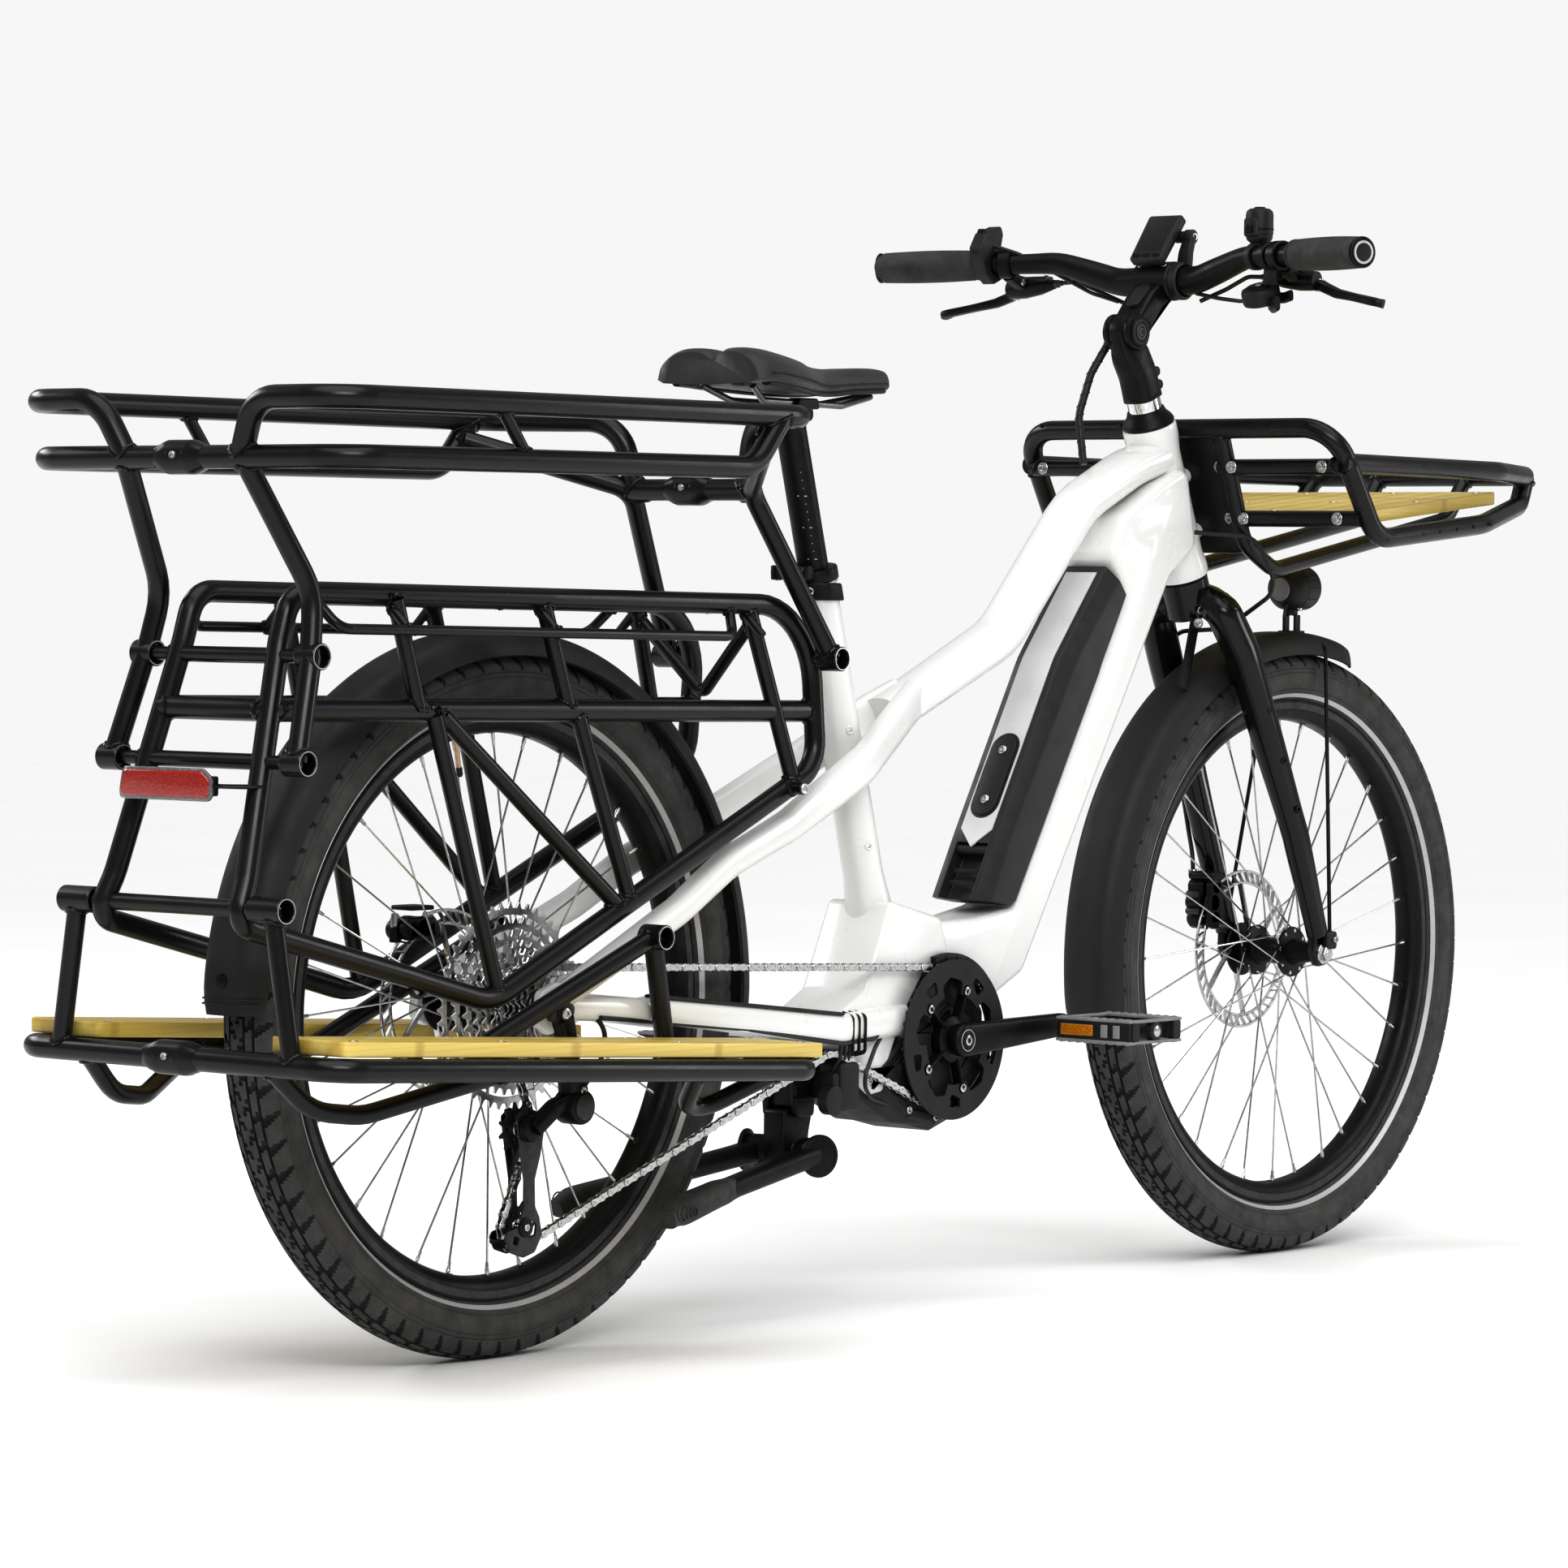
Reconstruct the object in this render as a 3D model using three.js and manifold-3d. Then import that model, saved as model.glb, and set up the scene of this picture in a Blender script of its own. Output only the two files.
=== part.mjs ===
// Longtail cargo e-bicycle, millimetres. X forward, Y to the rider's left, Z up.
// The layout is drawn with X = 0 at the rear axle and moved at the end, so that the
// origin of the part is the middle of its footprint on the floor.
import * as THREE from "three";
import { mergeVertices } from "three/addons/utils/BufferGeometryUtils.js";
import Module from "manifold-3d";

const wasm = await Module();
wasm.setup();

// ---------------------------------------------------------------- driving dimensions
const WHEELBASE = 1312;
const TYRE_R = 341; // 26 x 2.4 inch
const RIM_R = 284;
const RIM_INNER_R = 262;
const WHEEL_SIDES = 24;
const SPOKES = 8;
const SPOKE_R = 1.2;
const DISC_R = 90;
const X_SHIFT = -609.15; // rear axle, seen from the middle of the footprint
const GAP = 0.3; // clearance between separate pieces

const BB = [654, 0, 277]; // crank axle
const CRANK_LENGTH = 168;
const CHAIN_Y = -50;
const CHAIN_HALF_W = 3.4;
const CHAIN_HALF_H = 4;
const RING_R = 75; // pitch radius of the chainring
const SPROCKET_R = 38; // pitch radius of the sprocket in use
const PULLEY_R = 22;
const PULLEY_UP = [-12, CHAIN_Y, 225];
const PULLEY_LOW = [-12, CHAIN_Y, 131];

const HEAD_TOP = [1059.2, 0, 929];
const HEAD_LOW = [1125.8, 0, 764];
const SEAT_LEAN = 0.274; // forward travel of the seat axis for each mm down
const POST_R = 15.8;
const RACK_R = 10.5; // tube radii
const MID_R = 11;
const STRUT_R = 8;
const RAIL_R = 11;
const LEG_R = 10;
const SOCKET_R = 12;
const SOCKET_BORE = 9.4;
const FOOT_R = 11;
const BOARD_T = 14;
const STEM_PIVOT = [1015, 0, 1029];
const BAR = [1074, 0, 1087]; // middle of the handlebar
const DISPLAY_PIVOT = [1089, 0, 1136];
const STAND_PIVOT = [450, 35, 168];
const STAND_AXIS = [0.307, 0.952]; // the legs swing about level, splayed pins

// ---------------------------------------------------------------- materials
const paint = (hex, rough, metal) =>
  new THREE.MeshStandardMaterial({ color: hex, roughness: rough, metalness: metal });
const WHITE = () => paint(0xf2f2ee, 0.3, 0.1);
const BLACK_PAINT = () => paint(0x1b1b1c, 0.45, 0.2);
const BLACK_ALU = () => paint(0x222224, 0.4, 0.6);
const BLACK_PLASTIC = () => paint(0x1d1d1e, 0.6, 0);
const GREY_PLASTIC = () => paint(0x3a3a3b, 0.65, 0);
const RUBBER = () => paint(0x161616, 0.85, 0);
const SILVER = () => paint(0xc4c6c8, 0.3, 0.9);
const BAMBOO = () => paint(0xd9b95c, 0.5, 0);
const RED_LENS = () => paint(0xb3261e, 0.2, 0);

// ---------------------------------------------------------------- solids and tubes
const vec = (p) => new THREE.Vector3(p[0], p[1], p[2]);
const side = (points, s) => points.map(([x, y, z]) => [x, s * y, z]);

function solid(geometry) {
  geometry.deleteAttribute("normal");
  geometry.deleteAttribute("uv");
  const merged = mergeVertices(geometry, 1e-4);
  return new wasm.Manifold(
    new wasm.Mesh({
      numProp: 3,
      vertProperties: new Float32Array(merged.attributes.position.array),
      triVerts: new Uint32Array(merged.index.array),
    }),
  );
}

// Straight runs joined by round bends, or by mitres where the bend is 0, with rings only
// where the direction changes.
class BentTube extends THREE.Curve {
  constructor(points, bend, steps) {
    super();
    const p = points.map(vec);
    this.stations = [{ at: p[0], along: p[1].clone().sub(p[0]).normalize() }];
    for (let i = 1; i < p.length - 1; i++) this.corner(p[i - 1], p[i], p[i + 1], bend[i] ?? bend, steps);
    const last = p.length - 1;
    this.stations.push({ at: p[last], along: p[last].clone().sub(p[last - 1]).normalize() });
  }
  corner(a, b, c, radius, steps) {
    const u = a.clone().sub(b);
    const v = c.clone().sub(b);
    if (radius === 0) {
      this.stations.push({ at: b, along: v.normalize().sub(u.normalize()).normalize() });
      return;
    }
    const room = 0.48 * Math.min(u.length(), v.length());
    u.normalize();
    v.normalize();
    const half = u.angleTo(v) / 2;
    const reach = Math.min(radius / Math.tan(half), room);
    const r = reach * Math.tan(half);
    const centre = b.clone().add(u.clone().add(v).normalize().multiplyScalar(r / Math.sin(half)));
    const from = b.clone().addScaledVector(u, reach).sub(centre);
    const axis = v.clone().cross(u).normalize();
    const turn = Math.PI - 2 * half;
    const count = Math.max(1, Math.round((steps * turn) / (Math.PI / 2)));
    for (let k = 0; k <= count; k++) {
      const spin = new THREE.Quaternion().setFromAxisAngle(axis, (turn * k) / count);
      const arm = from.clone().applyQuaternion(spin);
      const along = u.clone().negate().applyQuaternion(spin);
      this.stations.push({ at: centre.clone().add(arm), along });
    }
  }
  get steps() {
    return this.stations.length - 1;
  }
  getSpacedPoints() {
    return this.stations.map((s) => s.at.clone());
  }
  getTangentAt(t, target = new THREE.Vector3()) {
    return target.copy(this.stations[Math.round(t * this.steps)].along);
  }
  getPointAt(t, target = new THREE.Vector3()) {
    return target.copy(this.stations[Math.round(t * this.steps)].at);
  }
}

function polygonShape(points) {
  const shape = new THREE.Shape();
  points.forEach(([x, y], i) => (i ? shape.lineTo(x, y) : shape.moveTo(x, y)));
  shape.closePath();
  return shape;
}

function roundShape(radius, sides) {
  const out = radius / Math.cos(Math.PI / sides / 1.5);
  const at = (i) => ((i + 0.5) * 2 * Math.PI) / sides;
  return polygonShape(
    Array.from({ length: sides }, (_, i) => [out * Math.cos(at(i)), out * Math.sin(at(i))]),
  );
}

function sweep(points, shape, bend = 0, steps = 3) {
  const path = new BentTube(points, bend, steps);
  return solid(
    new THREE.ExtrudeGeometry(shape, { steps: path.steps, extrudePath: path, curveSegments: 1 }),
  );
}

const tube = (points, radius, bend = 0, sides = 6, steps = 3) =>
  sweep(points, roundShape(radius, sides), bend, steps);

const join = (parts) => parts.reduce((whole, part) => whole.add(part));

function box(x0, x1, y0, y1, z0, z1) {
  const g = new THREE.BoxGeometry(x1 - x0, y1 - y0, z1 - z0);
  g.translate((x0 + x1) / 2, (y0 + y1) / 2, (z0 + z1) / 2);
  return solid(g);
}

// A plate whose outline is given as [x, z], standing between two values of y.
function plate(outline, y0, y1) {
  const g = new THREE.ExtrudeGeometry(polygonShape(outline), { depth: y1 - y0, bevelEnabled: false });
  g.rotateX(Math.PI / 2);
  g.translate(0, y1, 0);
  return solid(g);
}

// A ring or cone about an axis along Y; the profile lists [radius, y] and closes on itself.
function turned(profile, centre, sides, phase = 0) {
  const outline = [...profile, profile[0]].map(([r, y]) => new THREE.Vector2(r, y));
  const g = new THREE.LatheGeometry(outline, sides);
  g.rotateY(phase);
  g.translate(centre[0], centre[1], centre[2]);
  const made = solid(g);
  return made.volume() > 0 ? made : solid(flipped(g));
}

function flipped(g) {
  const index = g.index.array;
  for (let i = 0; i < index.length; i += 3) [index[i], index[i + 1]] = [index[i + 1], index[i]];
  return g;
}

const disc = (centre, radius, y0, y1, sides = 12) =>
  tube([[centre[0], y0, centre[2]], [centre[0], y1, centre[2]]], radius, 0, sides);

const seatAt = (z) => [450 + (889.5 - z) * SEAT_LEAN, 0, z];
const steerAt = (z) => {
  const lean = (HEAD_LOW[0] - HEAD_TOP[0]) / (HEAD_TOP[2] - HEAD_LOW[2]);
  return [HEAD_TOP[0] + (HEAD_TOP[2] - z) * lean, 0, z];
};

const bike = new THREE.Group();
bike.name = "longtail_cargo_bike";

function emit(name, shape, material) {
  const mesh = shape.getMesh();
  const g = new THREE.BufferGeometry();
  const corners = new Float32Array(mesh.numVert * 3);
  for (let i = 0; i < mesh.numVert; i++)
    for (let k = 0; k < 3; k++) corners[3 * i + k] = mesh.vertProperties[i * mesh.numProp + k];
  g.setAttribute("position", new THREE.BufferAttribute(corners, 3));
  g.setIndex(new THREE.BufferAttribute(new Uint32Array(mesh.triVerts), 1));
  g.translate(X_SHIFT, 0, 0);
  g.computeVertexNormals();
  const node = new THREE.Mesh(g, material);
  node.name = name;
  bike.add(node);
}

// ---------------------------------------------------------------- battery and motor outlines
const BATTERY_OUTLINE = [
  [948, 774], [865, 674], [759, 488], [722, 420], [746, 405], [783, 414], [880, 582], [972, 740],
];
const BATTERY_HALF_W = 38;
const MOTOR_OUTLINE = [
  [480, 262], [505, 292], [560, 312], [610, 340], [690, 345], [728, 305], [730, 250], [700, 200],
  [640, 182], [575, 190], [510, 222],
];
const MOTOR_HALF_W = 42;

// The same outline moved outwards by about the given distance.
function grown(outline, by) {
  const cx = outline.reduce((s, p) => s + p[0], 0) / outline.length;
  const cz = outline.reduce((s, p) => s + p[1], 0) / outline.length;
  return outline.map(([x, z]) => {
    const reach = Math.hypot(x - cx, z - cz);
    return [cx + ((x - cx) * (reach + by)) / reach, cz + ((z - cz) * (reach + by)) / reach];
  });
}

// ---------------------------------------------------------------- frame
const DOWN_TUBE = [
  [1072, 880], [1020, 868], [965, 826], [959, 784], [882, 680], [776, 488], [731, 422], [690, 396],
  [620, 395], [600, 352], [690, 356], [742, 312], [800, 340], [1058, 770], [1090, 800],
];
const YOKE = [[560, 420], [500, 306], [440, 300], [440, 284], [520, 278], [620, 300], [640, 400]];

function frameStays(s) {
  const seat = side(
    [[640, 8, 634], [604, 20, 615], [516, 44, 566], [378, 58, 506], [276, 64, 471], [197, 70, 428],
      [60, 81, 372], [0, 81, 345]], s);
  const chain = side([[600, 34, 300], [470, 50, 296], [150, 79, 332], [0, 80, 341]], s);
  return [tube(seat, 13, 90, 6, 2), tube(chain, 11.5, 60, 6, 2), dropout(s)];
}

const dropout = (s) => disc([0, 0, 341], 23, s < 0 ? -86 : 75, s < 0 ? -75 : 86, 10);

function buildFrame() {
  const head = tube([HEAD_TOP, HEAD_LOW], 29, 0, 12);
  const top = tube([[1040, 0, 886], [927, 0, 838], [795, 0, 697], [600, 0, 612]], 24, 90, 8, 3);
  const seat = tube([seatAt(745), seatAt(330)], 21, 0, 12);
  const boss = (z) => tube([steerAt(z), [steerAt(z)[0] + 46, 0, z + 18]], 9);
  const bridge = box(440, 500, -48, 48, 287, 300);
  const bores = [
    tube([steerAt(980), steerAt(700)], 20, 0, 12),
    tube([seatAt(800), seatAt(450)], POST_R + 0.6, 0, 12),
    disc([0, 0, TYRE_R], 30, -74.6, 74.6, 12),
    plate(grown(MOTOR_OUTLINE, 1), -MOTOR_HALF_W - 1, MOTOR_HALF_W + 1),
    plate(grown(BATTERY_OUTLINE, 1), -BATTERY_HALF_W - 1, BATTERY_HALF_W + 1),
  ];
  const solidParts = [
    head, top, seat, plate(DOWN_TUBE, -37, 37), plate(YOKE, -40, 40), bridge, boss(860), boss(800),
    ...frameStays(-1), ...frameStays(1),
  ];
  const frame = bores.reduce((shape, cut) => shape.subtract(cut), join(solidParts));
  emit("main_frame", frame, WHITE());
}

function buildDrive() {
  const bore = tube([[BB[0], -80, BB[2]], [BB[0], 80, BB[2]]], 9.6, 0, 8);
  emit("drive_unit", plate(MOTOR_OUTLINE, -MOTOR_HALF_W, MOTOR_HALF_W).subtract(bore), BLACK_PLASTIC());
  const grip = plate([[728, 424], [752, 462], [735, 470], [712, 430]], -14, 22);
  emit("battery", plate(BATTERY_OUTLINE, -BATTERY_HALF_W, BATTERY_HALF_W).subtract(grip), BLACK_PLASTIC());
}

// ---------------------------------------------------------------- seat
function buildSeat() {
  const low = seatAt(733);
  const collar = join([
    tube([low, seatAt(751)], 27, 0, 8),
    tube([seatAt(750), seatAt(764)], 24, 0, 12),
    box(low[0] - 42, low[0] - 16, -9, 9, 755, 767),
    tube([[458, -13, 761], [458, 19, 761]], 3.2),
  ]);
  const bore = tube([seatAt(720), seatAt(745.6)], 22, 0, 12);
  const throat = tube([seatAt(740), seatAt(790)], POST_R + 0.6, 0, 12);
  emit("seat_collar", collar.subtract(bore).subtract(throat), BLACK_ALU());
  const lever = tube([[458, 27, 761], [476, 38, 762], [506, 31, 764], [517, 12, 766]], 4, 12, 6, 2);
  const cam = tube([[458, 26, 754], [458, 26, 768]], 6, 0, 8);
  emit("seat_clamp_lever", lever.add(cam), BLACK_ALU());
  const head = box(417, 461, -19, 19, 912, 938).subtract(railPair(4.2));
  const post = tube([seatAt(575), seatAt(922)], POST_R, 0, 12).add(head).subtract(railPair(4.2));
  emit("seatpost", post, BLACK_ALU());
  emit("saddle_rails", railPair(3.5), SILVER());
  emit("saddle", saddleSolid(), RUBBER());
}

const RAILS = [
  [345, -33, 948], [375, -21, 934], [500, -21, 932], [566, -8, 944], [566, 8, 944], [500, 21, 932],
  [375, 21, 934], [345, 33, 948],
];
const railPair = (r) => tube(RAILS, r, 12, 6, 2);

function saddleSolid() {
  const half = [[589, 12], [575, 20], [500, 24], [450, 40], [400, 66], [350, 76], [322, 66], [312, 40],
    [330, 14]];
  const outline = [...half.map(([x, y]) => [x, -y]), ...half.reverse()];
  const g = new THREE.ExtrudeGeometry(polygonShape(outline), {
    depth: 16, bevelEnabled: true, bevelThickness: 9, bevelSize: 7, bevelOffset: -7, bevelSegments: 2,
  });
  g.translate(0, 0, 960);
  return solid(g).subtract(railPair(3.9));
}

// ---------------------------------------------------------------- rear rack
const LADDER = (z) => {
  const t = (690 - z) / 214;
  return [-352 - 62 * t, 62 + 23 * t, z];
};

function rackLoop(s, extra) {
  const front = side(
    [[0, 72, 732], [388, 74, 728], [388, 86, 566], [-95, 90, 352], [-200, 90, 379]], s);
  const rear = side(
    [[2, 72, 732], [-338, 62, 736], LADDER(690), LADDER(476), [-432, 90, 437], [-199, 90, 379]], s);
  return [
    tube(front, RACK_R + extra, [0, 80, 45, 70]),
    tube(rear, RACK_R + extra, [0, 55, 40, 60, 55]),
  ];
}

// One side of the rack, with every tube thicker by the same amount.
function rackSide(s, extra = 0) {
  const struts = [
    [[-211, 73, 730], [-182, 76, 629]], [[-8, 73, 730], [26, 76, 628]],
    [[293, 74, 728], [352, 87, 548]], [[-160, 76, 622], [-85, 90, 360]],
    [[-150, 76, 622], [90, 89, 434]], [[40, 76, 622], [104, 89, 440]],
  ];
  const rail = [[-318, 74, 729], [-308, 96, 703], [245, 96, 697], [262, 76, 725]];
  const stub = (p, out) => tube(side([p, [p[0], out, p[2]]], s), 6.5 + extra);
  return join([
    ...rackLoop(s, extra),
    tube(side([LADDER(629), [390, 78, 622]], s), MID_R + extra),
    ...struts.map((p) => tube(side(p, s), STRUT_R + extra)),
    tube(side(rail, s), 5 + extra, 18, 6, 2),
    stub(LADDER(678), 108), stub(LADDER(582), 120), stub(LADDER(451), 132),
    stub([383, 78, 675], 112), stub([340, 86, 546], 112),
  ]);
}

function buildRack() {
  const left = rackSide(1);
  const across = (p, r) => tube([[p[0], -p[1], p[2]], p], r);
  const spine = tube([[300, -74, 712], [311, -4, 642], [311, 4, 642], [300, 74, 712]], 6.5);
  const lampArm = box(-421, -388, -78, -60, 556, 562).add(box(-421, -415, -78, 40, 548, 572));
  const rungs = [
    across(LADDER(678), 7.5), across(LADDER(629), MID_R), across(LADDER(582), 7.5),
    across(LADDER(451), 8), across([-60, 72, 731], STRUT_R), across([240, 73, 729], STRUT_R), spine,
  ];
  const right = join([rackSide(-1), ...rungs, lampArm]).subtract(rackSide(1, GAP));
  emit("rear_rack_right", right, BLACK_PAINT());
  emit("rear_rack_left", left, BLACK_PAINT());
}

// ---------------------------------------------------------------- top rail
function buildTopRail() {
  for (const [s, name] of [[-1, "top_rail_right"], [1, "top_rail_left"]]) {
    const upper = [[-414, 74, 858], [-424, 100, 910], [-424, 205, 910], [222, 205, 911],
      [282, 88, 911], [290, 74, 842]];
    const lower = [[-414, 0.2, 857], [-414, 205, 857], [145, 205, 860], [188, 205, 912]];
    const rearLeg = [[-414, 76, 857], [-345, 98, 735], [-356, 106, 678]];
    const frontLeg = [[172, 199, 890], [290, 78, 842], [384, 108, 676]];
    const parts = [
      tube(side(upper, s), RAIL_R, 42),
      tube(side(lower, s), RAIL_R, 42),
      tube(side(rearLeg, s), LEG_R, 60),
      tube(side([[290, 0.2, 842], [290, 80, 842]], s), RAIL_R),
      tube(side(frontLeg, s), LEG_R, 30),
      tube(side([[-356, 107, 678], [-385, 119, 582]], s), LEG_R),
      tube(side([[-215, 205, 910], [-175, 205, 859]], s), 6),
    ];
    const sockets = [
      [[-354, 94, 678], [-354, 119, 678]], [[-384, 106, 582], [-384, 132, 582]],
      [[384, 96, 675], [384, 122, 675]],
    ];
    parts.push(...sockets.map(([a, b]) => tube(side([a, b], s), SOCKET_R)));
    let rail = join(parts);
    for (const [a, b] of sockets) {
      const from = [a[0], a[1] - 6, a[2]];
      const to = [b[0], b[1] + 6, b[2]];
      rail = rail.subtract(tube(side([from, to], s), SOCKET_BORE));
    }
    if (s < 0) {
      rail = rail.add(tube([[-414, -30, 857], [-414, 30, 857]], 13.5))
        .add(tube([[290, -28, 842], [290, 28, 842]], 13.5))
        .subtract(tube([[-414, 0, 857], [-414, 40, 857]], RAIL_R + 0.5))
        .subtract(tube([[290, 0, 842], [290, 40, 842]], RAIL_R + 0.5));
    }
    emit(name, rail, BLACK_PAINT());
  }
}

// ---------------------------------------------------------------- footboards
const BOARD_NEAR = 110;
const boardMid = (x) => 331 - 0.053 * (x + 421);

function buildFootboards() {
  for (const [s, hand] of [[-1, "right"], [1, "left"]]) {
    const z = (x) => boardMid(x) - BOARD_T / 2 - FOOT_R - 1;
    const rail = [[-418, 0.2, z(-418)], [-418, 205, z(-418)], [252, 205, z(252)], [252, 122, z(252)]];
    const supports = [
      tube(side([[-421, 126, 451], [-419, 150, z(-419)]], s), 9),
      tube(side([[121, 104, 406], [-150, 99, z(-150)], [-150, 204, z(-150)]], s), 9.5, 20),
      tube(side([[121, 104, 406], [150, 99, z(150)], [150, 204, z(150)]], s), 9.5, 12),
      tube(side([[-418, 118, z(-418)], [-350, 132, 256], [-190, 204, z(-190)]], s), 9, 26),
      tube(side([[80, 202, z(80)], [120, 152, 242], [196, 204, z(196)]], s), 9, 22),
    ];
    const sockets = [[[-421, 102, 451], [-421, 143, 451]], [[121, 94, 406], [121, 122, 406]]];
    let frame = join([
      tube(side(rail, s), FOOT_R, 32), ...supports,
      ...sockets.map(([a, b]) => tube(side([a, b], s), SOCKET_R)),
    ]);
    for (const [a, b] of sockets) {
      const from = [a[0], a[1] - 6, a[2]];
      const to = [b[0], b[1] + 6, b[2]];
      frame = frame.subtract(tube(side([from, to], s), SOCKET_BORE));
    }
    const top = (x) => boardMid(x) - BOARD_T / 2 - 0.4;
    frame = frame.subtract(slope(s, BOARD_NEAR - 0.4, 230, top, 60, 0.4));
    if (s < 0) {
      const sleeve = tube([[-418, -34, z(-418)], [-418, 34, z(-418)]], 13.5);
      const inside = tube([[-418, 0, z(-418)], [-418, 50, z(-418)]], FOOT_R + 0.5);
      frame = frame.add(sleeve).subtract(inside);
    }
    emit("footboard_frame_" + hand, frame, BLACK_PAINT());
    emit("footboard_" + hand, slope(s, BOARD_NEAR, 206, (x) => boardMid(x) - BOARD_T / 2, BOARD_T), BAMBOO());
  }
}

// A board between two distances from the middle plane that follows the slope of the footboards.
function slope(s, near, far, bottom, thick, longer = 0) {
  const rear = -408 - longer;
  const front = 262 + longer;
  const outline = [[rear, bottom(rear)], [front, bottom(front)], [front, bottom(front) + thick],
    [rear, bottom(rear) + thick]];
  return plate(outline, s < 0 ? -far : near, s < 0 ? -near : far);
}

// ---------------------------------------------------------------- front rack
function buildFrontRack() {
  const parts = [];
  for (const s of [-1, 1]) {
    const hoop = [[1110, -1, 926], [1110, 211, 926], [1186, 216, 806], [1400, 214, 826],
      [1570, 152, 850], [1584, 148, 884]];
    const rim = [[1122, 212, 888], [1440, 206, 886], [1600, 146, 884], [1600, -1, 884]];
    parts.push(
      tube(side(hoop, s), RAIL_R, [0, 42, 42, 80, 30]),
      tube(side(rim, s), RAIL_R, [0, 60, 42]),
      tube(side([[1126, 212, 884], [1126, 50, 884]], s), 9),
      tube(side([[1160, 214, 828], [1150, 50, 828]], s), 9),
      tube(side([[1110, 60, 926], [1158, 60, 800], [1215, 60, 772], [1560, 60, 834], [1600, 60, 884]], s),
        9, 40),
    );
  }
  const lean = (z) => 1110 + (926 - z) * 0.39;
  const sheet = plate([[lean(924) - 3, 924], [lean(924) + 3, 924], [lean(790) + 3, 790],
    [lean(790) - 3, 790]], -62, 62);
  parts.push(sheet);
  const board = boardPlate();
  const seatCut = boardPlate(1);
  const clear = join([bossCut(860), bossCut(800)]);
  emit("front_rack", join(parts).subtract(seatCut).subtract(clear), BLACK_PAINT());
  emit("front_rack_board", board, BAMBOO());
}

const bossCut = (z) => tube([steerAt(z), [steerAt(z)[0] + 47, 0, z + 18.4]], 9 + GAP);

function boardPlate(by = 0) {
  const outline = [
    [1196 - by, 822 - by], [1470 + by, 850 - by], [1469 + by, 864 + by], [1195 - by, 836 + by],
  ];
  return plate(outline, -188 - by, 188 + by);
}

// ---------------------------------------------------------------- wheels
const FLAT = Math.PI / WHEEL_SIDES;

function buildWheel(x, prefix, hubHalf, flange, discY) {
  const c = [x, 0, TYRE_R];
  const out = 1 / Math.cos(FLAT);
  const tyre = [[284.5, 15], [308, 31], [330, 27], [341, 13], [341, -13], [330, -27], [308, -31],
    [284.5, -15]].map(([r, y]) => [r * out, y]);
  const rim = [[RIM_R, 17], [270, 16], [RIM_INNER_R, 9], [RIM_INNER_R, -9], [270, -16], [RIM_R, -17]]
    .map(([r, y]) => [r * out, y]);
  emit(prefix + "_tyre", turned(tyre, c, WHEEL_SIDES, FLAT), RUBBER());
  emit(prefix + "_rim", turned(rim, c, WHEEL_SIDES, FLAT), BLACK_ALU());
  const core = turned(
    [[6, -hubHalf], [10, -hubHalf], [15, -flange - 3], [27, -flange], [14, 6 - flange],
      [14, flange - 6], [27, flange], [15, flange + 3], [15, discY + 2], [10, hubHalf],
      [6, hubHalf]], c, 10);
  const parts = [core, brakeDisc(c, discY)];
  for (let i = 0; i < SPOKES; i++) {
    const s = i % 2 ? 1 : -1;
    const lead = (i >> 1) % 2 ? 1 : -1;
    const a = (2 * Math.PI * i) / SPOKES;
    const b = a + lead * 1.05;
    const end = RIM_INNER_R - 1.2;
    parts.push(tube([
      [c[0] + 16 * Math.cos(b), s * (flange - 2), c[2] + 16 * Math.sin(b)],
      [c[0] + end * Math.cos(a), s * 2, c[2] + end * Math.sin(a)],
    ], SPOKE_R, 0, 3));
  }
  emit(prefix + "_hub", join(parts), SILVER());
}

function brakeDisc(c, y) {
  const ring = turned([[DISC_R, y - 1], [DISC_R, y + 1], [74, y + 1], [74, y - 1]], c, 20);
  const spider = [0, 1, 2, 3, 4].map((i) => {
    const a = (i * 2 * Math.PI) / 5;
    return tube([
      [c[0] + 12 * Math.cos(a), y, c[2] + 12 * Math.sin(a)],
      [c[0] + 76 * Math.cos(a + 0.35), y, c[2] + 76 * Math.sin(a + 0.35)],
    ], 1.2, 0, 3);
  });
  return join([ring, ...spider]);
}

// ---------------------------------------------------------------- drivetrain
// A band round circles: each is { c: [x, z], r, turn } with turn +1 for counter-clockwise.
function bandArc(before, here, after, steps) {
  const enter = tangent(before, here)[1];
  const leave = tangent(here, after)[0];
  let sweepAngle = (leave - enter) * here.turn;
  while (sweepAngle < 0) sweepAngle += 2 * Math.PI;
  const list = [];
  for (let k = 0; k <= steps; k++) {
    const a = enter + (here.turn * sweepAngle * k) / steps;
    list.push([here.c[0] + here.r * Math.cos(a), CHAIN_Y, here.c[1] + here.r * Math.sin(a)]);
  }
  return list;
}

// Angles, on the first and on the second circle, of the points where the straight run touches.
function tangent(p, q) {
  const dx = q.c[0] - p.c[0];
  const dz = q.c[1] - p.c[1];
  const way = Math.atan2(dz, dx);
  const lean = Math.asin((p.turn * p.r - q.turn * q.r) / Math.hypot(dx, dz));
  const normal = way - Math.PI / 2 + lean;
  return [p.turn > 0 ? normal : normal + Math.PI, q.turn > 0 ? normal : normal + Math.PI];
}

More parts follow.
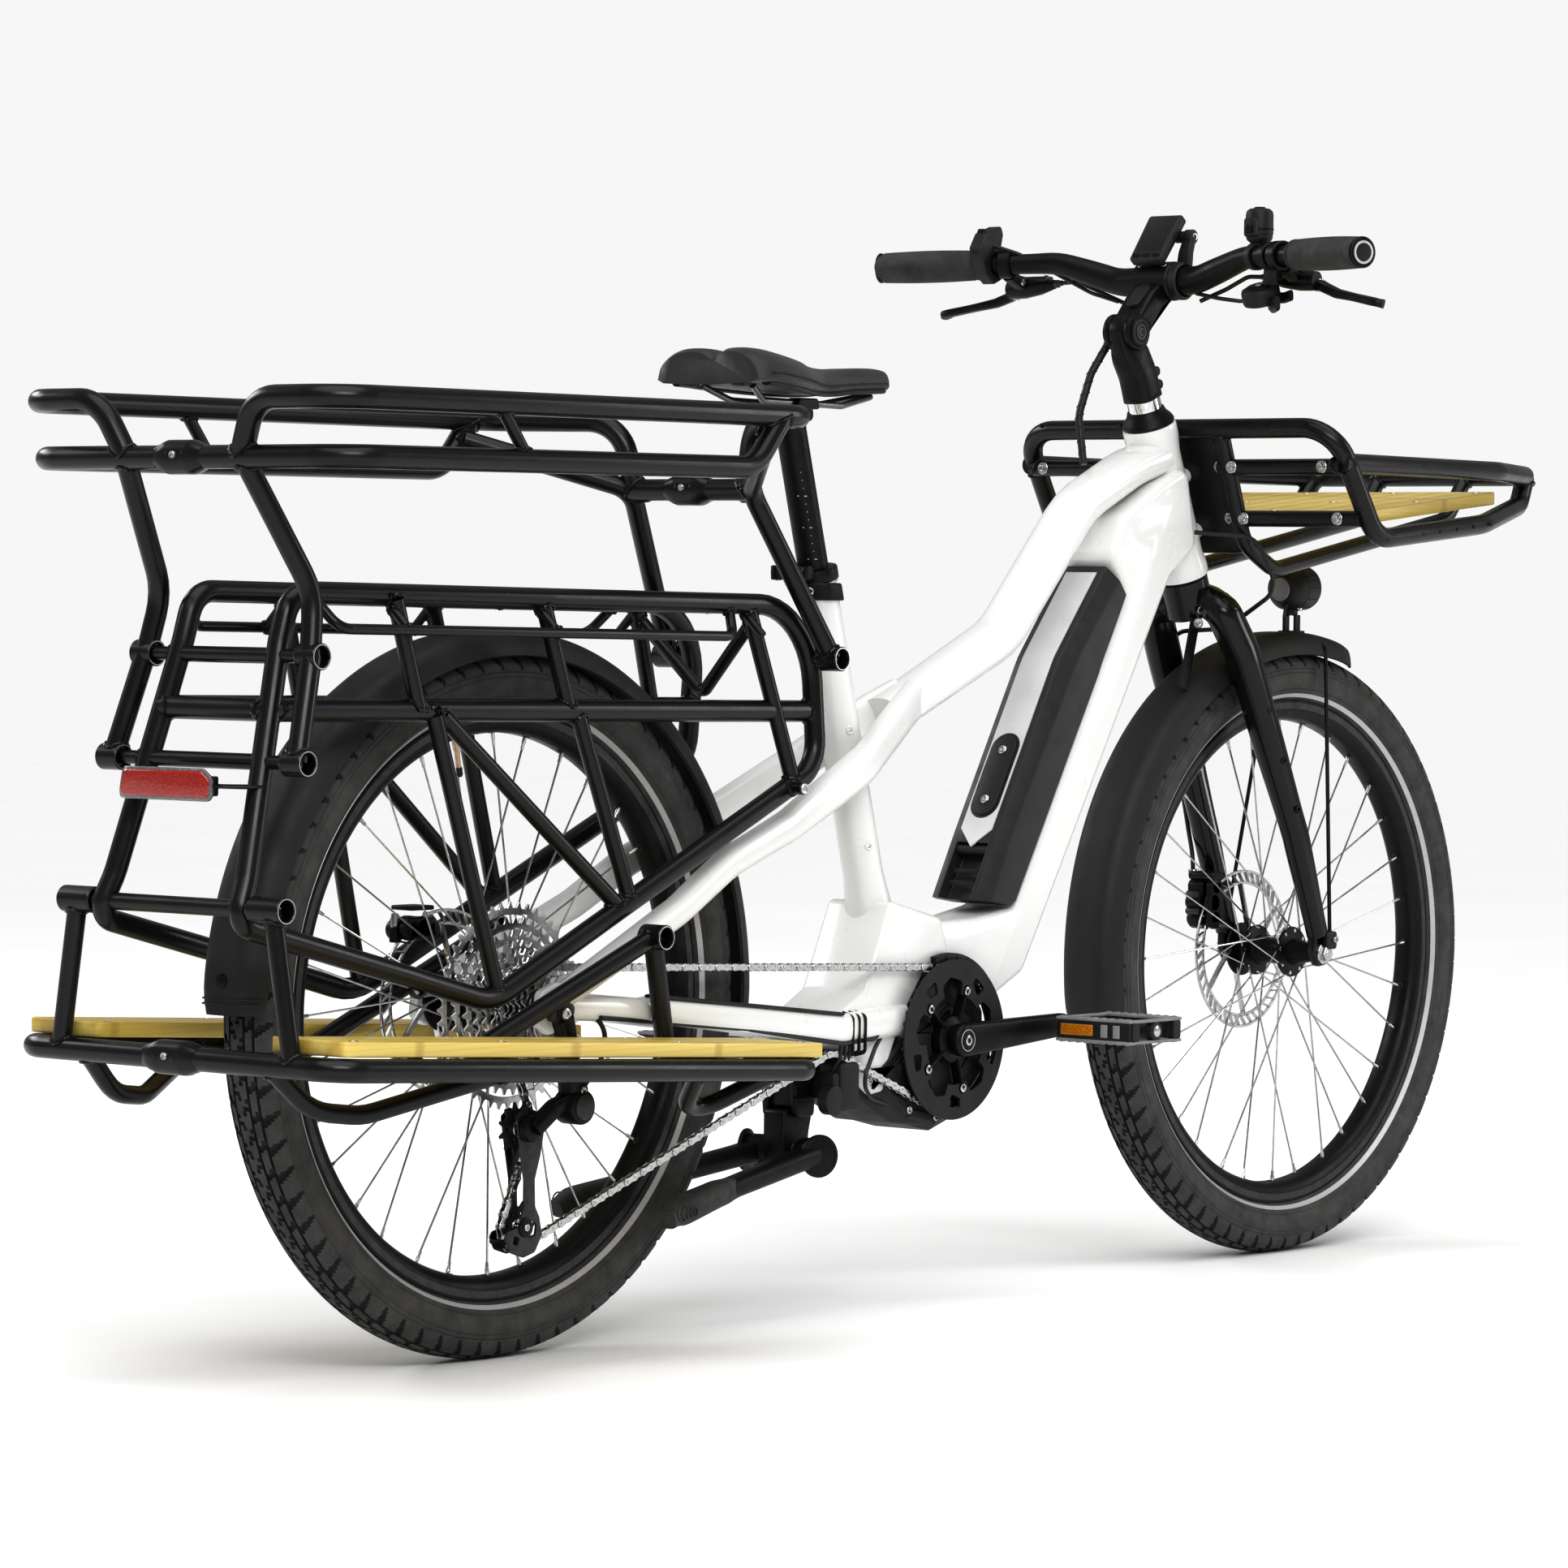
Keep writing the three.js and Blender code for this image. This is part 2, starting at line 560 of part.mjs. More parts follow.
function chainSolid() {
  const sprocket = { c: [0, TYRE_R], r: SPROCKET_R, turn: 1 };
  const upper = { c: [PULLEY_UP[0], PULLEY_UP[2]], r: PULLEY_R, turn: -1 };
  const lower = { c: [PULLEY_LOW[0], PULLEY_LOW[2]], r: PULLEY_R, turn: 1 };
  const guide = { c: [462, 246], r: 26, turn: -1 };
  const ring = { c: [BB[0], BB[2]], r: RING_R, turn: 1 };
  const shape = polygonShape([[-CHAIN_HALF_W, -CHAIN_HALF_H], [CHAIN_HALF_W, -CHAIN_HALF_H],
    [CHAIN_HALF_W, CHAIN_HALF_H], [-CHAIN_HALF_W, CHAIN_HALF_H]]);
  const rearArc = [
    ...bandArc(ring, sprocket, upper, 7), ...bandArc(sprocket, upper, lower, 4),
    ...bandArc(upper, lower, guide, 6), ...bandArc(lower, guide, ring, 2),
  ];
  const ringArc = bandArc(guide, ring, sprocket, 10);
  const half = (a, b, t) => a.map((v, i) => v + (b[i] - v) * t);
  const topFrom = ringArc.at(-1);
  const topTo = rearArc[0];
  const lowFrom = rearArc.at(-1);
  const lowTo = ringArc[0];
  const rear = [half(topFrom, topTo, 0.5), ...rearArc, half(lowFrom, lowTo, 0.5)];
  const front = [half(lowFrom, lowTo, 0.49), ...ringArc, half(topFrom, topTo, 0.505)];
  return sweep(rear, shape).add(sweep(front, shape));
}

function buildDrivetrain() {
  const c = [0, 0, TYRE_R];
  const inner = CHAIN_HALF_H + 1.6;
  const cassette = turned(
    [[18, -26], [100, -26], [100, -28], [50, -45], [SPROCKET_R - inner, -45.5],
      [SPROCKET_R - inner, -55], [22, -66], [18, -66]], c, 20);
  emit("cassette", cassette, SILVER());
  const b = [BB[0], 0, BB[2]];
  const ring = turned([[14, -47], [RING_R - inner, -48.5], [RING_R - inner, -51.5], [40, -54],
    [84, -56], [84, -58.5], [14, -60]], b, 20);
  emit("chainring", ring, BLACK_ALU());
  emit("crank_right", crankArm(1), BLACK_ALU());
  emit("crank_left", crankArm(-1), BLACK_ALU());
  for (const s of [-1, 1]) emit(s < 0 ? "pedal_right" : "pedal_left", pedal(s), GREY_PLASTIC());
  emit("chain", chainSolid(), SILVER());
}

// d is +1 for the right crank, which points forward, and -1 for the left, which points back.
function crankArm(d) {
  const y = (v) => (d > 0 ? -v : v);
  const at = (t) => [BB[0] + d * CRANK_LENGTH * t, BB[2] + d * 8 * t];
  const bar = [[-0.1, 15], [0.05, 19], [0.5, 14], [0.95, 13], [1.08, 8]];
  const outline = [
    ...bar.map(([t, h]) => [at(t)[0], at(t)[1] - h]),
    ...bar.reverse().map(([t, h]) => [at(t)[0], at(t)[1] + h]),
  ];
  const arm = plate(outline, Math.min(y(62), y(76)), Math.max(y(62), y(76)));
  const spindle = tube([[BB[0], y(1), BB[2]], [BB[0], y(64), BB[2]]], 8.6, 0, 8);
  const pin = tube([[at(1)[0], y(70), at(1)[1]], [at(1)[0], y(184), at(1)[1]]], 4.5, 0, 8);
  return join([arm, spindle, pin]);
}

function pedal(s) {
  const x = BB[0] - s * CRANK_LENGTH;
  const z = BB[2] - s * 8;
  const at = (a, b) => (s < 0 ? [-b, -a] : [a, b]);
  const slab = (x0, x1, a, b, z0, z1) => box(x + x0, x + x1, ...at(a, b), z + z0, z + z1);
  const cage = slab(-46, 46, 96, 196, -13, 13)
    .subtract(slab(-36, -13, 108, 186, -20, 20))
    .subtract(slab(13, 36, 108, 186, -20, 20));
  return cage.subtract(tube([[x, s * 80, z], [x, s * 188, z]], 5.2, 0, 8));
}

function buildDerailleur() {
  const body = join([
    tube([[4, -92, 330], [18, -88, 292], [30, -82, 245]], 9, 20, 8, 2),
    tube([[22, -84, 262], [-12, -72, 226]], 9),
    tube([[4, -87, 336], [4, -96, 336]], 12, 0, 8),
    tube([[30, -72, 246], [30, -98, 246]], 17, 0, 10),
  ]);
  const hang = disc([0, 0, 341], 24, -110, -80, 10);
  emit("derailleur_body", body.subtract(hang).subtract(frameClear()), BLACK_ALU());
  const link = [[-30, 236], [-12, 246], [6, 232], [0, 180], [8, 120], [-12, 104], [-34, 112], [-24, 170]];
  const cage = join([
    plate(link, -62, -60), plate(link, -41, -39),
    tube([[-12, -62, 225], [-12, -39, 225]], 4, 0, 8), tube([[-12, -62, 131], [-12, -39, 131]], 4, 0, 8),
    tube([[-12, -60.5, 225], [-12, -63, 225]], 8, 0, 8),
  ]);
  emit("derailleur_cage", cage.subtract(box(-60, 60, -100, -63, 100, 300)), BLACK_ALU());
  for (const [name, p] of [["pulley_upper", PULLEY_UP], ["pulley_lower", PULLEY_LOW]]) {
    const r = PULLEY_R - CHAIN_HALF_H - 0.7;
    emit(name, turned([[5, -55], [r, -51.5], [r, -48.5], [5, -45]], [p[0], 0, p[2]], 11), BLACK_PLASTIC());
  }
}

const frameClear = () =>
  join([tube([[150, -79, 332], [0, -80, 341]], 12.2), tube([[60, -81, 372], [0, -81, 345]], 13.6)]);

// ---------------------------------------------------------------- rear fender, lamp, caliper, stand
function arcPoints(cx, r, from, to, steps) {
  return Array.from({ length: steps + 1 }, (_, i) => {
    const a = ((from + ((to - from) * i) / steps) * Math.PI) / 180;
    return [cx + r * Math.cos(a), 0, TYRE_R + r * Math.sin(a)];
  });
}

const FENDER = [[-38, -17], [-32, 2], [-14, 8], [14, 8], [32, 2], [38, -17], [35.2, -17], [29.6, 0],
  [13, 5.2], [-13, 5.2], [-29.6, 0], [-35.2, -17]];

function buildRearExtras() {
  const guard = sweep(arcPoints(0, 354, -6, 179, 13), polygonShape(FENDER));
  emit("rear_fender", guard, GREY_PLASTIC());
  const lamp = box(-430, -422, -53, 66, 546, 576);
  emit("tail_light", lamp, RED_LENS());
  const caliper = join([box(-70, -18, 54, 66, 395, 436), box(-64, -26, 44, 76, 402, 430)])
    .subtract(box(-90, 10, 56.4, 60, 330, 430.5)).subtract(rearClear());
  emit("rear_caliper", caliper, BLACK_ALU());
  const p = STAND_PIVOT;
  const mount = join([
    box(p[0] - 22, p[0] + 30, -24, 24, 200, 280.6),
    plate([[p[0] - 16, 205], [p[0] - 20, 150], [p[0] + 16, 150], [p[0] + 24, 205]], -14, 14),
  ]);
  emit("stand_mount", mount, BLACK_ALU());
  for (const s of [-1, 1]) emit(s < 0 ? "stand_leg_right" : "stand_leg_left", standLeg(s), BLACK_ALU());
}

const rearClear = () => tube([[197, 70, 428], [60, 81, 372], [0, 81, 345]], 13.5);

function standLeg(s) {
  const [x, y, z] = STAND_PIVOT;
  const leg = tube(side([[x + 8, y, z + 1], [x - 190, y + 26, z - 27]], s), 10);
  const foot = tube(side([[x - 175, y + 24, z - 25], [x - 265, y + 38, z - 40]], s), 14);
  const pin = (t) => [x + STAND_AXIS[0] * -t, y + STAND_AXIS[1] * t, z];
  const cap = tube(side([pin(-12), pin(14)], s), 17, 0, 10);
  return join([leg, foot, cap]);
}

// ---------------------------------------------------------------- fork and front end
function buildFork() {
  const steerer = tube([steerAt(975), steerAt(742)], 16, 0, 12);
  const crown = join([
    tube([steerAt(757), steerAt(722)], 26, 0, 10),
    tube([[1138, -52, 716], [1146, 0, 738], [1138, 52, 716]], 17, 20, 8, 2),
  ]);
  const leg = (s) => tube(side(
    [[1136, 50, 726], [1166, 54, 678], [1262, 62, 476], [1309, 63, 355]], s), 12.5, 60);
  const tip = (s) => disc([WHEELBASE, 0, TYRE_R], 17, s < 0 ? -70 : 57, s < 0 ? -57 : 70, 10);
  emit("fork", join([steerer, crown, leg(-1), leg(1), tip(-1), tip(1)]), BLACK_PAINT());
  const guard = sweep(arcPoints(WHEELBASE, 354, 72.5, 192, 9), polygonShape(FENDER));
  const strut = (s) => tube(side([[1353, 36.5, 682], [1316, 73, 345]], s), 2.2);
  const bracket = tube([[1337, 0, 698], [1337, 0, 722]], 5, 0, 8);
  emit("front_fender", join([guard, strut(-1), strut(1), bracket]).subtract(forkClear()), GREY_PLASTIC());
  const lamp = join([
    tube([[1318, 0, 751], [1366, 0, 753]], 25, 0, 12), disc([1337, 0, 731], 8, -7, 7, 10),
  ]);
  emit("headlight", lamp, BLACK_PLASTIC());
  const caliper = join([
    box(1232, 1268, 34, 72, 366, 420), box(1236, 1262, 34, 60, 356, 432),
  ]).subtract(box(1225, 1300, 42.4, 47, 340, 424)).subtract(hubClear()).subtract(legClear());
  emit("front_caliper", caliper, BLACK_ALU());
}

const hubClear = () => disc([WHEELBASE, 0, TYRE_R], 60, -80, 34.5, 10);
const legClear = () => tube([[1166, 54, 678], [1262, 62, 476], [1309, 63, 355]], 12.9, 60);
const forkClear = () => join([-1, 1].map((s) => join([
  tube(side([[1136, 50, 726], [1166, 54, 678], [1262, 62, 476], [1309, 63, 355]], s), 12.9, 60),
  disc([WHEELBASE, 0, TYRE_R], 17.3, s < 0 ? -70.3 : 56.7, s < 0 ? -56.7 : 70.3, 10),
])));

function buildCockpit() {
  const [px, , pz] = STEM_PIVOT;
  const pivot = (radius, y0, y1) => disc(STEM_PIVOT, radius, y0, y1, 12);
  const base = join([
    tube([steerAt(932.5), steerAt(958)], 20, 0, 12), tube([steerAt(957), [px, 0, pz - 10]], 19, 0, 12),
    pivot(19, -9.5, 9.5),
  ]).subtract(tube([steerAt(900), steerAt(976)], 16.4, 0, 12));
  const slots = [-1, 1].map((s) => pivot(24, s < 0 ? -26 : 9.8, s < 0 ? -9.8 : 26));
  emit("stem_base", base.subtract(slots[0]).subtract(slots[1]), BLACK_ALU());
  const ears = join([
    pivot(19.5, -18, -10), pivot(19.5, 10, 18), pivot(16, -20, -17),
    plate([[px, pz + 14], [px + 38, pz + 52], [px + 58, pz + 36], [px + 17, pz - 4]], -18, 18),
    tube([[BAR[0], -24, BAR[2]], [BAR[0], 24, BAR[2]]], 21, 0, 12),
  ]);
  const clamp = join([
    tube([[BAR[0], -26.5, BAR[2]], [BAR[0], -36, BAR[2]]], 20.5, 0, 12),
    tube([[1078, -31, 1090], [1089, -31, 1136]], 5),
    disc(DISPLAY_PIVOT, 7, -36, -25.6, 10), tube([[BAR[0], -20, BAR[2]], [BAR[0], -30, BAR[2]]], 19, 0, 12),
  ]);
  const barBore = tube([[BAR[0], -40, BAR[2]], [BAR[0], 40, BAR[2]]], 16.3, 0, 12);
  const arm = join([ears, clamp]).subtract(pivot(20.4, -9.9, 9.9)).subtract(barBore);
  emit("stem_arm", arm, BLACK_ALU());
  const bar = [BAR, [BAR[0], 52, BAR[2]], [1060, 128, 1110], [992, 322, 1106]];
  const halfBar = (s) => tube(side([[bar[0][0], -1, bar[0][2]], ...bar.slice(1)], s), 11, 50, 10, 3);
  const thick = tube([[BAR[0], -40, BAR[2]], [BAR[0], 40, BAR[2]]], 16, 0, 12);
  emit("handlebar", join([halfBar(-1), halfBar(1), thick]), BLACK_ALU());
  for (const s of [-1, 1]) buildHand(s, bar);
  const screen = plate([[1046, 1110], [1086, 1161], [1095.4, 1153.6], [1055.4, 1102.6]], -22, 22);
  emit("display", screen.add(disc(DISPLAY_PIVOT, 6, -25.3, -15, 10)), BLACK_PLASTIC());
}

function barPoint(bar, y) {
  const [a, b] = [bar[2], bar[3]];
  const t = (y - a[1]) / (b[1] - a[1]);
  return [a[0] + (b[0] - a[0]) * t, y, a[2] + (b[2] - a[2]) * t];
}

function buildHand(s, bar) {
  const hand = s < 0 ? "right" : "left";
  const at = (y) => barPoint(bar, y);
  const on = (a, b, r, sides = 10) => tube(side([at(a), at(b)], s), r, 0, sides);
  const bore = on(100, 400, 11.5);
  emit("grip_" + hand, on(214, 329, 16.5).subtract(on(200, 323.5, 11.5)), RUBBER());
  const [x, , z] = at(186);
  const body = join([
    on(178, 194, 17), tube(side([[x + 6, 187, z - 12], [x + 34, 186, z - 24]], s), 9),
    tube(side([[x + 36, 204, z - 25], [x + 38, 150, z - 22]], s), 8),
  ]).subtract(bore);
  emit("brake_body_" + hand, body, BLACK_ALU());
  const lever = tube(
    side([[x + 46, 206, z - 30], [x + 44, 226, z - 40], [x + 30, 296, z - 52]], s), 5, 20, 8, 2);
  emit("brake_lever_" + hand, lever, BLACK_ALU());
  if (s > 0) {
    const pod = join([on(199, 209, 15), box(x - 22, x + 6, 199, 209, z + 6, z + 40)]);
    emit("remote", pod.subtract(bore), BLACK_PLASTIC());
    return;
  }
  const bell = join([on(140, 149, 15), tube(side([[x + 20, 144, z + 12], [x + 20, 144, z + 51]], s), 14)]);
  emit("bell", bell.subtract(bore), BLACK_PLASTIC());
  const shifter = join([on(163, 174, 16), box(x + 2, x + 30, -172, -134, z - 52, z - 34),
    box(x + 4, x + 16, -172, -165, z - 40, z - 8)]);
  emit("shifter", shifter.subtract(bore), BLACK_PLASTIC());
}

// ---------------------------------------------------------------- cables
function buildCables() {
  const loom = [[1015, 25, 1016], [1000, 36, 984], [984, 40, 938], [978, 28, 884]];
  emit("cable_loom", tube(loom, 5, 45, 8), RUBBER());
  const hose = [[1098, -36, 812], [1152, -80, 808], [1182, -90, 750], [1182, -20, 706], [1182, 50, 702],
    [1200, 78, 655], [1258, 83, 478], [1246, 68, 450], [1246, 66, 420.4]];
  emit("front_brake_hose", tube(hose, 2.5, 30, 8, 3), RUBBER());
}

buildFrame();
buildDrive();
buildSeat();
buildRack();
buildTopRail();
buildFootboards();
buildFrontRack();
buildWheel(0, "rear", 74, 21, 58);
buildWheel(WHEELBASE, "front", 56, 24, 44.7);
buildDrivetrain();
buildDerailleur();
buildRearExtras();
buildFork();
buildCockpit();
buildCables();

export default bike;
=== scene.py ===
"""The looks of a longtail cargo e-bicycle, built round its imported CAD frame.

Shapes are drawn in millimetres with X = 0 at the rear axle, Y to the rider's left and Z = 0 on
the floor, and Shape.piece() puts them into the frame's metres.
"""

import math

import bmesh
import bpy
from mathutils import Matrix, Vector


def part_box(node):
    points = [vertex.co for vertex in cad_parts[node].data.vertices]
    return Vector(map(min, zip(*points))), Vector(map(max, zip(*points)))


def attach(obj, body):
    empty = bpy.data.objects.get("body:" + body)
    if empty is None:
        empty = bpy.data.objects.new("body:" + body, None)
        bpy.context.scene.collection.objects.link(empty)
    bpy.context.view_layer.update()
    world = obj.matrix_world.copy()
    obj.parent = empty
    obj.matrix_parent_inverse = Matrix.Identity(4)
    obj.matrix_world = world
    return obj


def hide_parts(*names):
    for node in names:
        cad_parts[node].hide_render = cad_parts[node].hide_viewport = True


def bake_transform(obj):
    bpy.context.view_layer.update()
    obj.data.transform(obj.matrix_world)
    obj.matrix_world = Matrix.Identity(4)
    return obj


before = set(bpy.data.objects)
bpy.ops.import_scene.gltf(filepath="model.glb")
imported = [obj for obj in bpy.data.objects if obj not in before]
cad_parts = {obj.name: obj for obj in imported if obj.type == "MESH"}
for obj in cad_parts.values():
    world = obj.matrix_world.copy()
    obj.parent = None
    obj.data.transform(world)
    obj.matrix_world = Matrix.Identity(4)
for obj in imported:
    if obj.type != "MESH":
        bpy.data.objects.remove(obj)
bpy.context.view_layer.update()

# ---------------------------------------------------------------- places from the frame
MM = 0.001
TAU = 2 * math.pi
RIGHT, LEFT = -1, 1
HANDS = {RIGHT: "right", LEFT: "left"}


def middle(node):
    """The middle of a CAD node's box, in the frame's metres."""
    low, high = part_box(node)
    return (low + high) / 2


REAR_AXLE = middle("rear_tyre")
WHEELBASE = (middle("front_tyre").x - REAR_AXLE.x) / MM
TYRE_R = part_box("rear_tyre")[1].z / MM / 2
BB = Vector((middle("chainring").x - REAR_AXLE.x, 0, middle("chainring").z)) / MM
REAR = Vector((0, 0, TYRE_R))
FRONT = Vector((WHEELBASE, 0, TYRE_R))
SEAT_LEAN = 0.274
HEAD_TOP = Vector((1059.2, 0, 929))
HEAD_LOW = Vector((1125.8, 0, 764))
CHAIN_Y = -50
PITCH = 12.7

X, Y, Z = Vector((1, 0, 0)), Vector((0, 1, 0)), Vector((0, 0, 1))


def in_frame(p):
    """A place in this script's millimetres, in the frame's metres."""
    return Vector((REAR_AXLE.x + p[0] * MM, p[1] * MM, p[2] * MM))


def side(points, s):
    """Points drawn on the left, put on either side."""
    return [(x, s * y, z) for x, y, z in points]


def beside(place, rows):
    """Points (x, y, z) whose x and z are counted from a place and whose y is the bicycle's own."""
    return [(place.x + x, y, place.z + z) for x, y, z in rows]


def span(s, near, far):
    """Two distances from the middle, on either side, the lower one first."""
    return sorted((s * near, s * far))


def seat_at(z):
    """The seat tube's centre line at a height."""
    return Vector((450 + (889.5 - z) * SEAT_LEAN, 0, z))


def steer_at(z):
    """The steering axis at a height."""
    share = (HEAD_TOP.z - z) / (HEAD_TOP.z - HEAD_LOW.z)
    return HEAD_TOP.lerp(HEAD_LOW, share)


SEAT_AXIS = (seat_at(900) - seat_at(600)).normalized()
STEER_AXIS = (HEAD_TOP - HEAD_LOW).normalized()


# ---------------------------------------------------------------- shapes
def face_outwards(mesh):
    work = bmesh.new()
    work.from_mesh(mesh)
    bmesh.ops.recalc_face_normals(work, faces=work.faces)
    work.to_mesh(mesh)
    work.free()


def linked(name, data):
    """A new object in the scene, made of a mesh, a light or a camera."""
    made = bpy.data.objects.new(name, data)
    bpy.context.scene.collection.objects.link(made)
    return made


class Shape:
    """Faces gathered in millimetres, each with the number of the material it is made of."""

    def __init__(self, *materials):
        self.materials = materials
        self.verts = []
        self.faces = []
        self.kinds = []

    def add(self, part, kind=0):
        verts, faces = part
        first = len(self.verts)
        self.verts.extend(verts)
        self.faces.extend(tuple(first + i for i in face) for face in faces)
        self.kinds.extend([kind] * len(faces))
        return self

    def mesh(self, name, angle):
        mesh = bpy.data.meshes.new(name)
        mesh.from_pydata([in_frame(v) for v in self.verts], [], self.faces)
        for material in self.materials:
            mesh.materials.append(material)
        mesh.polygons.foreach_set("material_index", self.kinds)
        face_outwards(mesh)
        mesh.shade_smooth()
        mesh.set_sharp_from_angle(angle=math.radians(angle))
        return mesh

    def piece(self, name, body, angle=35, stands_for_node=True):
        """The finished object, riding on a body in place of the CAD node of its name."""
        thing = linked(name, self.mesh(name, angle))
        if body:
            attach(thing, body)
        if stands_for_node:
            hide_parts(name)
        return thing


def loft(rings, closed=False, caps=True):
    """A skin over rings that have equally many points."""
    count = len(rings[0])
    verts = [Vector(v) for ring in rings for v in ring]
    faces = []
    for i in range(len(rings) if closed else len(rings) - 1):
        a = i * count
        b = (i + 1) % len(rings) * count
        for j in range(count):
            k = (j + 1) % count
            faces.append((a + j, a + k, b + k, b + j))
    if caps and not closed:
        faces.append(tuple(reversed(range(count))))
        faces.append(tuple(range(len(verts) - count, len(verts))))
    return verts, faces


# A bend may take up this share of the shorter run beside it.
BEND_ROOM = 0.48


def corner(a, b, c, radius, step):
    """Stations round one rounded corner of a line."""
    u, v = a - b, c - b
    room = BEND_ROOM * min(u.length, v.length)
    u, v = u.normalized(), v.normalized()
    half = u.angle(v) / 2
    if radius == 0 or half > math.pi / 2 - 1e-4:
        return [(b, (v - u).normalized())]
    reach = min(radius / math.tan(half), room)
    r = reach * math.tan(half)
    centre = b + (u + v).normalized() * (r / math.sin(half))
    start = b + u * reach - centre
    axis = v.cross(u).normalized()
    turn = math.pi - 2 * half
    count = max(1, round(turn / math.radians(step)))
    stations = []
    for k in range(count + 1):
        spin = Matrix.Rotation(turn * k / count, 3, axis)
        stations.append((centre + spin @ start, spin @ -u))
    return stations


def stations_of(points, bend=0, step=9, spacing=None):
    """(place, heading) along straight runs joined by round bends."""
    p = [Vector(q) for q in points]
    bends = bend if isinstance(bend, (list, tuple)) else [bend] * len(p)
    line = [(p[0], (p[1] - p[0]).normalized())]
    for i in range(1, len(p) - 1):
        line += corner(p[i - 1], p[i], p[i + 1], bends[i], step)
    line.append((p[-1], (p[-1] - p[-2]).normalized()))
    if spacing is None:
        return line
    dense = [line[0]]
    for (a, da), (b, db) in zip(line, line[1:]):
        cuts = int((b - a).length // spacing)
        for k in range(1, cuts + 1):
            share = k / (cuts + 1)
            dense.append((a.lerp(b, share), da.lerp(db, share).normalized()))
        dense.append((b, db))
    return dense


def with_sides(stations, hint=None):
    """Adds to each station the two directions that its section is drawn along."""
    across = stations[0][1].cross(Vector(hint) if hint else stations[0][1].orthogonal())
    framed = []
    for place, heading in stations:
        if hint:
            across = heading.cross(Vector(hint))
        across = (across - heading * across.dot(heading)).normalized()
        framed.append((place, across, across.cross(heading) * -1))
    return framed


def circle(radius, sides, phase=0.0):
    turns = [TAU * (k + phase) / sides for k in range(sides)]
    return [(radius * math.cos(turn), radius * math.sin(turn)) for turn in turns]


def oval(wide, tall, sides=28, square=2.4):
    """A rounded section: square is 2 for an ellipse, and more for flatter sides."""
    points = []
    for k in range(sides):
        c, s = math.cos(TAU * k / sides), math.sin(TAU * k / sides)
        a = math.copysign(abs(c) ** (2 / square), c)
        b = math.copysign(abs(s) ** (2 / square), s)
        points.append((wide * a, tall * b))
    return points


def lengths_of(stations):
    """The share of the way that each station lies along its line."""
    total = [0.0]
    for (a, _), (b, _) in zip(stations, stations[1:]):
        total.append(total[-1] + (b - a).length)
    return [t / total[-1] for t in total]


def blend_of(table, share):
    """The value at a share of the way through a table of (share, value) rows."""
    for (t0, v0), (t1, v1) in zip(table, table[1:]):
        if share <= t1:
            f = 0 if t1 == t0 else (share - t0) / (t1 - t0)
            f = f * f * (3 - 2 * f)
            if isinstance(v0, tuple):
                return tuple(a + (b - a) * f for a, b in zip(v0, v1))
            return v0 + (v1 - v0) * f
    return table[-1][1]


def tapered(table, sides, square):
    """A section that changes along its line, from a table of (share, (half width, half height)) rows."""
    return lambda share: oval(*blend_of(table, share), sides, square)


def swept(points, section, bend=0, hint=None, spacing=None, closed=False, step=9):
    """A section carried along a bent line; it may be a function of the share travelled."""
    stations = stations_of(points, bend, step, spacing)
    shares = lengths_of(stations)
    rings = []
    for (place, across, up), share in zip(with_sides(stations, hint), shares):
        outline = section(share) if callable(section) else section
        rings.append([place + across * a + up * b for a, b in outline])
    return loft(rings, closed=closed)


def pipe(points, radius, bend=0, sides=20, step=9):
    """A tube; radius may be a table of (share, radius) rows."""
    if isinstance(radius, (int, float)):
        return swept(points, circle(radius, sides), bend, step=step)
    return swept(points, lambda t: circle(blend_of(radius, t), sides), bend, spacing=12, step=step)


def turned(profile, centre, axis=Y, sides=32, closed=False):
    """A solid of revolution; the profile lists (radius, distance along the axis)."""
    axis = Vector(axis).normalized()
    u = X if abs(axis.y) > 0.99 else axis.orthogonal().normalized()
    v = axis.cross(u)
    centre = Vector(centre)
    arms = [u * a + v * b for a, b in circle(1, sides)]
    return loft([[centre + axis * h + arm * r for arm in arms] for r, h in profile], closed, not closed)


def band(inner, outer, low, high):
    """The square profile of a plain ring."""
    return [(inner, low), (outer, low), (outer, high), (inner, high)]


def mirrored(half):
    """A whole profile from the half on one side of the wheel's middle plane."""
    return half + [(r, -y) for r, y in reversed(half)]


def disc(centre, radius, low, high, axis=Y, soft=0.8, sides=32):
    """A disc with softened rims between two distances along its axis."""
    soft = min(soft, radius / 3, (high - low) / 3)
    profile = [(radius - soft, low), (radius - 0.3 * soft, low + 0.3 * soft), (radius, low + soft)]
    profile += [(radius, high - soft), (radius - 0.3 * soft, high - 0.3 * soft), (radius - soft, high)]
    return turned(profile, centre, axis, sides)


def ring(centre, outer, inner, low, high, axis=Y, soft=0.6, sides=32):
    """A ring with softened edges; its bore is open."""
    profile = [(inner, low + soft), (inner + soft, low), (outer - soft, low), (outer, low + soft)]
    profile += [(outer, high - soft), (outer - soft, high), (inner + soft, high), (inner, high - soft)]
    return turned(profile, centre, axis, sides, closed=True)


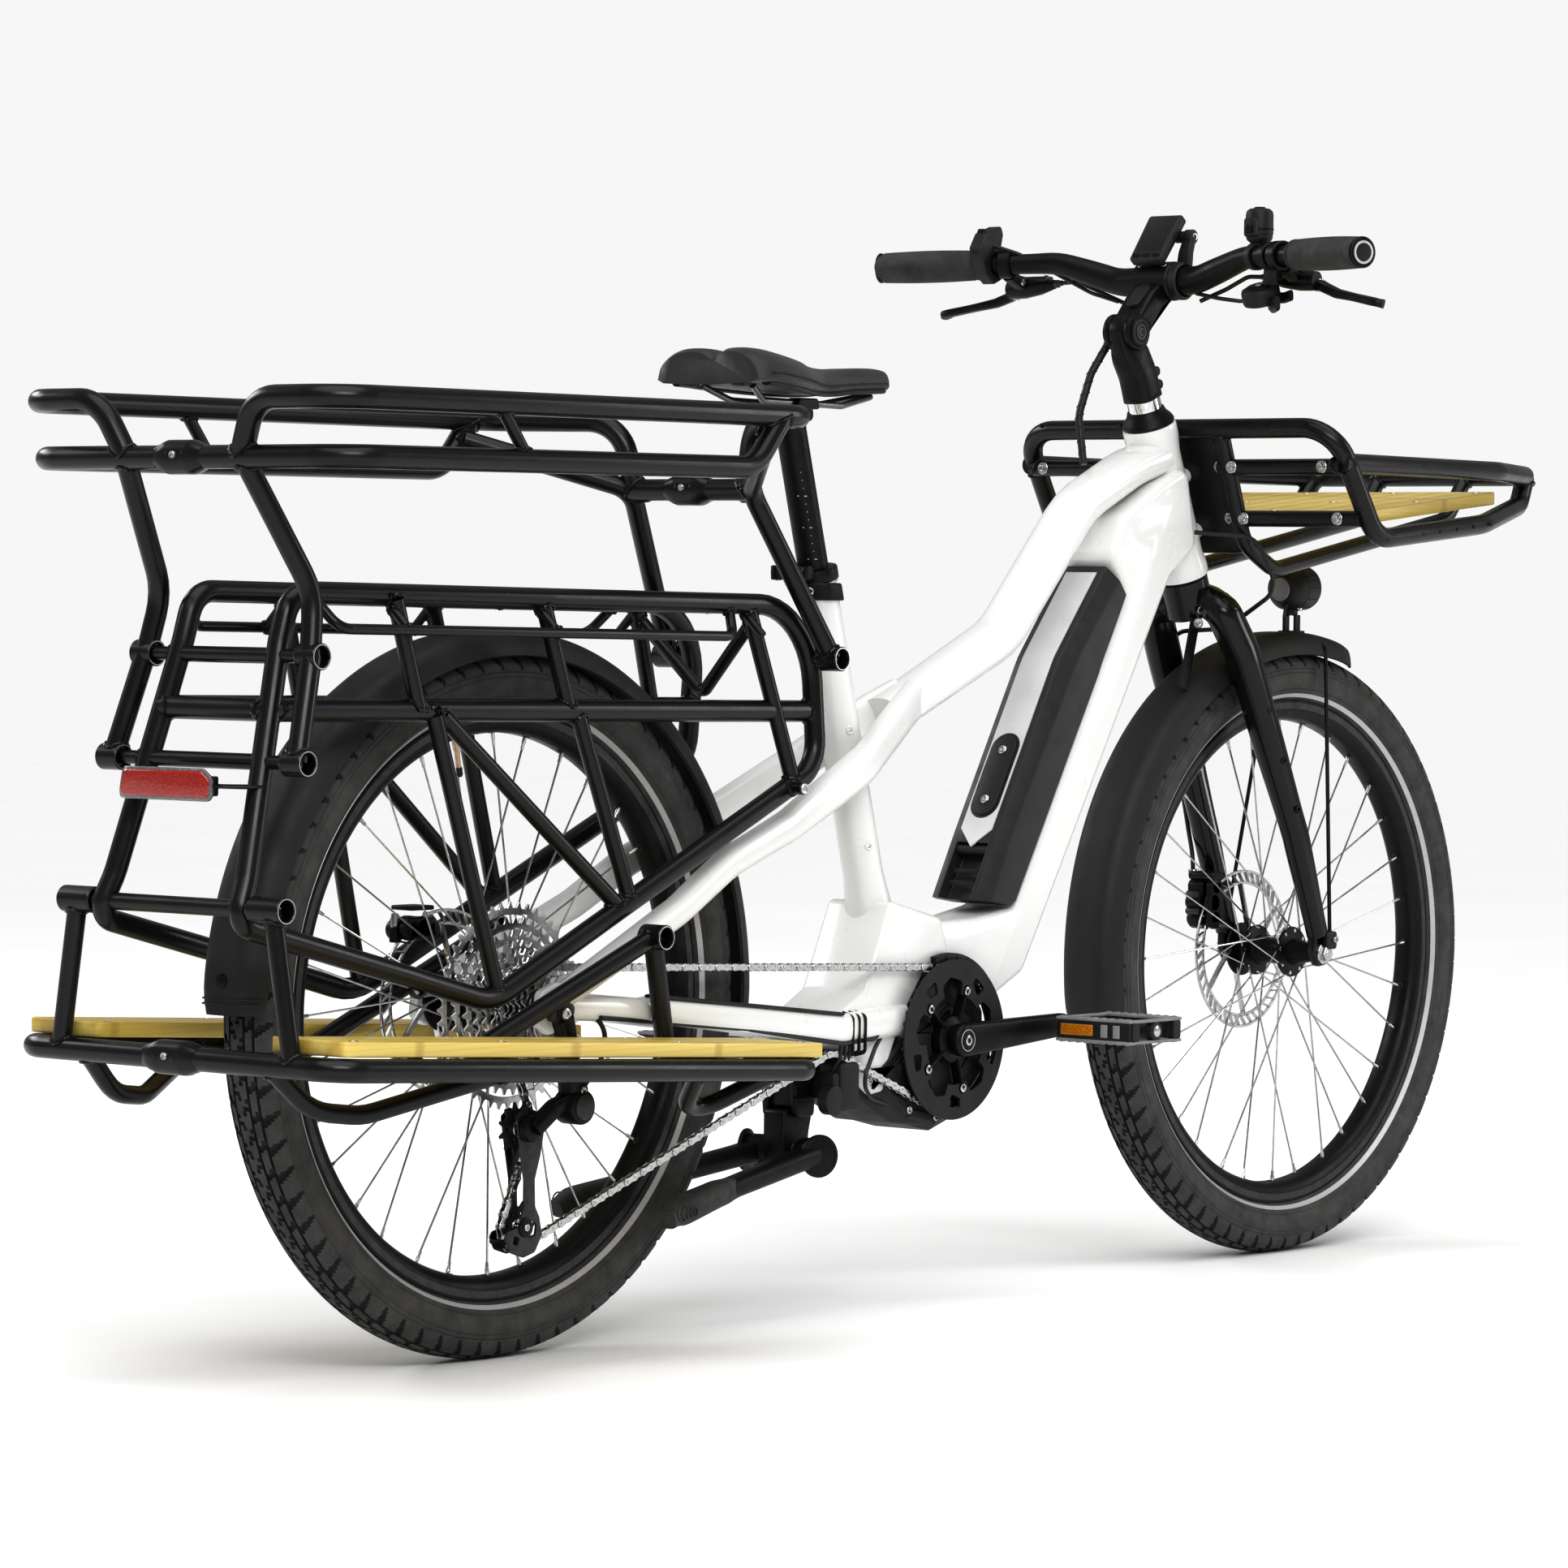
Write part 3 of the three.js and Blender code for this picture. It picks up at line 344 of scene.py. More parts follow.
def bolt(centre, axis, radius, height, sides=24):
    """A screw head with a hexagonal socket."""
    axis = Vector(axis).normalized()
    u = axis.orthogonal().normalized()
    v = axis.cross(u)
    centre = Vector(centre)

    def at(r, h, six=0):
        points = []
        for a, b in circle(1, sides):
            turn = math.atan2(b, a) % (TAU / 6) - TAU / 12
            reach = r * (math.cos(TAU / 12) / math.cos(turn) if six else 1)
            points.append(centre + axis * h + (u * a + v * b) * reach)
        return points

    h = height
    rings = [at(radius, 0), at(radius, 0.75 * h), at(0.86 * radius, h), at(0.62 * radius, h, 1)]
    rings += [at(0.55 * radius, 0.96 * h, 1), at(0.55 * radius, 0.35 * h, 1), at(0.02 * radius, 0.3 * h)]
    return loft(rings)


def rounded(outline, radius, steps=5):
    """An outline with its corners rounded; radius is one number or one for each corner."""
    n = len(outline)
    radii = radius if isinstance(radius, (list, tuple)) else [radius] * n
    points = []
    for i in range(n):
        a, b, c = (Vector((*outline[(i + k) % n], 0)) for k in (-1, 0, 1))
        stations = corner(a, b, c, radii[i], 90 / steps)
        points += [(p.x, p.y) for p, _ in stations]
    return points


def inset(outline, by):
    """The outline moved inwards; it may run either way round."""
    n = len(outline)
    area = sum(outline[i - 1][0] * outline[i][1] - outline[i][0] * outline[i - 1][1] for i in range(n))
    way = 1 if area > 0 else -1
    points = []
    for i in range(n):
        a, b, c = (Vector(outline[(i + k) % n]) for k in (-1, 0, 1))
        u, v = (b - a), (c - b)
        if u.length < 1e-6 or v.length < 1e-6:
            points.append(tuple(b))
            continue
        u, v = u.normalized(), v.normalized()
        inwards = Vector((-u.y - v.y, u.x + v.x)) * way
        spread = max(0.4, 1 + u.dot(v))
        points.append(tuple(b + inwards * (by / spread)))
    return points


def on_side(a, b, n):
    """The placer for outlines in the side view, with their thickness across the bicycle."""
    return Vector((a, n, b))


def slab(outline, low, high, soft=1.0, place=on_side, steps=4):
    """An outline given thickness, with its edges rounded over; place puts (a, b, thickness)."""
    soft = min(soft, (high - low) / 2.01)
    levels = []
    for k in range(steps):
        turn = TAU / 4 * k / (steps - 1)
        levels.append((inset(outline, soft * (1 - math.sin(turn))), soft * (1 - math.cos(turn))))
    rings = [[place(a, b, low + rise) for a, b in edge] for edge, rise in levels]
    rings += [[place(a, b, high - rise) for a, b in edge] for edge, rise in reversed(levels)]
    return loft(rings)


def block(x0, x1, y0, y1, z0, z1, round_by=3, soft=1.0):
    """A box, rounded in the side view and softened at its two faces."""
    outline = rounded([(x0, z0), (x1, z0), (x1, z1), (x0, z1)], round_by)
    return slab(outline, y0, y1, soft)


def holed(outer, inner, low, high, soft=0.5, place=on_side):
    """A plate between two outlines with equally many points."""
    rings = [
        [place(a, b, low + soft) for a, b in outer],
        [place(a, b, low) for a, b in inset(outer, soft)],
        [place(a, b, low) for a, b in inset(inner, -soft)],
        [place(a, b, low + soft) for a, b in inner],
        [place(a, b, high - soft) for a, b in inner],
        [place(a, b, high) for a, b in inset(inner, -soft)],
        [place(a, b, high) for a, b in inset(outer, soft)],
        [place(a, b, high - soft) for a, b in outer],
    ]
    return loft(rings, closed=True)


# ---------------------------------------------------------------- welded tube work
BEAD = 2.3
BEAD_STEPS, RIPPLE, RIPPLE_STEPS = 48, 0.16, 3.2


def weld(end, heading, radius, post, along, post_radius, bead=BEAD):
    """The rippled bead on the curve where a tube runs into the side of another."""
    u = heading.orthogonal().normalized()
    v = heading.cross(u)
    flat = heading - along * heading.dot(along)
    if flat.length < 0.25:
        return None
    rings = []
    for k, (across, up) in enumerate(circle(1, BEAD_STEPS)):
        spoke = u * across + v * up
        start = end + spoke * radius - post
        start -= along * start.dot(along)
        b = start.dot(flat) / flat.length_squared
        c = (start.length_squared - post_radius**2) / flat.length_squared
        reach = -b + math.sqrt(max(0.0, b * b - c))
        centre = end + spoke * radius + heading * reach
        size = bead * (1 + RIPPLE * math.cos(TAU * k / RIPPLE_STEPS))
        rings.append([centre + spoke * (size * a) + heading * (size * h) for a, h in circle(1, 8)])
    return loft(rings, closed=True)


def segments(points):
    """The straight runs of a tube's line."""
    p = [Vector(q) for q in points]
    return list(zip(p, p[1:]))


def beads(tubes, others=()):
    """A bead at every end of a tube that runs into another tube; rows are (points, radius)."""
    made = []
    for points, radius, *_ in tubes:
        p = [Vector(q) for q in points]
        for end, nxt in ((p[0], p[1]), (p[-1], p[-2])):
            heading = (nxt - end).normalized()
            best = None
            for row in [*tubes, *others]:
                if row[0] is points or row[1] < 0.55 * radius:
                    continue
                for a, b in segments(row[0]):
                    along = (b - a).normalized()
                    t = (end - a).dot(along)
                    gap = (end - a - along * t).length
                    if -row[1] < t < (b - a).length + row[1] and gap < row[1] * 0.9:
                        if best is None or gap < best[0]:
                            best = (gap, a, along, row[1])
            if best:
                bead = weld(end, heading, radius, best[1], best[2], best[3])
                if bead:
                    made.append(bead)
    return made


def tube_work(shape, tubes, others=(), sides=20):
    """Tubes, rows of (points, radius, bend), and the beads that join them."""
    for points, radius, *bend in tubes:
        shape.add(pipe(points, radius, bend[0] if bend else 0, sides))
    for bead in beads(tubes, others):
        shape.add(bead)
    return shape


def socket(shape, start, end, outer, inner, kind=0, rim=1):
    """An open tube end whose rims are bare metal."""
    start, end = Vector(start), Vector(end)
    long = (end - start).length
    axis = (end - start).normalized()
    wall = [(inner, 0.6), (inner + 0.8, 0), (outer - 0.8, 0), (outer, 0.8), (outer, long - 0.8)]
    wall += [(outer - 0.8, long), (inner + 0.8, long), (inner, long - 0.6)]
    shape.add(turned(wall, start, axis, 28, closed=True), kind)
    for h in (-0.15, long + 0.15):
        face = band(inner + 0.9, outer - 0.9, h - 0.1, h + 0.1)
        shape.add(turned(face, start, axis, 28, closed=True), rim)


# ---------------------------------------------------------------- materials
class Nodes:
    """A material's nodes, with short calls for the patterns that the finishes share."""

    def __init__(self, name):
        self.material = bpy.data.materials.new(name)
        self.material.use_nodes = True
        self.tree = self.material.node_tree
        self.shader = self.tree.nodes["Principled BSDF"]
        self.place = self.tree.nodes.new("ShaderNodeTexCoord").outputs["Object"]

    def node(self, kind, **sockets):
        made = self.tree.nodes.new("ShaderNode" + kind)
        for name, value in sockets.items():
            self.put(made.inputs[name.replace("_", " ")], value)
        return made

    def put(self, socket, value):
        if isinstance(value, bpy.types.NodeSocket):
            self.tree.links.new(value, socket)
        else:
            socket.default_value = value

    def stretched(self, by):
        made = self.node("Mapping", Vector=self.place)
        made.inputs["Scale"].default_value = by
        return made.outputs["Vector"]

    def noise(self, scale, detail=3.0, stretch=None, rough=0.5):
        where = self.stretched(stretch) if stretch else self.place
        made = self.node("TexNoise", Vector=where, Scale=scale, Detail=detail, Roughness=rough)
        return made.outputs["Fac"]

    def cells(self, scale, feature="F1"):
        made = self.node("TexVoronoi", Vector=self.place, Scale=scale)
        made.feature = feature
        return made.outputs["Distance"]

    def between(self, value, low, high, from_low=0.3, from_high=0.7):
        """A value that runs from one range to another, held at the ends."""
        ends = {"From_Min": from_low, "From_Max": from_high, "To_Min": low, "To_Max": high}
        return self.node("MapRange", Value=value, **ends).outputs["Result"]

    def mix(self, share, a, b, kind="MIX"):
        made = self.tree.nodes.new("ShaderNodeMix")
        made.data_type = "RGBA"
        made.blend_type = kind
        self.put(made.inputs[0], share)
        self.put(made.inputs[6], a)
        self.put(made.inputs[7], b)
        return made.outputs[2]

    def math(self, kind, a, b=0.0):
        made = self.tree.nodes.new("ShaderNodeMath")
        made.operation = kind
        self.put(made.inputs[0], a)
        self.put(made.inputs[1], b)
        return made.outputs[0]

    def bumps(self, *layers):
        """Layers are (height, strength, distance in millimetres)."""
        normal = None
        for height, strength, deep in layers:
            made = self.node("Bump", Height=height, Strength=strength, Distance=deep * MM)
            if normal:
                self.put(made.inputs["Normal"], normal)
            normal = made.outputs["Normal"]
        self.put(self.shader.inputs["Normal"], normal)

    def finish(self, colour, roughness, **fixed):
        self.put(self.shader.inputs["Base Color"], colour)
        self.put(self.shader.inputs["Roughness"], roughness)
        for name, value in fixed.items():
            self.shader.inputs[name.replace("_", " ")].default_value = value
        return self.material


def grey(level, warm=0.0):
    return (level * (1 + warm), level, level * (1 - warm), 1)


def white_paint():
    n = Nodes("white_gloss_paint")
    tint = n.mix(n.between(n.noise(7), 0, 1), (0.80, 0.805, 0.79, 1), (0.785, 0.79, 0.775, 1))
    n.bumps((n.noise(900, 1), 0.05, 0.05))
    rough = n.between(n.noise(35), 0.27, 0.31)
    return n.finish(tint, rough, Coat_Weight=0.5, Coat_Roughness=0.08)


def satin_coat(name, level, low, high):
    n = Nodes(name)
    tint = n.mix(n.between(n.noise(18), 0, 1), grey(level), grey(level * 1.2))
    n.bumps((n.noise(1500, 2), 0.16, 0.08))
    rough = n.between(n.noise(26, 4), low, high)
    return n.finish(tint, rough, Coat_Weight=0.12, Coat_Roughness=0.22, Specular_IOR_Level=0.4)


def anodised(name, level, low, high, metal=0.85):
    n = Nodes(name)
    scratch = n.noise(120, 4, stretch=(1, 14, 1))
    tint = n.mix(n.between(scratch, 0, 1), grey(level), grey(level * 1.5))
    n.bumps((n.noise(2200, 2), 0.12, 0.05))
    return n.finish(tint, n.between(n.noise(40, 4), low, high), Metallic=metal)


def moulded(name, level, low, high, grain=1100):
    n = Nodes(name)
    tint = n.mix(n.between(n.noise(30), 0, 1), grey(level), grey(level * 1.35))
    n.bumps((n.cells(grain), 0.22, 0.12), (n.noise(90), 0.08, 0.3))
    return n.finish(tint, n.between(n.noise(60, 4), low, high))


def rubber(name, level, ribs=0.0):
    n = Nodes(name)
    dust = n.between(n.noise(45, 6, rough=0.65), 0, 1, 0.35, 0.8)
    tint = n.mix(dust, grey(level), grey(level * 2.0, 0.04))
    fine = n.node("TexChecker", Vector=n.place, Scale=700.0).outputs["Fac"] if ribs else n.noise(1400, 2)
    n.bumps((fine, 0.25, 0.25), (n.noise(220, 3), 0.15, 0.4))
    return n.finish(tint, n.between(n.noise(80, 4), 0.62, 0.82))


def bright_metal(name, level, low, high, warm=0.0, stretch=(1, 1, 1)):
    n = Nodes(name)
    brushed = n.noise(260, 5, stretch=stretch)
    tint = n.mix(n.between(brushed, 0, 1), grey(level, warm), grey(level * 0.72, warm))
    n.bumps((brushed, 0.1, 0.05))
    return n.finish(tint, n.between(n.noise(50, 4), low, high), Metallic=1.0)


def bamboo():
    n = Nodes("bamboo")
    long_grain = n.noise(95, 5, stretch=(0.06, 1, 1), rough=0.6)
    strip = n.node("TexWave", Vector=n.place, Scale=8.2, Distortion=0.4, Detail=1.0, Detail_Scale=0.6)
    strip.bands_direction = "Y"
    knuckle = n.node("TexWave", Vector=n.stretched((1, 0.7, 0.3)), Scale=1.35, Distortion=9.0, Detail=0.0)
    knuckle.bands_direction = "X"
    base = n.mix(n.between(long_grain, 0, 1), (0.68, 0.52, 0.13, 1), (0.53, 0.38, 0.08, 1))
    tone = n.between(strip.outputs["Fac"], 0, 0.55, 0.1, 0.9)
    base = n.mix(tone, base, (0.74, 0.61, 0.22, 1))
    node_line = n.between(knuckle.outputs["Fac"], 0, 0.5, 0.985, 1.0)
    base = n.mix(node_line, base, (0.36, 0.22, 0.05, 1))
    layers = n.node("TexWave", Vector=n.place, Scale=55.0, Distortion=0.0, Detail=0.0)
    layers.bands_direction = "Z"
    base = n.mix(n.between(layers.outputs["Fac"], 0, 0.16, 0.75, 0.95), base, (0.42, 0.27, 0.06, 1))
    n.bumps((long_grain, 0.15, 0.15))
    return n.finish(base, n.between(long_grain, 0.36, 0.5), Coat_Weight=0.25, Coat_Roughness=0.2)


def saddle_skin():
    n = Nodes("saddle_skin")
    grain = n.cells(900)
    tint = n.mix(n.between(n.noise(25), 0, 1), grey(0.018), grey(0.034))
    n.bumps((grain, 0.35, 0.2), (n.noise(180, 4), 0.2, 0.4))
    return n.finish(tint, n.between(n.noise(120, 3), 0.42, 0.58), Sheen_Weight=0.12)


def lens(name, colour, through, cell=420):
    n = Nodes(name)
    prisms = n.cells(cell)
    tint = n.mix(n.between(prisms, 0, 1, 0.0, 0.6), colour, tuple(0.55 * c for c in colour[:3]) + (1,))
    n.bumps((prisms, 0.5, 0.5))
    return n.finish(tint, n.between(n.noise(40), 0.08, 0.16), Transmission_Weight=through, IOR=1.49,
                    Coat_Weight=1.0, Coat_Roughness=0.03)


def dark_glass():
    n = Nodes("display_glass")
    tint = n.mix(n.between(n.noise(20), 0, 1), grey(0.006), grey(0.012))
    return n.finish(tint, n.between(n.noise(70, 4), 0.06, 0.14), Coat_Weight=1.0, Coat_Roughness=0.02)


def reflective():
    n = Nodes("reflective_band")
    beads_of_glass = n.cells(1500)
    tint = n.mix(n.between(beads_of_glass, 0, 1, 0.1, 0.6), grey(0.72), grey(0.5))
    n.bumps((beads_of_glass, 0.2, 0.08))
    return n.finish(tint, n.between(n.noise(50), 0.3, 0.45), Metallic=0.3)


WHITE = white_paint()
COAT = satin_coat("black_satin_coat", 0.006, 0.24, 0.34)
FORK_COAT = satin_coat("black_gloss_coat", 0.005, 0.12, 0.2)
BARE_RIM = bright_metal("machined_rim", 0.66, 0.22, 0.34)
ALLOY = anodised("black_alloy", 0.021, 0.34, 0.46)
DARK_ALLOY = anodised("dark_grey_alloy", 0.055, 0.36, 0.48, 0.7)
PLASTIC = moulded("black_plastic", 0.011, 0.46, 0.6)
SOFT_PLASTIC = moulded("fender_plastic", 0.017, 0.5, 0.62, 800)
GREY_PLASTIC = moulded("grey_plastic", 0.22, 0.5, 0.62)
BATTERY = moulded("battery_shell", 0.022, 0.4, 0.52, 1400)
STRIP = satin_coat("silver_strip", 0.55, 0.36, 0.4)
TYRE = rubber("tyre_rubber", 0.045)
GROOVE_SHADE = rubber("tread_groove_shade", 0.008)
# Painted shade: a much darker copy of the tyre rubber, put on the tread grooves to stand in for the shade
# inside them.
GRIP = rubber("grip_rubber", 0.035, 1.0)
SILVER = bright_metal("silver_alloy", 0.66, 0.24, 0.36)
STEEL = bright_metal("polished_steel", 0.62, 0.16, 0.3)
DARK_STEEL = bright_metal("dark_steel", 0.2, 0.25, 0.4)
BRASS = bright_metal("brass", 0.5, 0.25, 0.38, 0.3)
CHROME = bright_metal("chrome", 0.78, 0.06, 0.12)
BAMBOO = bamboo()
SKIN = saddle_skin()
RED = lens("red_lens", (0.70, 0.035, 0.02, 1), 0.25)
CLEAR = lens("clear_lens", (0.86, 0.87, 0.87, 1), 0.75, 260)
AMBER = lens("amber_reflector", (0.92, 0.34, 0.01, 1), 0.15, 520)
GLASS = dark_glass()
REFLECT = reflective()
CABLE = moulded("cable_sheath", 0.014, 0.34, 0.46, 1600)


# ---------------------------------------------------------------- white frame
TOP_TUBE = [(1068, 0, 894), (1018, 0, 880), (927, 0, 838), (795, 0, 697), (600, 0, 612)]
SEAT_STAY = [(640, 10, 632), (604, 21, 615), (516, 44, 566), (378, 58, 506), (276, 64, 471),
             (197, 70, 428), (60, 81, 372), (6, 81, 347)]
CHAIN_STAY = [(590, 36, 300), (470, 50, 296), (150, 79, 332), (6, 80, 341)]
DOWN_TUBE = [(1086, 886), (1035, 864), (972, 828), (948, 786), (974, 739), (883, 580), (785, 411),
             (722, 400), (620, 398), (598, 350), (690, 352), (742, 312), (800, 340),
             (1058, 764), (1104, 796)]
YOKE = [(566, 424), (524, 332), (476, 306), (440, 301), (440, 283), (496, 272), (504, 240), (530, 222),
        (558, 226), (568, 262), (588, 302), (626, 352), (668, 356), (650, 404)]
BOSS_HEIGHTS = (860, 800)


def head_tube():
    long = (HEAD_TOP - HEAD_LOW).length
    profile = [(20, 0), (28.5, 0), (29.5, 3), (29.5, 12), (27.5, 26), (27.5, long - 34)]
    profile += [(30, long - 14), (30, long - 3), (29, long), (20, long)]
    return turned(profile, HEAD_LOW, STEER_AXIS, 48)


def seat_stay(s):
    shape = [(0, (11, 21)), (0.2, (12, 20)), (0.55, (12, 15.5)), (1, (11, 12.5))]
    section = tapered(shape, 28, 3.0)
    return swept(side(SEAT_STAY, s), section, 90, Z, 16)


def chain_stay(s):
    shape = [(0, (12, 17)), (0.3, (10, 15)), (1, (10.5, 11.5))]
    section = tapered(shape, 24, 2.8)
    return swept(side(CHAIN_STAY, s), section, 60, Z, 16)


def dropout(s):
    corners = [(-22, 326), (-6, 316), (20, 322), (44, 330), (44, 344), (30, 362), (4, 366), (-18, 358)]
    return slab(rounded(corners, 8), *span(s, 75.5, 86), 2)


def seat_tube():
    bulge = [(0, 22.5), (0.05, 21.2), (0.1, 21), (0.85, 21), (1, 25)]
    return pipe([seat_at(746), seat_at(405)], bulge, sides=40)


def side_screws(shape):
    """Screws on the top tube's upper face, and the threaded eyes up the back of the seat tube."""
    for x in (868, 900):
        z = 697 + (x - 795) * 1.07 + 9
        facing = Vector((-0.45, -0.62, 0.64)).normalized()
        spot = Vector((x, -17, z + 9))
        shape.add(ring(spot, 6.2, 3.4, -1.5, 0.8, facing), 1)
        shape.add(bolt(spot, facing, 4.0, 1.6), 1)
    for z in (600, 480, 430, 405):
        spot = seat_at(z) + Vector((-7, -19.5, 0))
        shape.add(ring(spot, 4.6, 2.2, -1, 1.4, (-0.35, -0.93, 0)), 0)
        shape.add(disc(spot, 2.3, -1, 0.2, (-0.35, -0.93, 0)), 1)
    for z in (560, 525):
        spot = seat_at(z) + Vector((20.5, -4, 0))
        shape.add(disc(spot, 3.4, -1, 1.6, X), 2)


def main_frame():
    shape = Shape(WHITE, DARK_STEEL, PLASTIC, ALLOY)
    wide = [(0, (28, 20)), (0.3, (27, 21)), (0.6, (25, 23)), (1, (23, 22))]
    shape.add(head_tube())
    shape.add(swept(TOP_TUBE, tapered(wide, 36, 2.6), 110, Z, 14))
    shape.add(seat_tube())
    shape.add(slab(rounded(DOWN_TUBE, 14), -37, 37, 9))
    shape.add(slab(rounded(YOKE, 9), -43, 43, 6))
    for s in (RIGHT, LEFT):
        shape.add(seat_stay(s))
        shape.add(chain_stay(s))
        shape.add(dropout(s))
    shape.add(block(438, 500, -48, 48, 286, 300, 5, 3))
    for z in BOSS_HEIGHTS:
        root = steer_at(z)
        tip = root + Vector((46, 0, 18))
        shape.add(pipe([root, tip], [(0, 13), (0.55, 12), (0.75, 9), (1, 9)], sides=28))
    side_screws(shape)
    eye = Vector((1093, -26, 814))
    shape.add(ring(eye, 7.5, 3, -3, 3.5, (0.35, -0.9, -0.15)), 2)
    protector = side([(470, 50, 312), (150, 79, 346)], RIGHT)
    shape.add(swept(protector, oval(9.5, 2.2, 20), 0, Z, 30), 2)
    return shape.piece("main_frame", "frame")


def cable_guides():
    """The chain guide held under the right chain stay, with its ties, and the stay's cable."""
    shape = Shape(PLASTIC, CABLE)
    for x in (486, 496, 506):
        loop = [(x, -44, 312), (x, -58, 308), (x, -58, 272), (x, -44, 268)]
        shape.add(swept(loop, oval(2.2, 0.8, 10), 4, X))
    shape.add(block(470, 500, -57, -42, 212, 262, 6, 3))
    shape.add(turned([(9, -57), (15, -56), (15, -44), (9, -43)], (462, 0, 224), Y, 24))
    gear_cable = [(560, -41, 300), (530, -52, 284), (470, -58, 282), (300, -72, 306), (60, -92, 330)]
    shape.add(pipe(gear_cable, 2.4, 30, 10), 1)
    motor_lead = [(560, -41, 292), (532, -50, 274), (505, -56, 240), (530, -47, 222), (560, -43, 214)]
    shape.add(pipe(motor_lead, 2.2, 16, 10), 1)
    return shape.piece("chain_guide", "frame", stands_for_node=False)


# ---------------------------------------------------------------- seat
def seat_collar():
    shape = Shape(ALLOY, REFLECT, STEEL)
    low = seat_at(733)
    octagon = circle(27.8, 8, 0.5)
    lift = lambda z: (seat_at(z) - low).length
    place = lambda a, b, n: low + X * a + Y * b + SEAT_AXIS * n
    shape.add(slab(rounded(octagon, 5), 0, lift(751), 2.2, place))
    shape.add(disc(low, 23, lift(750), lift(753), SEAT_AXIS), 1)
    shape.add(disc(low, 24.6, lift(753), lift(766), SEAT_AXIS, 1.5, 40))
    shape.add(block(low.x - 42, low.x - 18, -4.5, 4.5, 754, 768, 4, 1.2))
    shape.add(pipe([(458, -16, 761), (458, 20, 761)], 3.1, sides=16), 2)
    shape.add(disc((458, 0, 761), 7.5, -17, -10.5, Y, 1.5))
    shape.add(bolt((low.x - 26, -8, 742), (-0.6, -0.8, 0), 5, 5), 2)
    return shape.piece("seat_collar", "frame")


def clamp_lever():
    shape = Shape(ALLOY, STEEL)
    path = [(458, 27, 761), (476, 38, 762), (506, 31, 764), (519, 9, 767)]
    section = tapered([(0, (6.5, 6)), (0.4, (3.4, 5.4)), (1, (2.6, 6.4))], 20, 2.4)
    shape.add(swept(path, section, 14, Z, 5))
    shape.add(disc((458, 26, 761), 7, -7.5, 7.5, Z, 1.5))
    shape.add(disc((458, 26, 761), 3, -8.3, 8.3, Z), 1)
    return shape.piece("seat_clamp_lever", "seat_lever")


def seatpost():
    shape = Shape(ALLOY, REFLECT, STEEL)
    shape.add(pipe([seat_at(575), seat_at(922)], 15.8, sides=40))
    for k in range(12):
        spot = seat_at(775 + 8 * k)
        reach = 5 if k % 4 == 0 else 3
        mark = [(-reach, -0.5), (reach, -0.5), (reach, 0.5), (-reach, 0.5)]
        facing = Vector((-0.75, -0.66, 0))
        across = Vector((0.66, -0.75, 0))
        put = lambda a, b, n: spot + facing * (15.75 + n) + across * a + SEAT_AXIS * b
        shape.add(slab(mark, -0.4, 0.12, 0.05, put), 1)
    shape.add(pipe([seat_at(905), (437, 0, 926)], [(0, 16), (0.5, 18.5), (1, 15)], sides=32))
    shape.add(block(418, 461, -18, 18, 915, 930, 6, 3))
    for s in (RIGHT, LEFT):
        cradle = rounded([(420, 927), (458, 927), (454, 938), (424, 938)], 3)
        shape.add(slab(cradle, *span(s, 13, 29), 2))
    for x in (424, 454):
        shape.add(disc((x, 0, 921), 7.5, -10, 10, Y, 1.5))
        shape.add(bolt((x, -10, 921), (0, -1, 0), 4.2, 4), 2)
    return shape.piece("seatpost", "seat")


RAILS = [(345, -33, 948), (375, -21, 934), (500, -21, 932), (566, -8, 944), (566, 8, 944), (500, 21, 932),
         (375, 21, 934), (345, 33, 948)]


def saddle_rails():
    shape = Shape(DARK_STEEL)
    shape.add(pipe(RAILS, 3.5, 16, 16))
    return shape.piece("saddle_rails", "seat")


# Along the saddle: x, half width, middle height, how far the sides drop, the dip along the middle.
SADDLE = [(588, 8, 968, 10, 0), (583, 17, 971, 16, 0), (560, 21, 973, 20, 0.5), (520, 23, 972, 21, 1.5),
          (490, 27, 970, 22, 2.5), (460, 36, 970, 23, 3.5), (430, 50, 973, 25, 4.5), (400, 64, 977, 27, 5.5),
          (370, 73, 981, 29, 6), (345, 76, 984, 30, 6.5), (325, 74, 984, 30, 7.5), (314, 66, 980, 27, 8.5)]


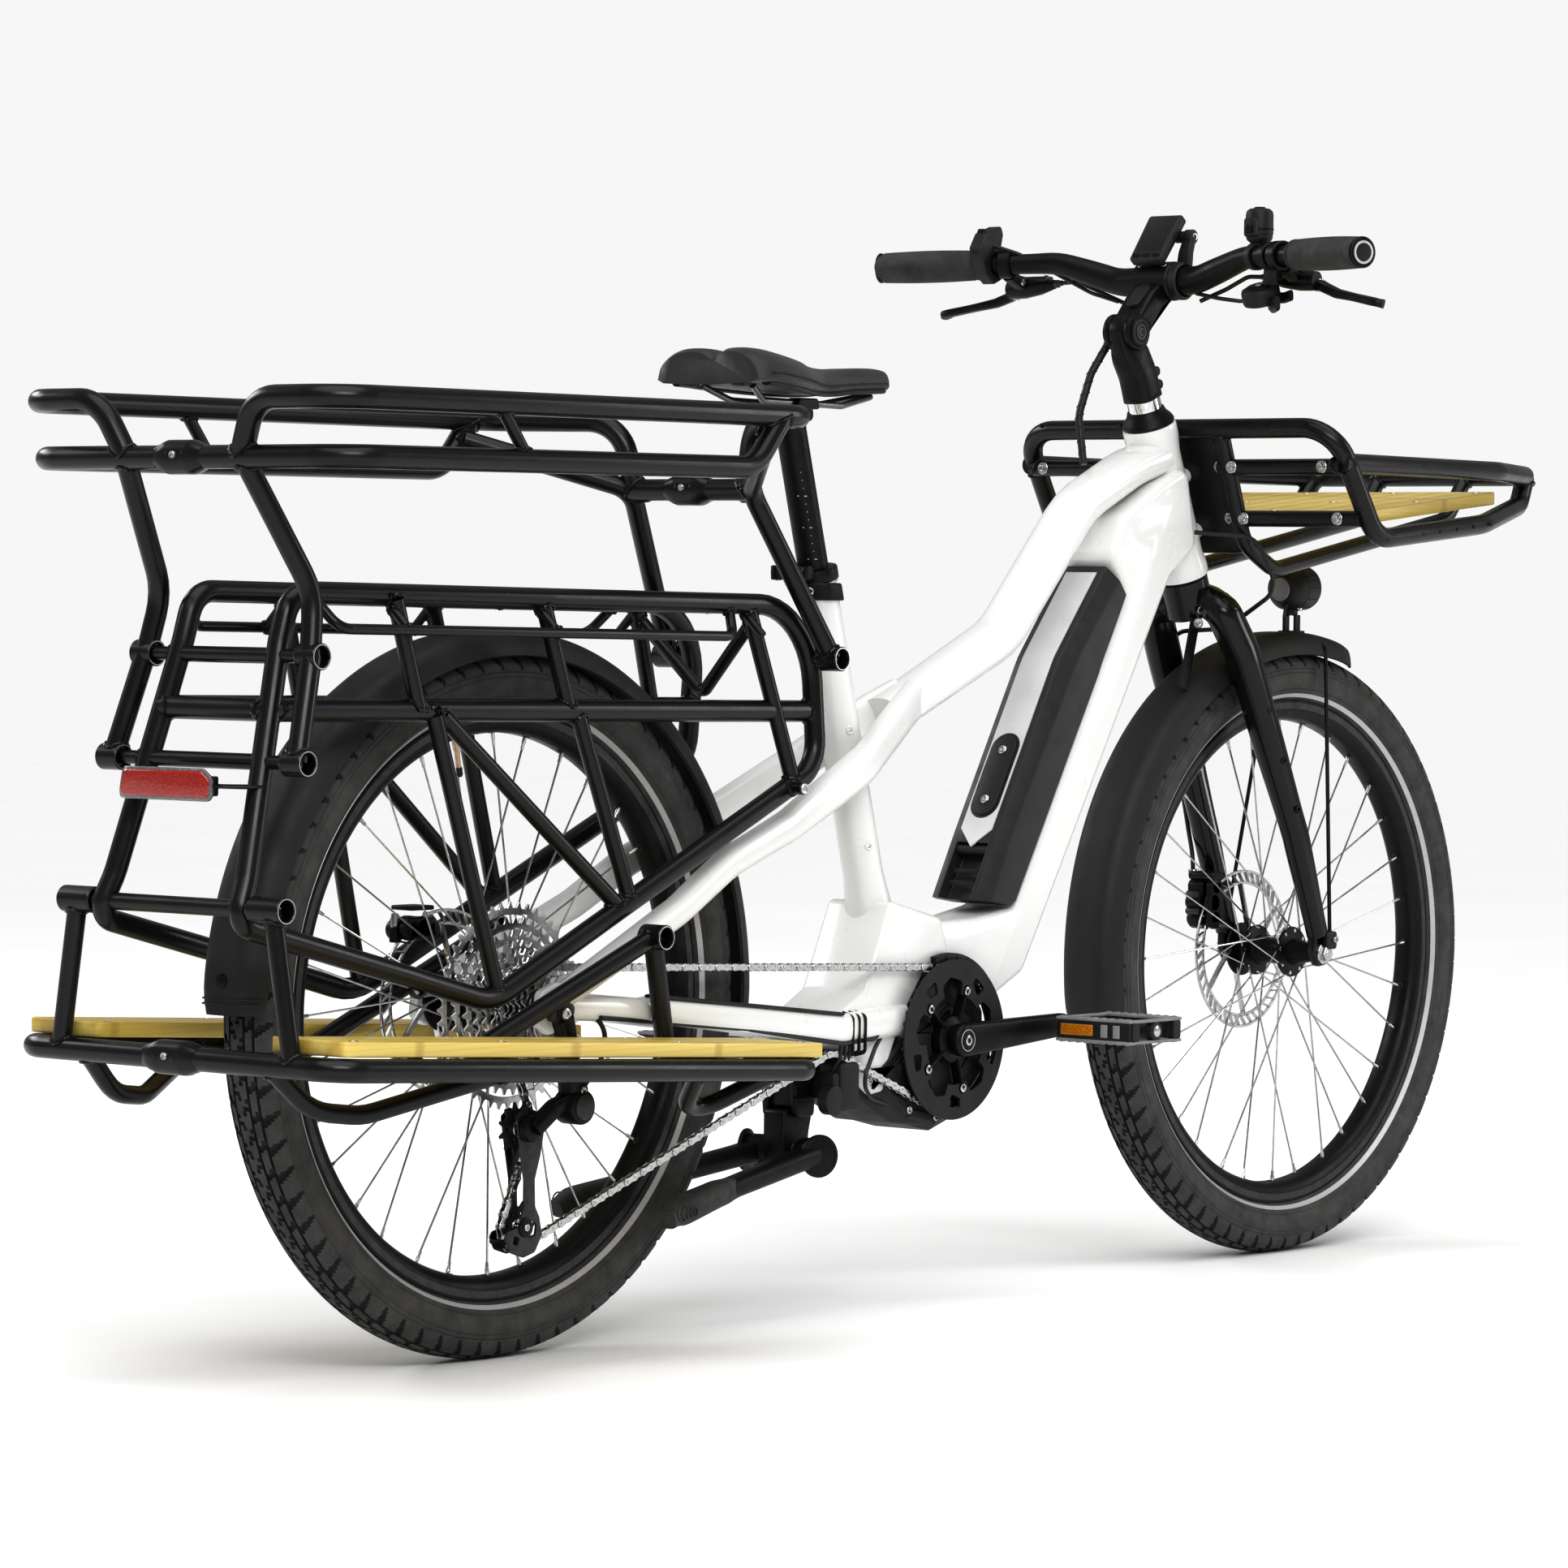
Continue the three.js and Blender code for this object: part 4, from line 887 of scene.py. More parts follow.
def saddle():
    """The padded top: one lofted skin with a pressure channel, two tail lobes and a sewn edge."""
    count = 44
    rows = []
    for k in range(57):
        rows.append(blend_row(SADDLE, k / 56))
    rings = []
    for x, half, top, drop, dip in rows:
        points = []
        for j in range(count + 1):
            u = -1 + 2 * j / count
            crown = math.sqrt(max(0, 1 - abs(u) ** 3.2))
            channel = dip * math.exp(-((u * half / 9) ** 2))
            lobes = 2.2 * math.exp(-((abs(u) * half - 0.55 * half) / (0.3 * half)) ** 2)
            z = top - drop * (1 - crown) - channel + lobes * (1 if x < 420 else 0.2)
            tail = 9 * math.exp(-((u * half / 24) ** 2)) if x < 330 else 0
            points.append((x + tail * (330 - x) / 16, u * half, z))
        under = []
        for j in range(count - 1, 0, -1):
            u = -1 + 2 * j / count
            under.append((x, u * half * 0.93, top - drop - 3 - 2 * (1 - u * u)))
        rings.append(points + under)
    shape = Shape(SKIN, PLASTIC)
    shape.add(loft(rings))
    for s in (RIGHT, LEFT):
        seam = [(x, s * (half * 0.985 + 0.3), top - 0.82 * drop) for x, half, top, drop, _ in rows[2:54:4]]
        shape.add(pipe(seam, 0.9, 30, 8), 1)
        wing = [(r[0], s * r[1] * 0.78, r[2] - r[3] - 4) for r in rows[8:52:4]]
        shape.add(swept(wing, oval(6, 3, 16), 40, Z, 12), 1)
    for s in (RIGHT, LEFT):
        shape.add(block(318, 334, s * 34 - 9, s * 34 + 9, 946, 962, 5, 3), 1)
    cover = shape.piece("saddle", "seat", 50)
    return cover


def blend_row(rows, share):
    """A row of numbers at a share of the way along a table, through smooth joins."""
    at = share * (len(rows) - 1)
    i = min(int(at), len(rows) - 2)
    f = at - i
    near = [rows[max(0, min(len(rows) - 1, i + k))] for k in (-1, 0, 1, 2)]
    values = []
    for p0, p1, p2, p3 in zip(*near):
        slope_a, slope_b = (p2 - p0) / 2, (p3 - p1) / 2
        values.append(
            (2 * f**3 - 3 * f**2 + 1) * p1
            + (f**3 - 2 * f**2 + f) * slope_a
            + (3 * f**2 - 2 * f**3) * p2
            + (f**3 - f**2) * slope_b
        )
    return values


# ---------------------------------------------------------------- rear rack
def ladder(z):
    """A place on the left leg of the ladder at the rack's rear end, by its height."""
    t = (690 - z) / 214
    return (-352 - 62 * t, 62 + 23 * t, z)


# The stubs that the top rail and the footboards are clamped to: (root, outer end across).
STUBS = [(ladder(678), 108), (ladder(582), 120), (ladder(451), 132), ((383, 78, 675), 112),
         ((340, 86, 546), 112)]
RACK_R, MID_R, STRUT_R, RAIL_R, LEG_R, SOCKET_R, BORE_R, SLEEVE_R = 10.5, 11, 8, 11, 10, 12.4, 9.6, 13


def rack_side(s):
    """The tubes of one side as rows of (points, radius, bend)."""
    rows = [
        ([(0, 72, 732), (388, 74, 728), (388, 86, 566), (-95, 90, 352), (-200, 90, 379)], RACK_R,
         [0, 80, 45, 70, 0]),
        ([(2, 72, 732), (-338, 62, 736), ladder(690), ladder(476), (-432, 90, 437), (-199, 90, 379)], RACK_R,
         [0, 55, 40, 60, 55, 0]),
        ([ladder(629), (390, 78, 622)], MID_R),
        ([(-211, 73, 730), (-182, 76, 629)], STRUT_R),
        ([(-8, 73, 730), (26, 76, 628)], STRUT_R),
        ([(293, 74, 728), (352, 87, 548)], STRUT_R),
        ([(-160, 76, 622), (-85, 90, 360)], STRUT_R),
        ([(-150, 76, 622), (90, 89, 434)], STRUT_R),
        ([(40, 76, 622), (104, 89, 440)], STRUT_R),
        ([(-318, 74, 729), (-308, 96, 703), (245, 96, 697), (262, 76, 725)], 5, 18),
    ]
    rows += [([p, (p[0], out - 2, p[2])], 6.5) for p, out in STUBS]
    for x, z in ((-211, 730), (-8, 730), (293, 728)):
        rows.append(([(x - 3, 72, z - 8), (x - 2, 95, z - 30)], 4.5))
    return [(side(points, s), *rest) for points, *rest in rows]


def across(p, radius):
    """A rung from a place to its mirror on the other side."""
    return ([(p[0], -p[1], p[2]), p], radius)


def rear_rack():
    rungs = [across(ladder(678), 7.5), across(ladder(629), MID_R), across(ladder(582), 7.5),
             across(ladder(451), 8), across((-60, 72, 731), STRUT_R), across((240, 73, 729), STRUT_R),
             ([(300, -74, 712), (311, -4, 642), (311, 4, 642), (300, 74, 712)], 6.5, 6)]
    for s in (RIGHT, LEFT):
        shape = Shape(COAT, BARE_RIM)
        tubes = rack_side(s) + (rungs if s == RIGHT else [])
        tube_work(shape, tubes, rack_side(LEFT) if s == RIGHT else ())
        if s == RIGHT:
            lamp_bracket(shape)
        for p, out in STUBS:
            shape.add(bolt((p[0], s * (out - 3), p[2]), (0, s, 0), 5.6, 3.5), 1)
        for x, y, z in ((-200, 90, 379), (6, 80, 360)):
            shape.add(ring((x + 6, s * y, z - 9), 10.6, 7, -3, 3), 0)
        name = "rear_rack_" + HANDS[s]
        shape.piece(name, "frame")


def lamp_bracket(shape):
    """The flat arm and plate that hold the tail light."""
    arm = [(-392, -78, 560), (-404, -74, 560), (-416, -60, 560), (-418, 34, 560)]
    shape.add(swept(arm, oval(9, 2.2, 16), 8, Z, 12))
    shape.add(block(-421, -415, -50, 50, 551, 569, 2, 1))


def tail_light():
    """A long red lens in a clear surround, on its black back."""
    shape = Shape(RED, CLEAR, PLASTIC)
    lens_outline = rounded([(-50, 549), (62, 549), (64, 556), (60, 573), (-40, 574), (-51, 566)], 6)
    rim = rounded([(-53, 546), (66, 546), (66, 556), (62, 576), (-42, 576), (-53, 568)], 7)
    back = lambda a, b, n: Vector((-430 + n, a, b))
    shape.add(slab(lens_outline, 0, 4.5, 3.5, back))
    shape.add(slab(rim, 2, 5.5, 1.2, back), 1)
    shape.add(slab(inset(rim, 2), 5.5, 8, 0.8, back), 2)
    return shape.piece("tail_light", "frame")


# ---------------------------------------------------------------- top rail
def socketed(shape, tubes, pairs, s):
    """Tube work that ends in a socket over each pair of places."""
    ends = [(side(pair, s), SOCKET_R) for pair in pairs]
    tube_work(shape, tubes, ends)
    for (root, mouth), _ in ends:
        socket(shape, root, mouth, SOCKET_R, BORE_R)


def oval_sleeve(shape, a, b, radius):
    """The flattened connector over the joint of two tubes, with its seams and its screw."""
    a, b = Vector(a), Vector(b)
    tip, neck, belly = (radius * 0.8, radius * 0.8), (radius, radius), (radius * 1.06, radius * 1.22)
    bulge = [(0, tip), (0.12, neck), (0.25, belly), (0.75, belly), (0.88, neck), (1, tip)]
    shape.add(swept([a, b], tapered(bulge, 28, 2.6), 0, Z, 4))
    mid = (a + b) / 2
    for f in (0.33, 0.67):
        shape.add(ring(a.lerp(b, f), radius * 1.12, radius * 0.9, -1, 1, Y), 0)
    shape.add(bolt(mid + Vector((-radius, 0, 2)), (-1, 0, 0), 3.6, 3), 1)


def top_rail_tubes(s):
    rows = [
        ([(-414, 74, 858), (-424, 100, 910), (-424, 205, 910), (222, 205, 911), (282, 88, 911),
          (290, 74, 842)], RAIL_R, 42),
        ([(-414, 0, 857), (-414, 205, 857), (145, 205, 860), (188, 205, 912)], RAIL_R, 42),
        ([(-414, 76, 857), (-345, 98, 735), (-356, 106, 678)], LEG_R, 60),
        ([(290, 0, 842), (290, 80, 842)], RAIL_R),
        ([(172, 199, 890), (290, 78, 842), (384, 108, 676)], LEG_R, 30),
        ([(-356, 107, 678), (-385, 119, 582)], LEG_R),
        ([(-215, 205, 910), (-175, 205, 859)], 6),
    ]
    return [(side(points, s), *rest) for points, *rest in rows]


def top_rails():
    for s in (RIGHT, LEFT):
        shape = Shape(COAT, BARE_RIM)
        pairs = [((-354, 94, 678), (-354, 119, 678)), ((-384, 106, 582), (-384, 132, 582)),
                 ((384, 96, 675), (384, 122, 675))]
        socketed(shape, top_rail_tubes(s), pairs, s)
        if s == RIGHT:
            oval_sleeve(shape, (-414, -30, 857), (-414, 30, 857), SLEEVE_R)
            oval_sleeve(shape, (290, -28, 842), (290, 28, 842), SLEEVE_R)
        name = "top_rail_" + HANDS[s]
        shape.piece(name, "frame")


# ---------------------------------------------------------------- footboards
BOARD_T = 14
BOARD_BACK_X, BOARD_BACK_Z, BOARD_FALL = -421, 331, 0.053


def board_mid(x):
    """The height of the footboards' middle, which falls a little towards the front."""
    return BOARD_BACK_Z - BOARD_FALL * (x - BOARD_BACK_X)


def wood_screw(shape, spot, outer, inner):
    """A screw in its cup washer, flush with a board."""
    shape.add(ring(spot, outer, inner, -1, 0.9, Z), 1)
    shape.add(disc(spot, inner + 0.1, -1, 0.5, Z), 1)


def under_board(x, y):
    """A place on the frame's tubes, a millimetre below the board."""
    return (x, y, board_mid(x) - BOARD_T / 2 - RAIL_R - 1)


def foot_tubes(s):
    rows = [
        ([under_board(x, y) for x, y in ((-418, 0), (-418, 205), (252, 205), (252, 122))], RAIL_R, 32),
        ([(-421, 126, 451), under_board(-419, 150)], 9),
        ([(121, 104, 406), under_board(-150, 99), under_board(-150, 204)], 9.5, 20),
        ([(121, 104, 406), under_board(150, 99), under_board(150, 204)], 9.5, 12),
        ([under_board(-418, 118), (-372, 128, 268), (-320, 142, 262), under_board(-190, 204)], 9, 60),
        ([under_board(80, 202), (106, 160, 246), (140, 160, 244), under_board(196, 204)], 9, 50),
    ]
    return [(side(points, s), *rest) for points, *rest in rows]


def footboards():
    for s in (RIGHT, LEFT):
        shape = Shape(COAT, BARE_RIM)
        pairs = [((-421, 102, 451), (-421, 143, 451)), ((121, 94, 406), (121, 122, 406))]
        socketed(shape, foot_tubes(s), pairs, s)
        if s == RIGHT:
            oval_sleeve(shape, under_board(-418, -34), under_board(-418, 34), SLEEVE_R)
        name = "footboard_frame_" + HANDS[s]
        shape.piece(name, "frame")
        board(s)


def board(s):
    """A bamboo plank on the slope of its frame, with screws near its edges."""
    shape = Shape(BAMBOO, STEEL)
    near, far = span(s, 110, 206)
    outline = rounded([(-408, near), (262, near), (262, far), (-408, far)], 7)
    put = lambda a, b, n: Vector((a, b, board_mid(a) + n))
    shape.add(slab(outline, -BOARD_T / 2, BOARD_T / 2, 1.6, put))
    for x in (-385, -190, 60, 240):
        for y in (124, 192):
            wood_screw(shape, Vector((x, s * y, board_mid(x) + BOARD_T / 2 - 0.6)), 5.2, 2.8)
    name = "footboard_" + HANDS[s]
    return shape.piece(name, "frame", 30)


# ---------------------------------------------------------------- front rack
def front_rack():
    shape = Shape(COAT, BARE_RIM, ALLOY, STEEL)
    tubes = []
    for s in (RIGHT, LEFT):
        rows = [
            ([(1110, 0, 926), (1110, 211, 926), (1186, 216, 806), (1400, 214, 826), (1570, 152, 850),
              (1590, 147, 882)], RAIL_R, [0, 42, 42, 80, 30, 0]),
            ([(1122, 212, 888), (1440, 206, 886), (1600, 146, 884), (1600, 0, 884)], RAIL_R, [0, 60, 42, 0]),
            ([(1126, 212, 884), (1126, 50, 884)], 9),
            ([(1160, 214, 828), (1150, 50, 828)], 9),
            ([(1110, 60, 926), (1158, 60, 800), (1215, 60, 772), (1560, 60, 834), (1600, 60, 884)], 9, 40),
        ]
        tubes += [(side(points, s), *rest) for points, *rest in rows]
        for x, y, z in ((1126, 70, 884), (1126, 190, 884), (1150, 70, 828), (1157, 190, 828)):
            spot = Vector((x - 8.5, s * y, z))
            shape.add(ring(spot, 7, 3, -1.5, 1.2, (-1, 0, 0)), 3)
            shape.add(bolt(spot, (-1, 0, 0), 4.6, 4.4), 3)
        for k in range(7):
            x = 1196 + 34 * k
            z = 806 + (x - 1186) * 0.094
            shape.add(disc((x, s * 215, z), 2.4, s * 10.6 - 0.8, s * 10.6 + 0.8), 2)
        for y in (70, 130, 180):
            shape.add(disc((1110 - 9.5, s * y, 931), 2.2, -1, 1.6, (-0.9, 0, 0.45)), 2)
    tube_work(shape, tubes)
    rack_plate(shape)
    return shape.piece("front_rack", "frame")


def front_board():
    """The bamboo floor of the front rack, which rises towards the front."""
    front = Shape(BAMBOO, STEEL)
    outline = rounded([(1196, -188), (1470, -188), (1470, 188), (1196, 188)], 9)
    put = lambda a, b, n: Vector((a, b, 829 + (a - 1196) * 0.102 + n))
    front.add(slab(outline, -7, 7, 1.6, put))
    for x in (1215, 1330, 1450):
        for y in (-172, -60, 60, 172):
            wood_screw(front, put(x, y, 6.6), 5, 2.7)
    return front.piece("front_rack_board", "frame", 30)


def rack_plate(shape):
    """The black plate that the two bosses of the head tube carry."""
    lean = lambda z: 1110 + (926 - z) * 0.39
    outline = rounded([(-62, 790), (62, 790), (62, 900), (40, 924), (-40, 924), (-62, 900)], 12)
    put = lambda a, b, n: Vector((lean(b) + n, a, b))
    shape.add(slab(outline, -3, 3, 1.2, put))
    for z in BOSS_HEIGHTS:
        root = steer_at(z) + Vector((46, 0, 18))
        shape.add(ring(root, 12, 5, 0.5, 3, (0.93, 0, 0.36)), 3)
        shape.add(bolt(root + Vector((3, 0, 1)), (0.93, 0, 0.36), 6.5, 5), 3)
    for y in (-50, 50):
        for z in (884, 828):
            spot = put(y, z, -3)
            shape.add(ring(spot, 7, 3, -0.5, 1.6, (-1, 0, -0.39)), 3)
            shape.add(bolt(spot, (-1, 0, -0.39), 4.6, 4.6), 3)


# ---------------------------------------------------------------- solids with real openings
def as_object(parts):
    """Parts as one working object, faces outwards."""
    shape = Shape()
    for part in parts:
        shape.add(part)
    mesh = bpy.data.meshes.new("work")
    mesh.from_pydata(shape.verts, [], shape.faces)
    face_outwards(mesh)
    return linked("work", mesh)


def carved(part, cutters):
    """The part with the cutters, which don't touch each other, taken out of it."""
    body, tool = as_object([part]), as_object(cutters)
    cut = body.modifiers.new("cut", "BOOLEAN")
    cut.operation = "DIFFERENCE"
    cut.solver = "EXACT"
    cut.object = tool
    result = body.evaluated_get(bpy.context.evaluated_depsgraph_get()).to_mesh()
    verts = [v.co.copy() for v in result.vertices]
    faces = [tuple(p.vertices) for p in result.polygons]
    for thing in (body, tool):
        mesh = thing.data
        bpy.data.objects.remove(thing)
        bpy.data.meshes.remove(mesh)
    return verts, faces


def ray(centre, radius, degrees, y=0.0):
    """A place at a distance and an angle from a centre, in the side view."""
    a = math.radians(degrees)
    return Vector((centre.x + radius * math.cos(a), y, centre.z + radius * math.sin(a)))


# ---------------------------------------------------------------- wheels
TREAD_PITCHES = 74
STEPS_A_PITCH = 12
TREAD_DEPTH = 2.9
# Half of the tyre's section, from the bead to the crown: (radius, half width).
TYRE_HALF = [(283.6, 11), (284.6, 15.5), (287.5, 19), (293, 24.4), (300, 28.7), (305, 30.4), (308, 31),
             (313, 31), (318, 30.3), (321.6, 29.4), (322.8, 29.9), (326.6, 28.9), (329.5, 27), (332.2, 25),
             (334.8, 22), (336.6, 19.2), (336.9, 18.6), (337.5, 17.4), (337.8, 16.8), (339, 13.5),
             (340, 10.2), (340.2, 9.4), (340.4, 8.2), (340.5, 7.6), (340.9, 4), (341, 0.7)]
# The two grooves that run round the tread, as ranges of the half width.
LINES = ((17.4, 18.6), (8.2, 9.4))
LINE_SLACK = 0.05
# The cross cuts of the crown, the middle and the shoulder rows.
ROW_EDGES = (8, 17.5)
ROW_SLOPES = (0.06, 0.035, 0.03)
ROW_SHIFTS = (0.0, 0.42, 0.1)
CUT_STEPS = 1.3
SHOULDER_R = 323
RIM_IN_R = 262
RIM_HALF = [(284.2, 11), (285.2, 15), (284.6, 17.2), (283, 17.6), (274, 17.2), (269, 15.8),
            (264.5, 12), (RIM_IN_R, 7)]
ROTOR_SLOTS, ROTOR_ARMS = 44, 6
SPOKES = 32
SPOKE_TURN = 360 / SPOKES
ROUND_SIDES = 180


def tread_depth(turn, r, y):
    """How far the tread is cut away at a place round the tyre and in its section."""
    wide = abs(y)
    if r < SHOULDER_R:
        return 0.0
    if any(low - LINE_SLACK <= wide <= high + LINE_SLACK for low, high in LINES):
        return TREAD_DEPTH
    row = sum(wide >= edge for edge in ROW_EDGES)
    shift = ROW_SHIFTS[row] + (0.5 if y > 0 else 0.0)
    share = (turn * TREAD_PITCHES + shift + ROW_SLOPES[row] * wide) % 1
    return TREAD_DEPTH if share < CUT_STEPS / STEPS_A_PITCH else 0.0


def tyre(centre, prefix, body):
    profile = mirrored(TYRE_HALF)
    count = TREAD_PITCHES * STEPS_A_PITCH
    rings = []
    for k in range(count):
        a = TAU * k / count
        out = Vector((math.cos(a), 0, math.sin(a)))
        rings.append([centre + out * (r - tread_depth(k / count, r, y)) + Y * y for r, y in profile])
    shape = Shape(TYRE, REFLECT, GROOVE_SHADE)
    skin = loft(rings, closed=True)
    shape.add(skin)
    # Every face touching the cut tread takes the darker groove rubber: painted shade in the grooves.
    cut = [tread_depth(k / count, r, y) > 0 for k in range(count) for r, y in profile]
    shape.kinds = [2 if any(cut[i] for i in face) else 0 for face in skin[1]]
    for s in (RIGHT, LEFT):
        stripe = [(288.2, 20.2), (292.2, 24.2), (292.6, 23.9), (288.6, 19.8)]
        shape.add(turned([(r, s * (y + 0.3)) for r, y in stripe], centre, Y, ROUND_SIDES, closed=True), 1)
        for r, y in ((297.5, 27.2), (316, 30.7), (320.5, 29.8)):
            rib = [(r - 0.9, s * (y - 0.6)), (r, s * (y + 0.55)), (r + 0.9, s * (y - 0.6))]
            shape.add(turned(rib, centre, Y, ROUND_SIDES, closed=True))
    name = prefix + "_tyre"
    return shape.piece(name, body, 30)


def rim(centre, prefix, body):
    shape = Shape(ALLOY, DARK_ALLOY, BRASS, PLASTIC)
    shape.add(turned(mirrored(RIM_HALF), centre, Y, ROUND_SIDES, closed=True))
    for s in (RIGHT, LEFT):
        track = [(282, 17.5), (275, 17.2), (275, 17.5), (282, 17.9)]
        shape.add(turned([(r, s * y) for r, y in track], centre, Y, ROUND_SIDES, closed=True), 1)
    valve = ray(centre, RIM_IN_R, 101)
    inwards = (centre - valve).normalized()
    shape.add(turned([(4.5, -1), (4.5, 2), (3, 2.5), (3, 16), (2.4, 17), (2.4, 30)], valve, inwards, 16), 2)
    shape.add(turned([(3.1, 29), (3.1, 36), (2, 38)], valve, inwards, 16), 3)
    for k in range(SPOKES):
        eyelet = ray(centre, RIM_IN_R, SPOKE_TURN * k)
        shape.add(ring(eyelet, 3.6, 2.0, -0.8, 0.8, centre - eyelet, 0.3, 12), 1)
    name = prefix + "_rim"
    return shape.piece(name, body)


def spokes(shape, centre, flange, kind):
    """Crossed spokes, each with its nipple at the rim and its head at the flange."""
    for i in range(SPOKES):
        s = LEFT if i % 2 else RIGHT
        lead = 58 if (i >> 1) % 2 else -58
        a = SPOKE_TURN * i
        start = ray(centre, 24, a + lead, s * (flange + (1.2 if lead > 0 else -1.2)))
        end = ray(centre, RIM_IN_R, a, s * 2)
        shape.add(pipe([start, end], 1.0, sides=8), kind)
        along = (start - end).normalized()
        shape.add(turned([(2.2, -1), (2.2, 6), (1.7, 7), (1.7, 12), (1.1, 13)], end, along, 10), kind)
        shape.add(disc(start, 2.2, -1.2, 1.2), kind)


def rotor(shape, centre, y, ring_kind, hub_kind):
    """The brake disc: a slotted ring on slanted arms, and its carrier."""
    low, high = y - 1, y + 1
    shape.add(ring(centre, 90, 86.8, low, high, soft=0.3, sides=120), ring_kind)
    shape.add(ring(centre, 77.4, 74, low, high, soft=0.3, sides=120), ring_kind)
    for k in range(ROTOR_SLOTS):
        a = 360 * k / ROTOR_SLOTS
        bar = [ray(centre, 76.5, a, y), ray(centre, 87.4, a + 5.5, y)]
        shape.add(swept(bar, oval(0.9, 2.6, 8, 4), 0, Y), ring_kind)
    for k in range(ROTOR_ARMS):
        a = 360 / ROTOR_ARMS * k
        arm = [ray(centre, 24, a, y), ray(centre, 50, a + 26, y), ray(centre, 75.5, a + 34, y)]
        shape.add(swept(arm, oval(0.95, 3.6, 12, 4), 60, Y), ring_kind)
        spot = ray(centre, 22, a, y)
        shape.add(bolt(spot, (0, 1, 0), 3.6, 3.4, 12), ring_kind)
    shape.add(ring(centre, 30, 12, low - 0.6, high + 0.4, soft=0.6, sides=48), hub_kind)


def hub(centre, prefix, body, half, flange, disc_y):
    shape = Shape(ALLOY, STEEL, SILVER, DARK_STEEL)
    lip = lambda y: [(28, y - 1.6), (28.5, y), (28, y + 1.6)]
    barrel = [(6, -half), (9.5, -half), (10, -half + 3), (14, -flange - 8), (15, -flange - 3)]
    barrel += lip(-flange) + [(17, -flange + 4), (14.5, -flange + 9), (14.5, flange - 9), (17, flange - 4)]
    barrel += lip(flange) + [(17, flange + 4), (16, disc_y - 3), (16, disc_y + 2)]
    barrel += [(10, half - 3), (9.5, half), (6, half)]
    shape.add(turned(barrel, centre, Y, 48, closed=True))
    shape.add(turned([(5.8, -half + 1), (5.8, half - 1)], centre, Y, 16), 3)
    spokes(shape, centre, flange, 1)
    rotor(shape, centre, disc_y, 2, 0)
    name = prefix + "_hub"
    return shape.piece(name, body)


def wheels():
    for centre, prefix, *hub_sizes in ((REAR, "rear", 74, 21, 58), (FRONT, "front", 56, 24, 44.7)):
        body = prefix + "_wheel"
        tyre(centre, prefix, body)
        rim(centre, prefix, body)
        hub(centre, prefix, body, *hub_sizes)


# ---------------------------------------------------------------- drivetrain
def pitch_radius(teeth):
    """How far a sprocket's chain pins lie from its centre."""
    return PITCH / (2 * math.sin(math.pi / teeth))


def toothed(centre, teeth, inner, y, thick, soft=0.4):
    """A sprocket ring: shaped teeth outside, round inside."""
    r = pitch_radius(teeth)
    outer_line, inner_line = [], []
    steps = [(-0.5, -3.2), (-0.32, -3.0), (-0.2, -0.6), (-0.09, 3.0), (0.09, 3.0), (0.2, -0.6), (0.32, -3.0)]
    for k in range(teeth):
        for share, out in steps:
            a = TAU * (k + share) / teeth
            outer_line.append((centre.x + (r + out) * math.cos(a), centre.z + (r + out) * math.sin(a)))
            inner_line.append((centre.x + inner * math.cos(a), centre.z + inner * math.sin(a)))
    return holed(outer_line, inner_line, y - thick / 2, y + thick / 2, soft)


CASSETTE = [48, 41, 35, 30, 26, 22, 19, 17, 15, 13, 11]
BIG_COG_Y, COG_STEP = -27, 3.83
# Cogs with more teeth than this are rings on arms.
SOLID_TEETH = 24
FIFTH = 72


def cassette():
    shape = Shape(STEEL, SILVER, DARK_STEEL, ALLOY)
    for k, teeth in enumerate(CASSETTE):
        y = BIG_COG_Y - COG_STEP * k
        r = pitch_radius(teeth)
        inner = r - 9.5 if teeth > SOLID_TEETH else max(13, r - 10)
        shape.add(toothed(REAR, teeth, inner, y, 1.9), 0 if k % 2 else 1)
        if teeth > SOLID_TEETH:
            for j in range(5):
                a = FIFTH * j + 9 * k
                arm = [ray(REAR, 20, a, y), ray(REAR, (20 + r) / 2, a + 10, y), ray(REAR, r - 8, a + 4, y)]
                shape.add(swept(arm, oval(0.9, 4.2, 12, 4), 40, Y), 1)
    carrier = [(19, -26), (20, -27), (20, -62), (18, -66.5), (12.5, -67.5), (12.5, -26)]
    shape.add(turned(carrier, REAR, Y, 48, True), 3)
    shape.add(ring(REAR, 17, 12, -69, -66, soft=0.8), 2)
    return shape.piece("cassette", "cassette")


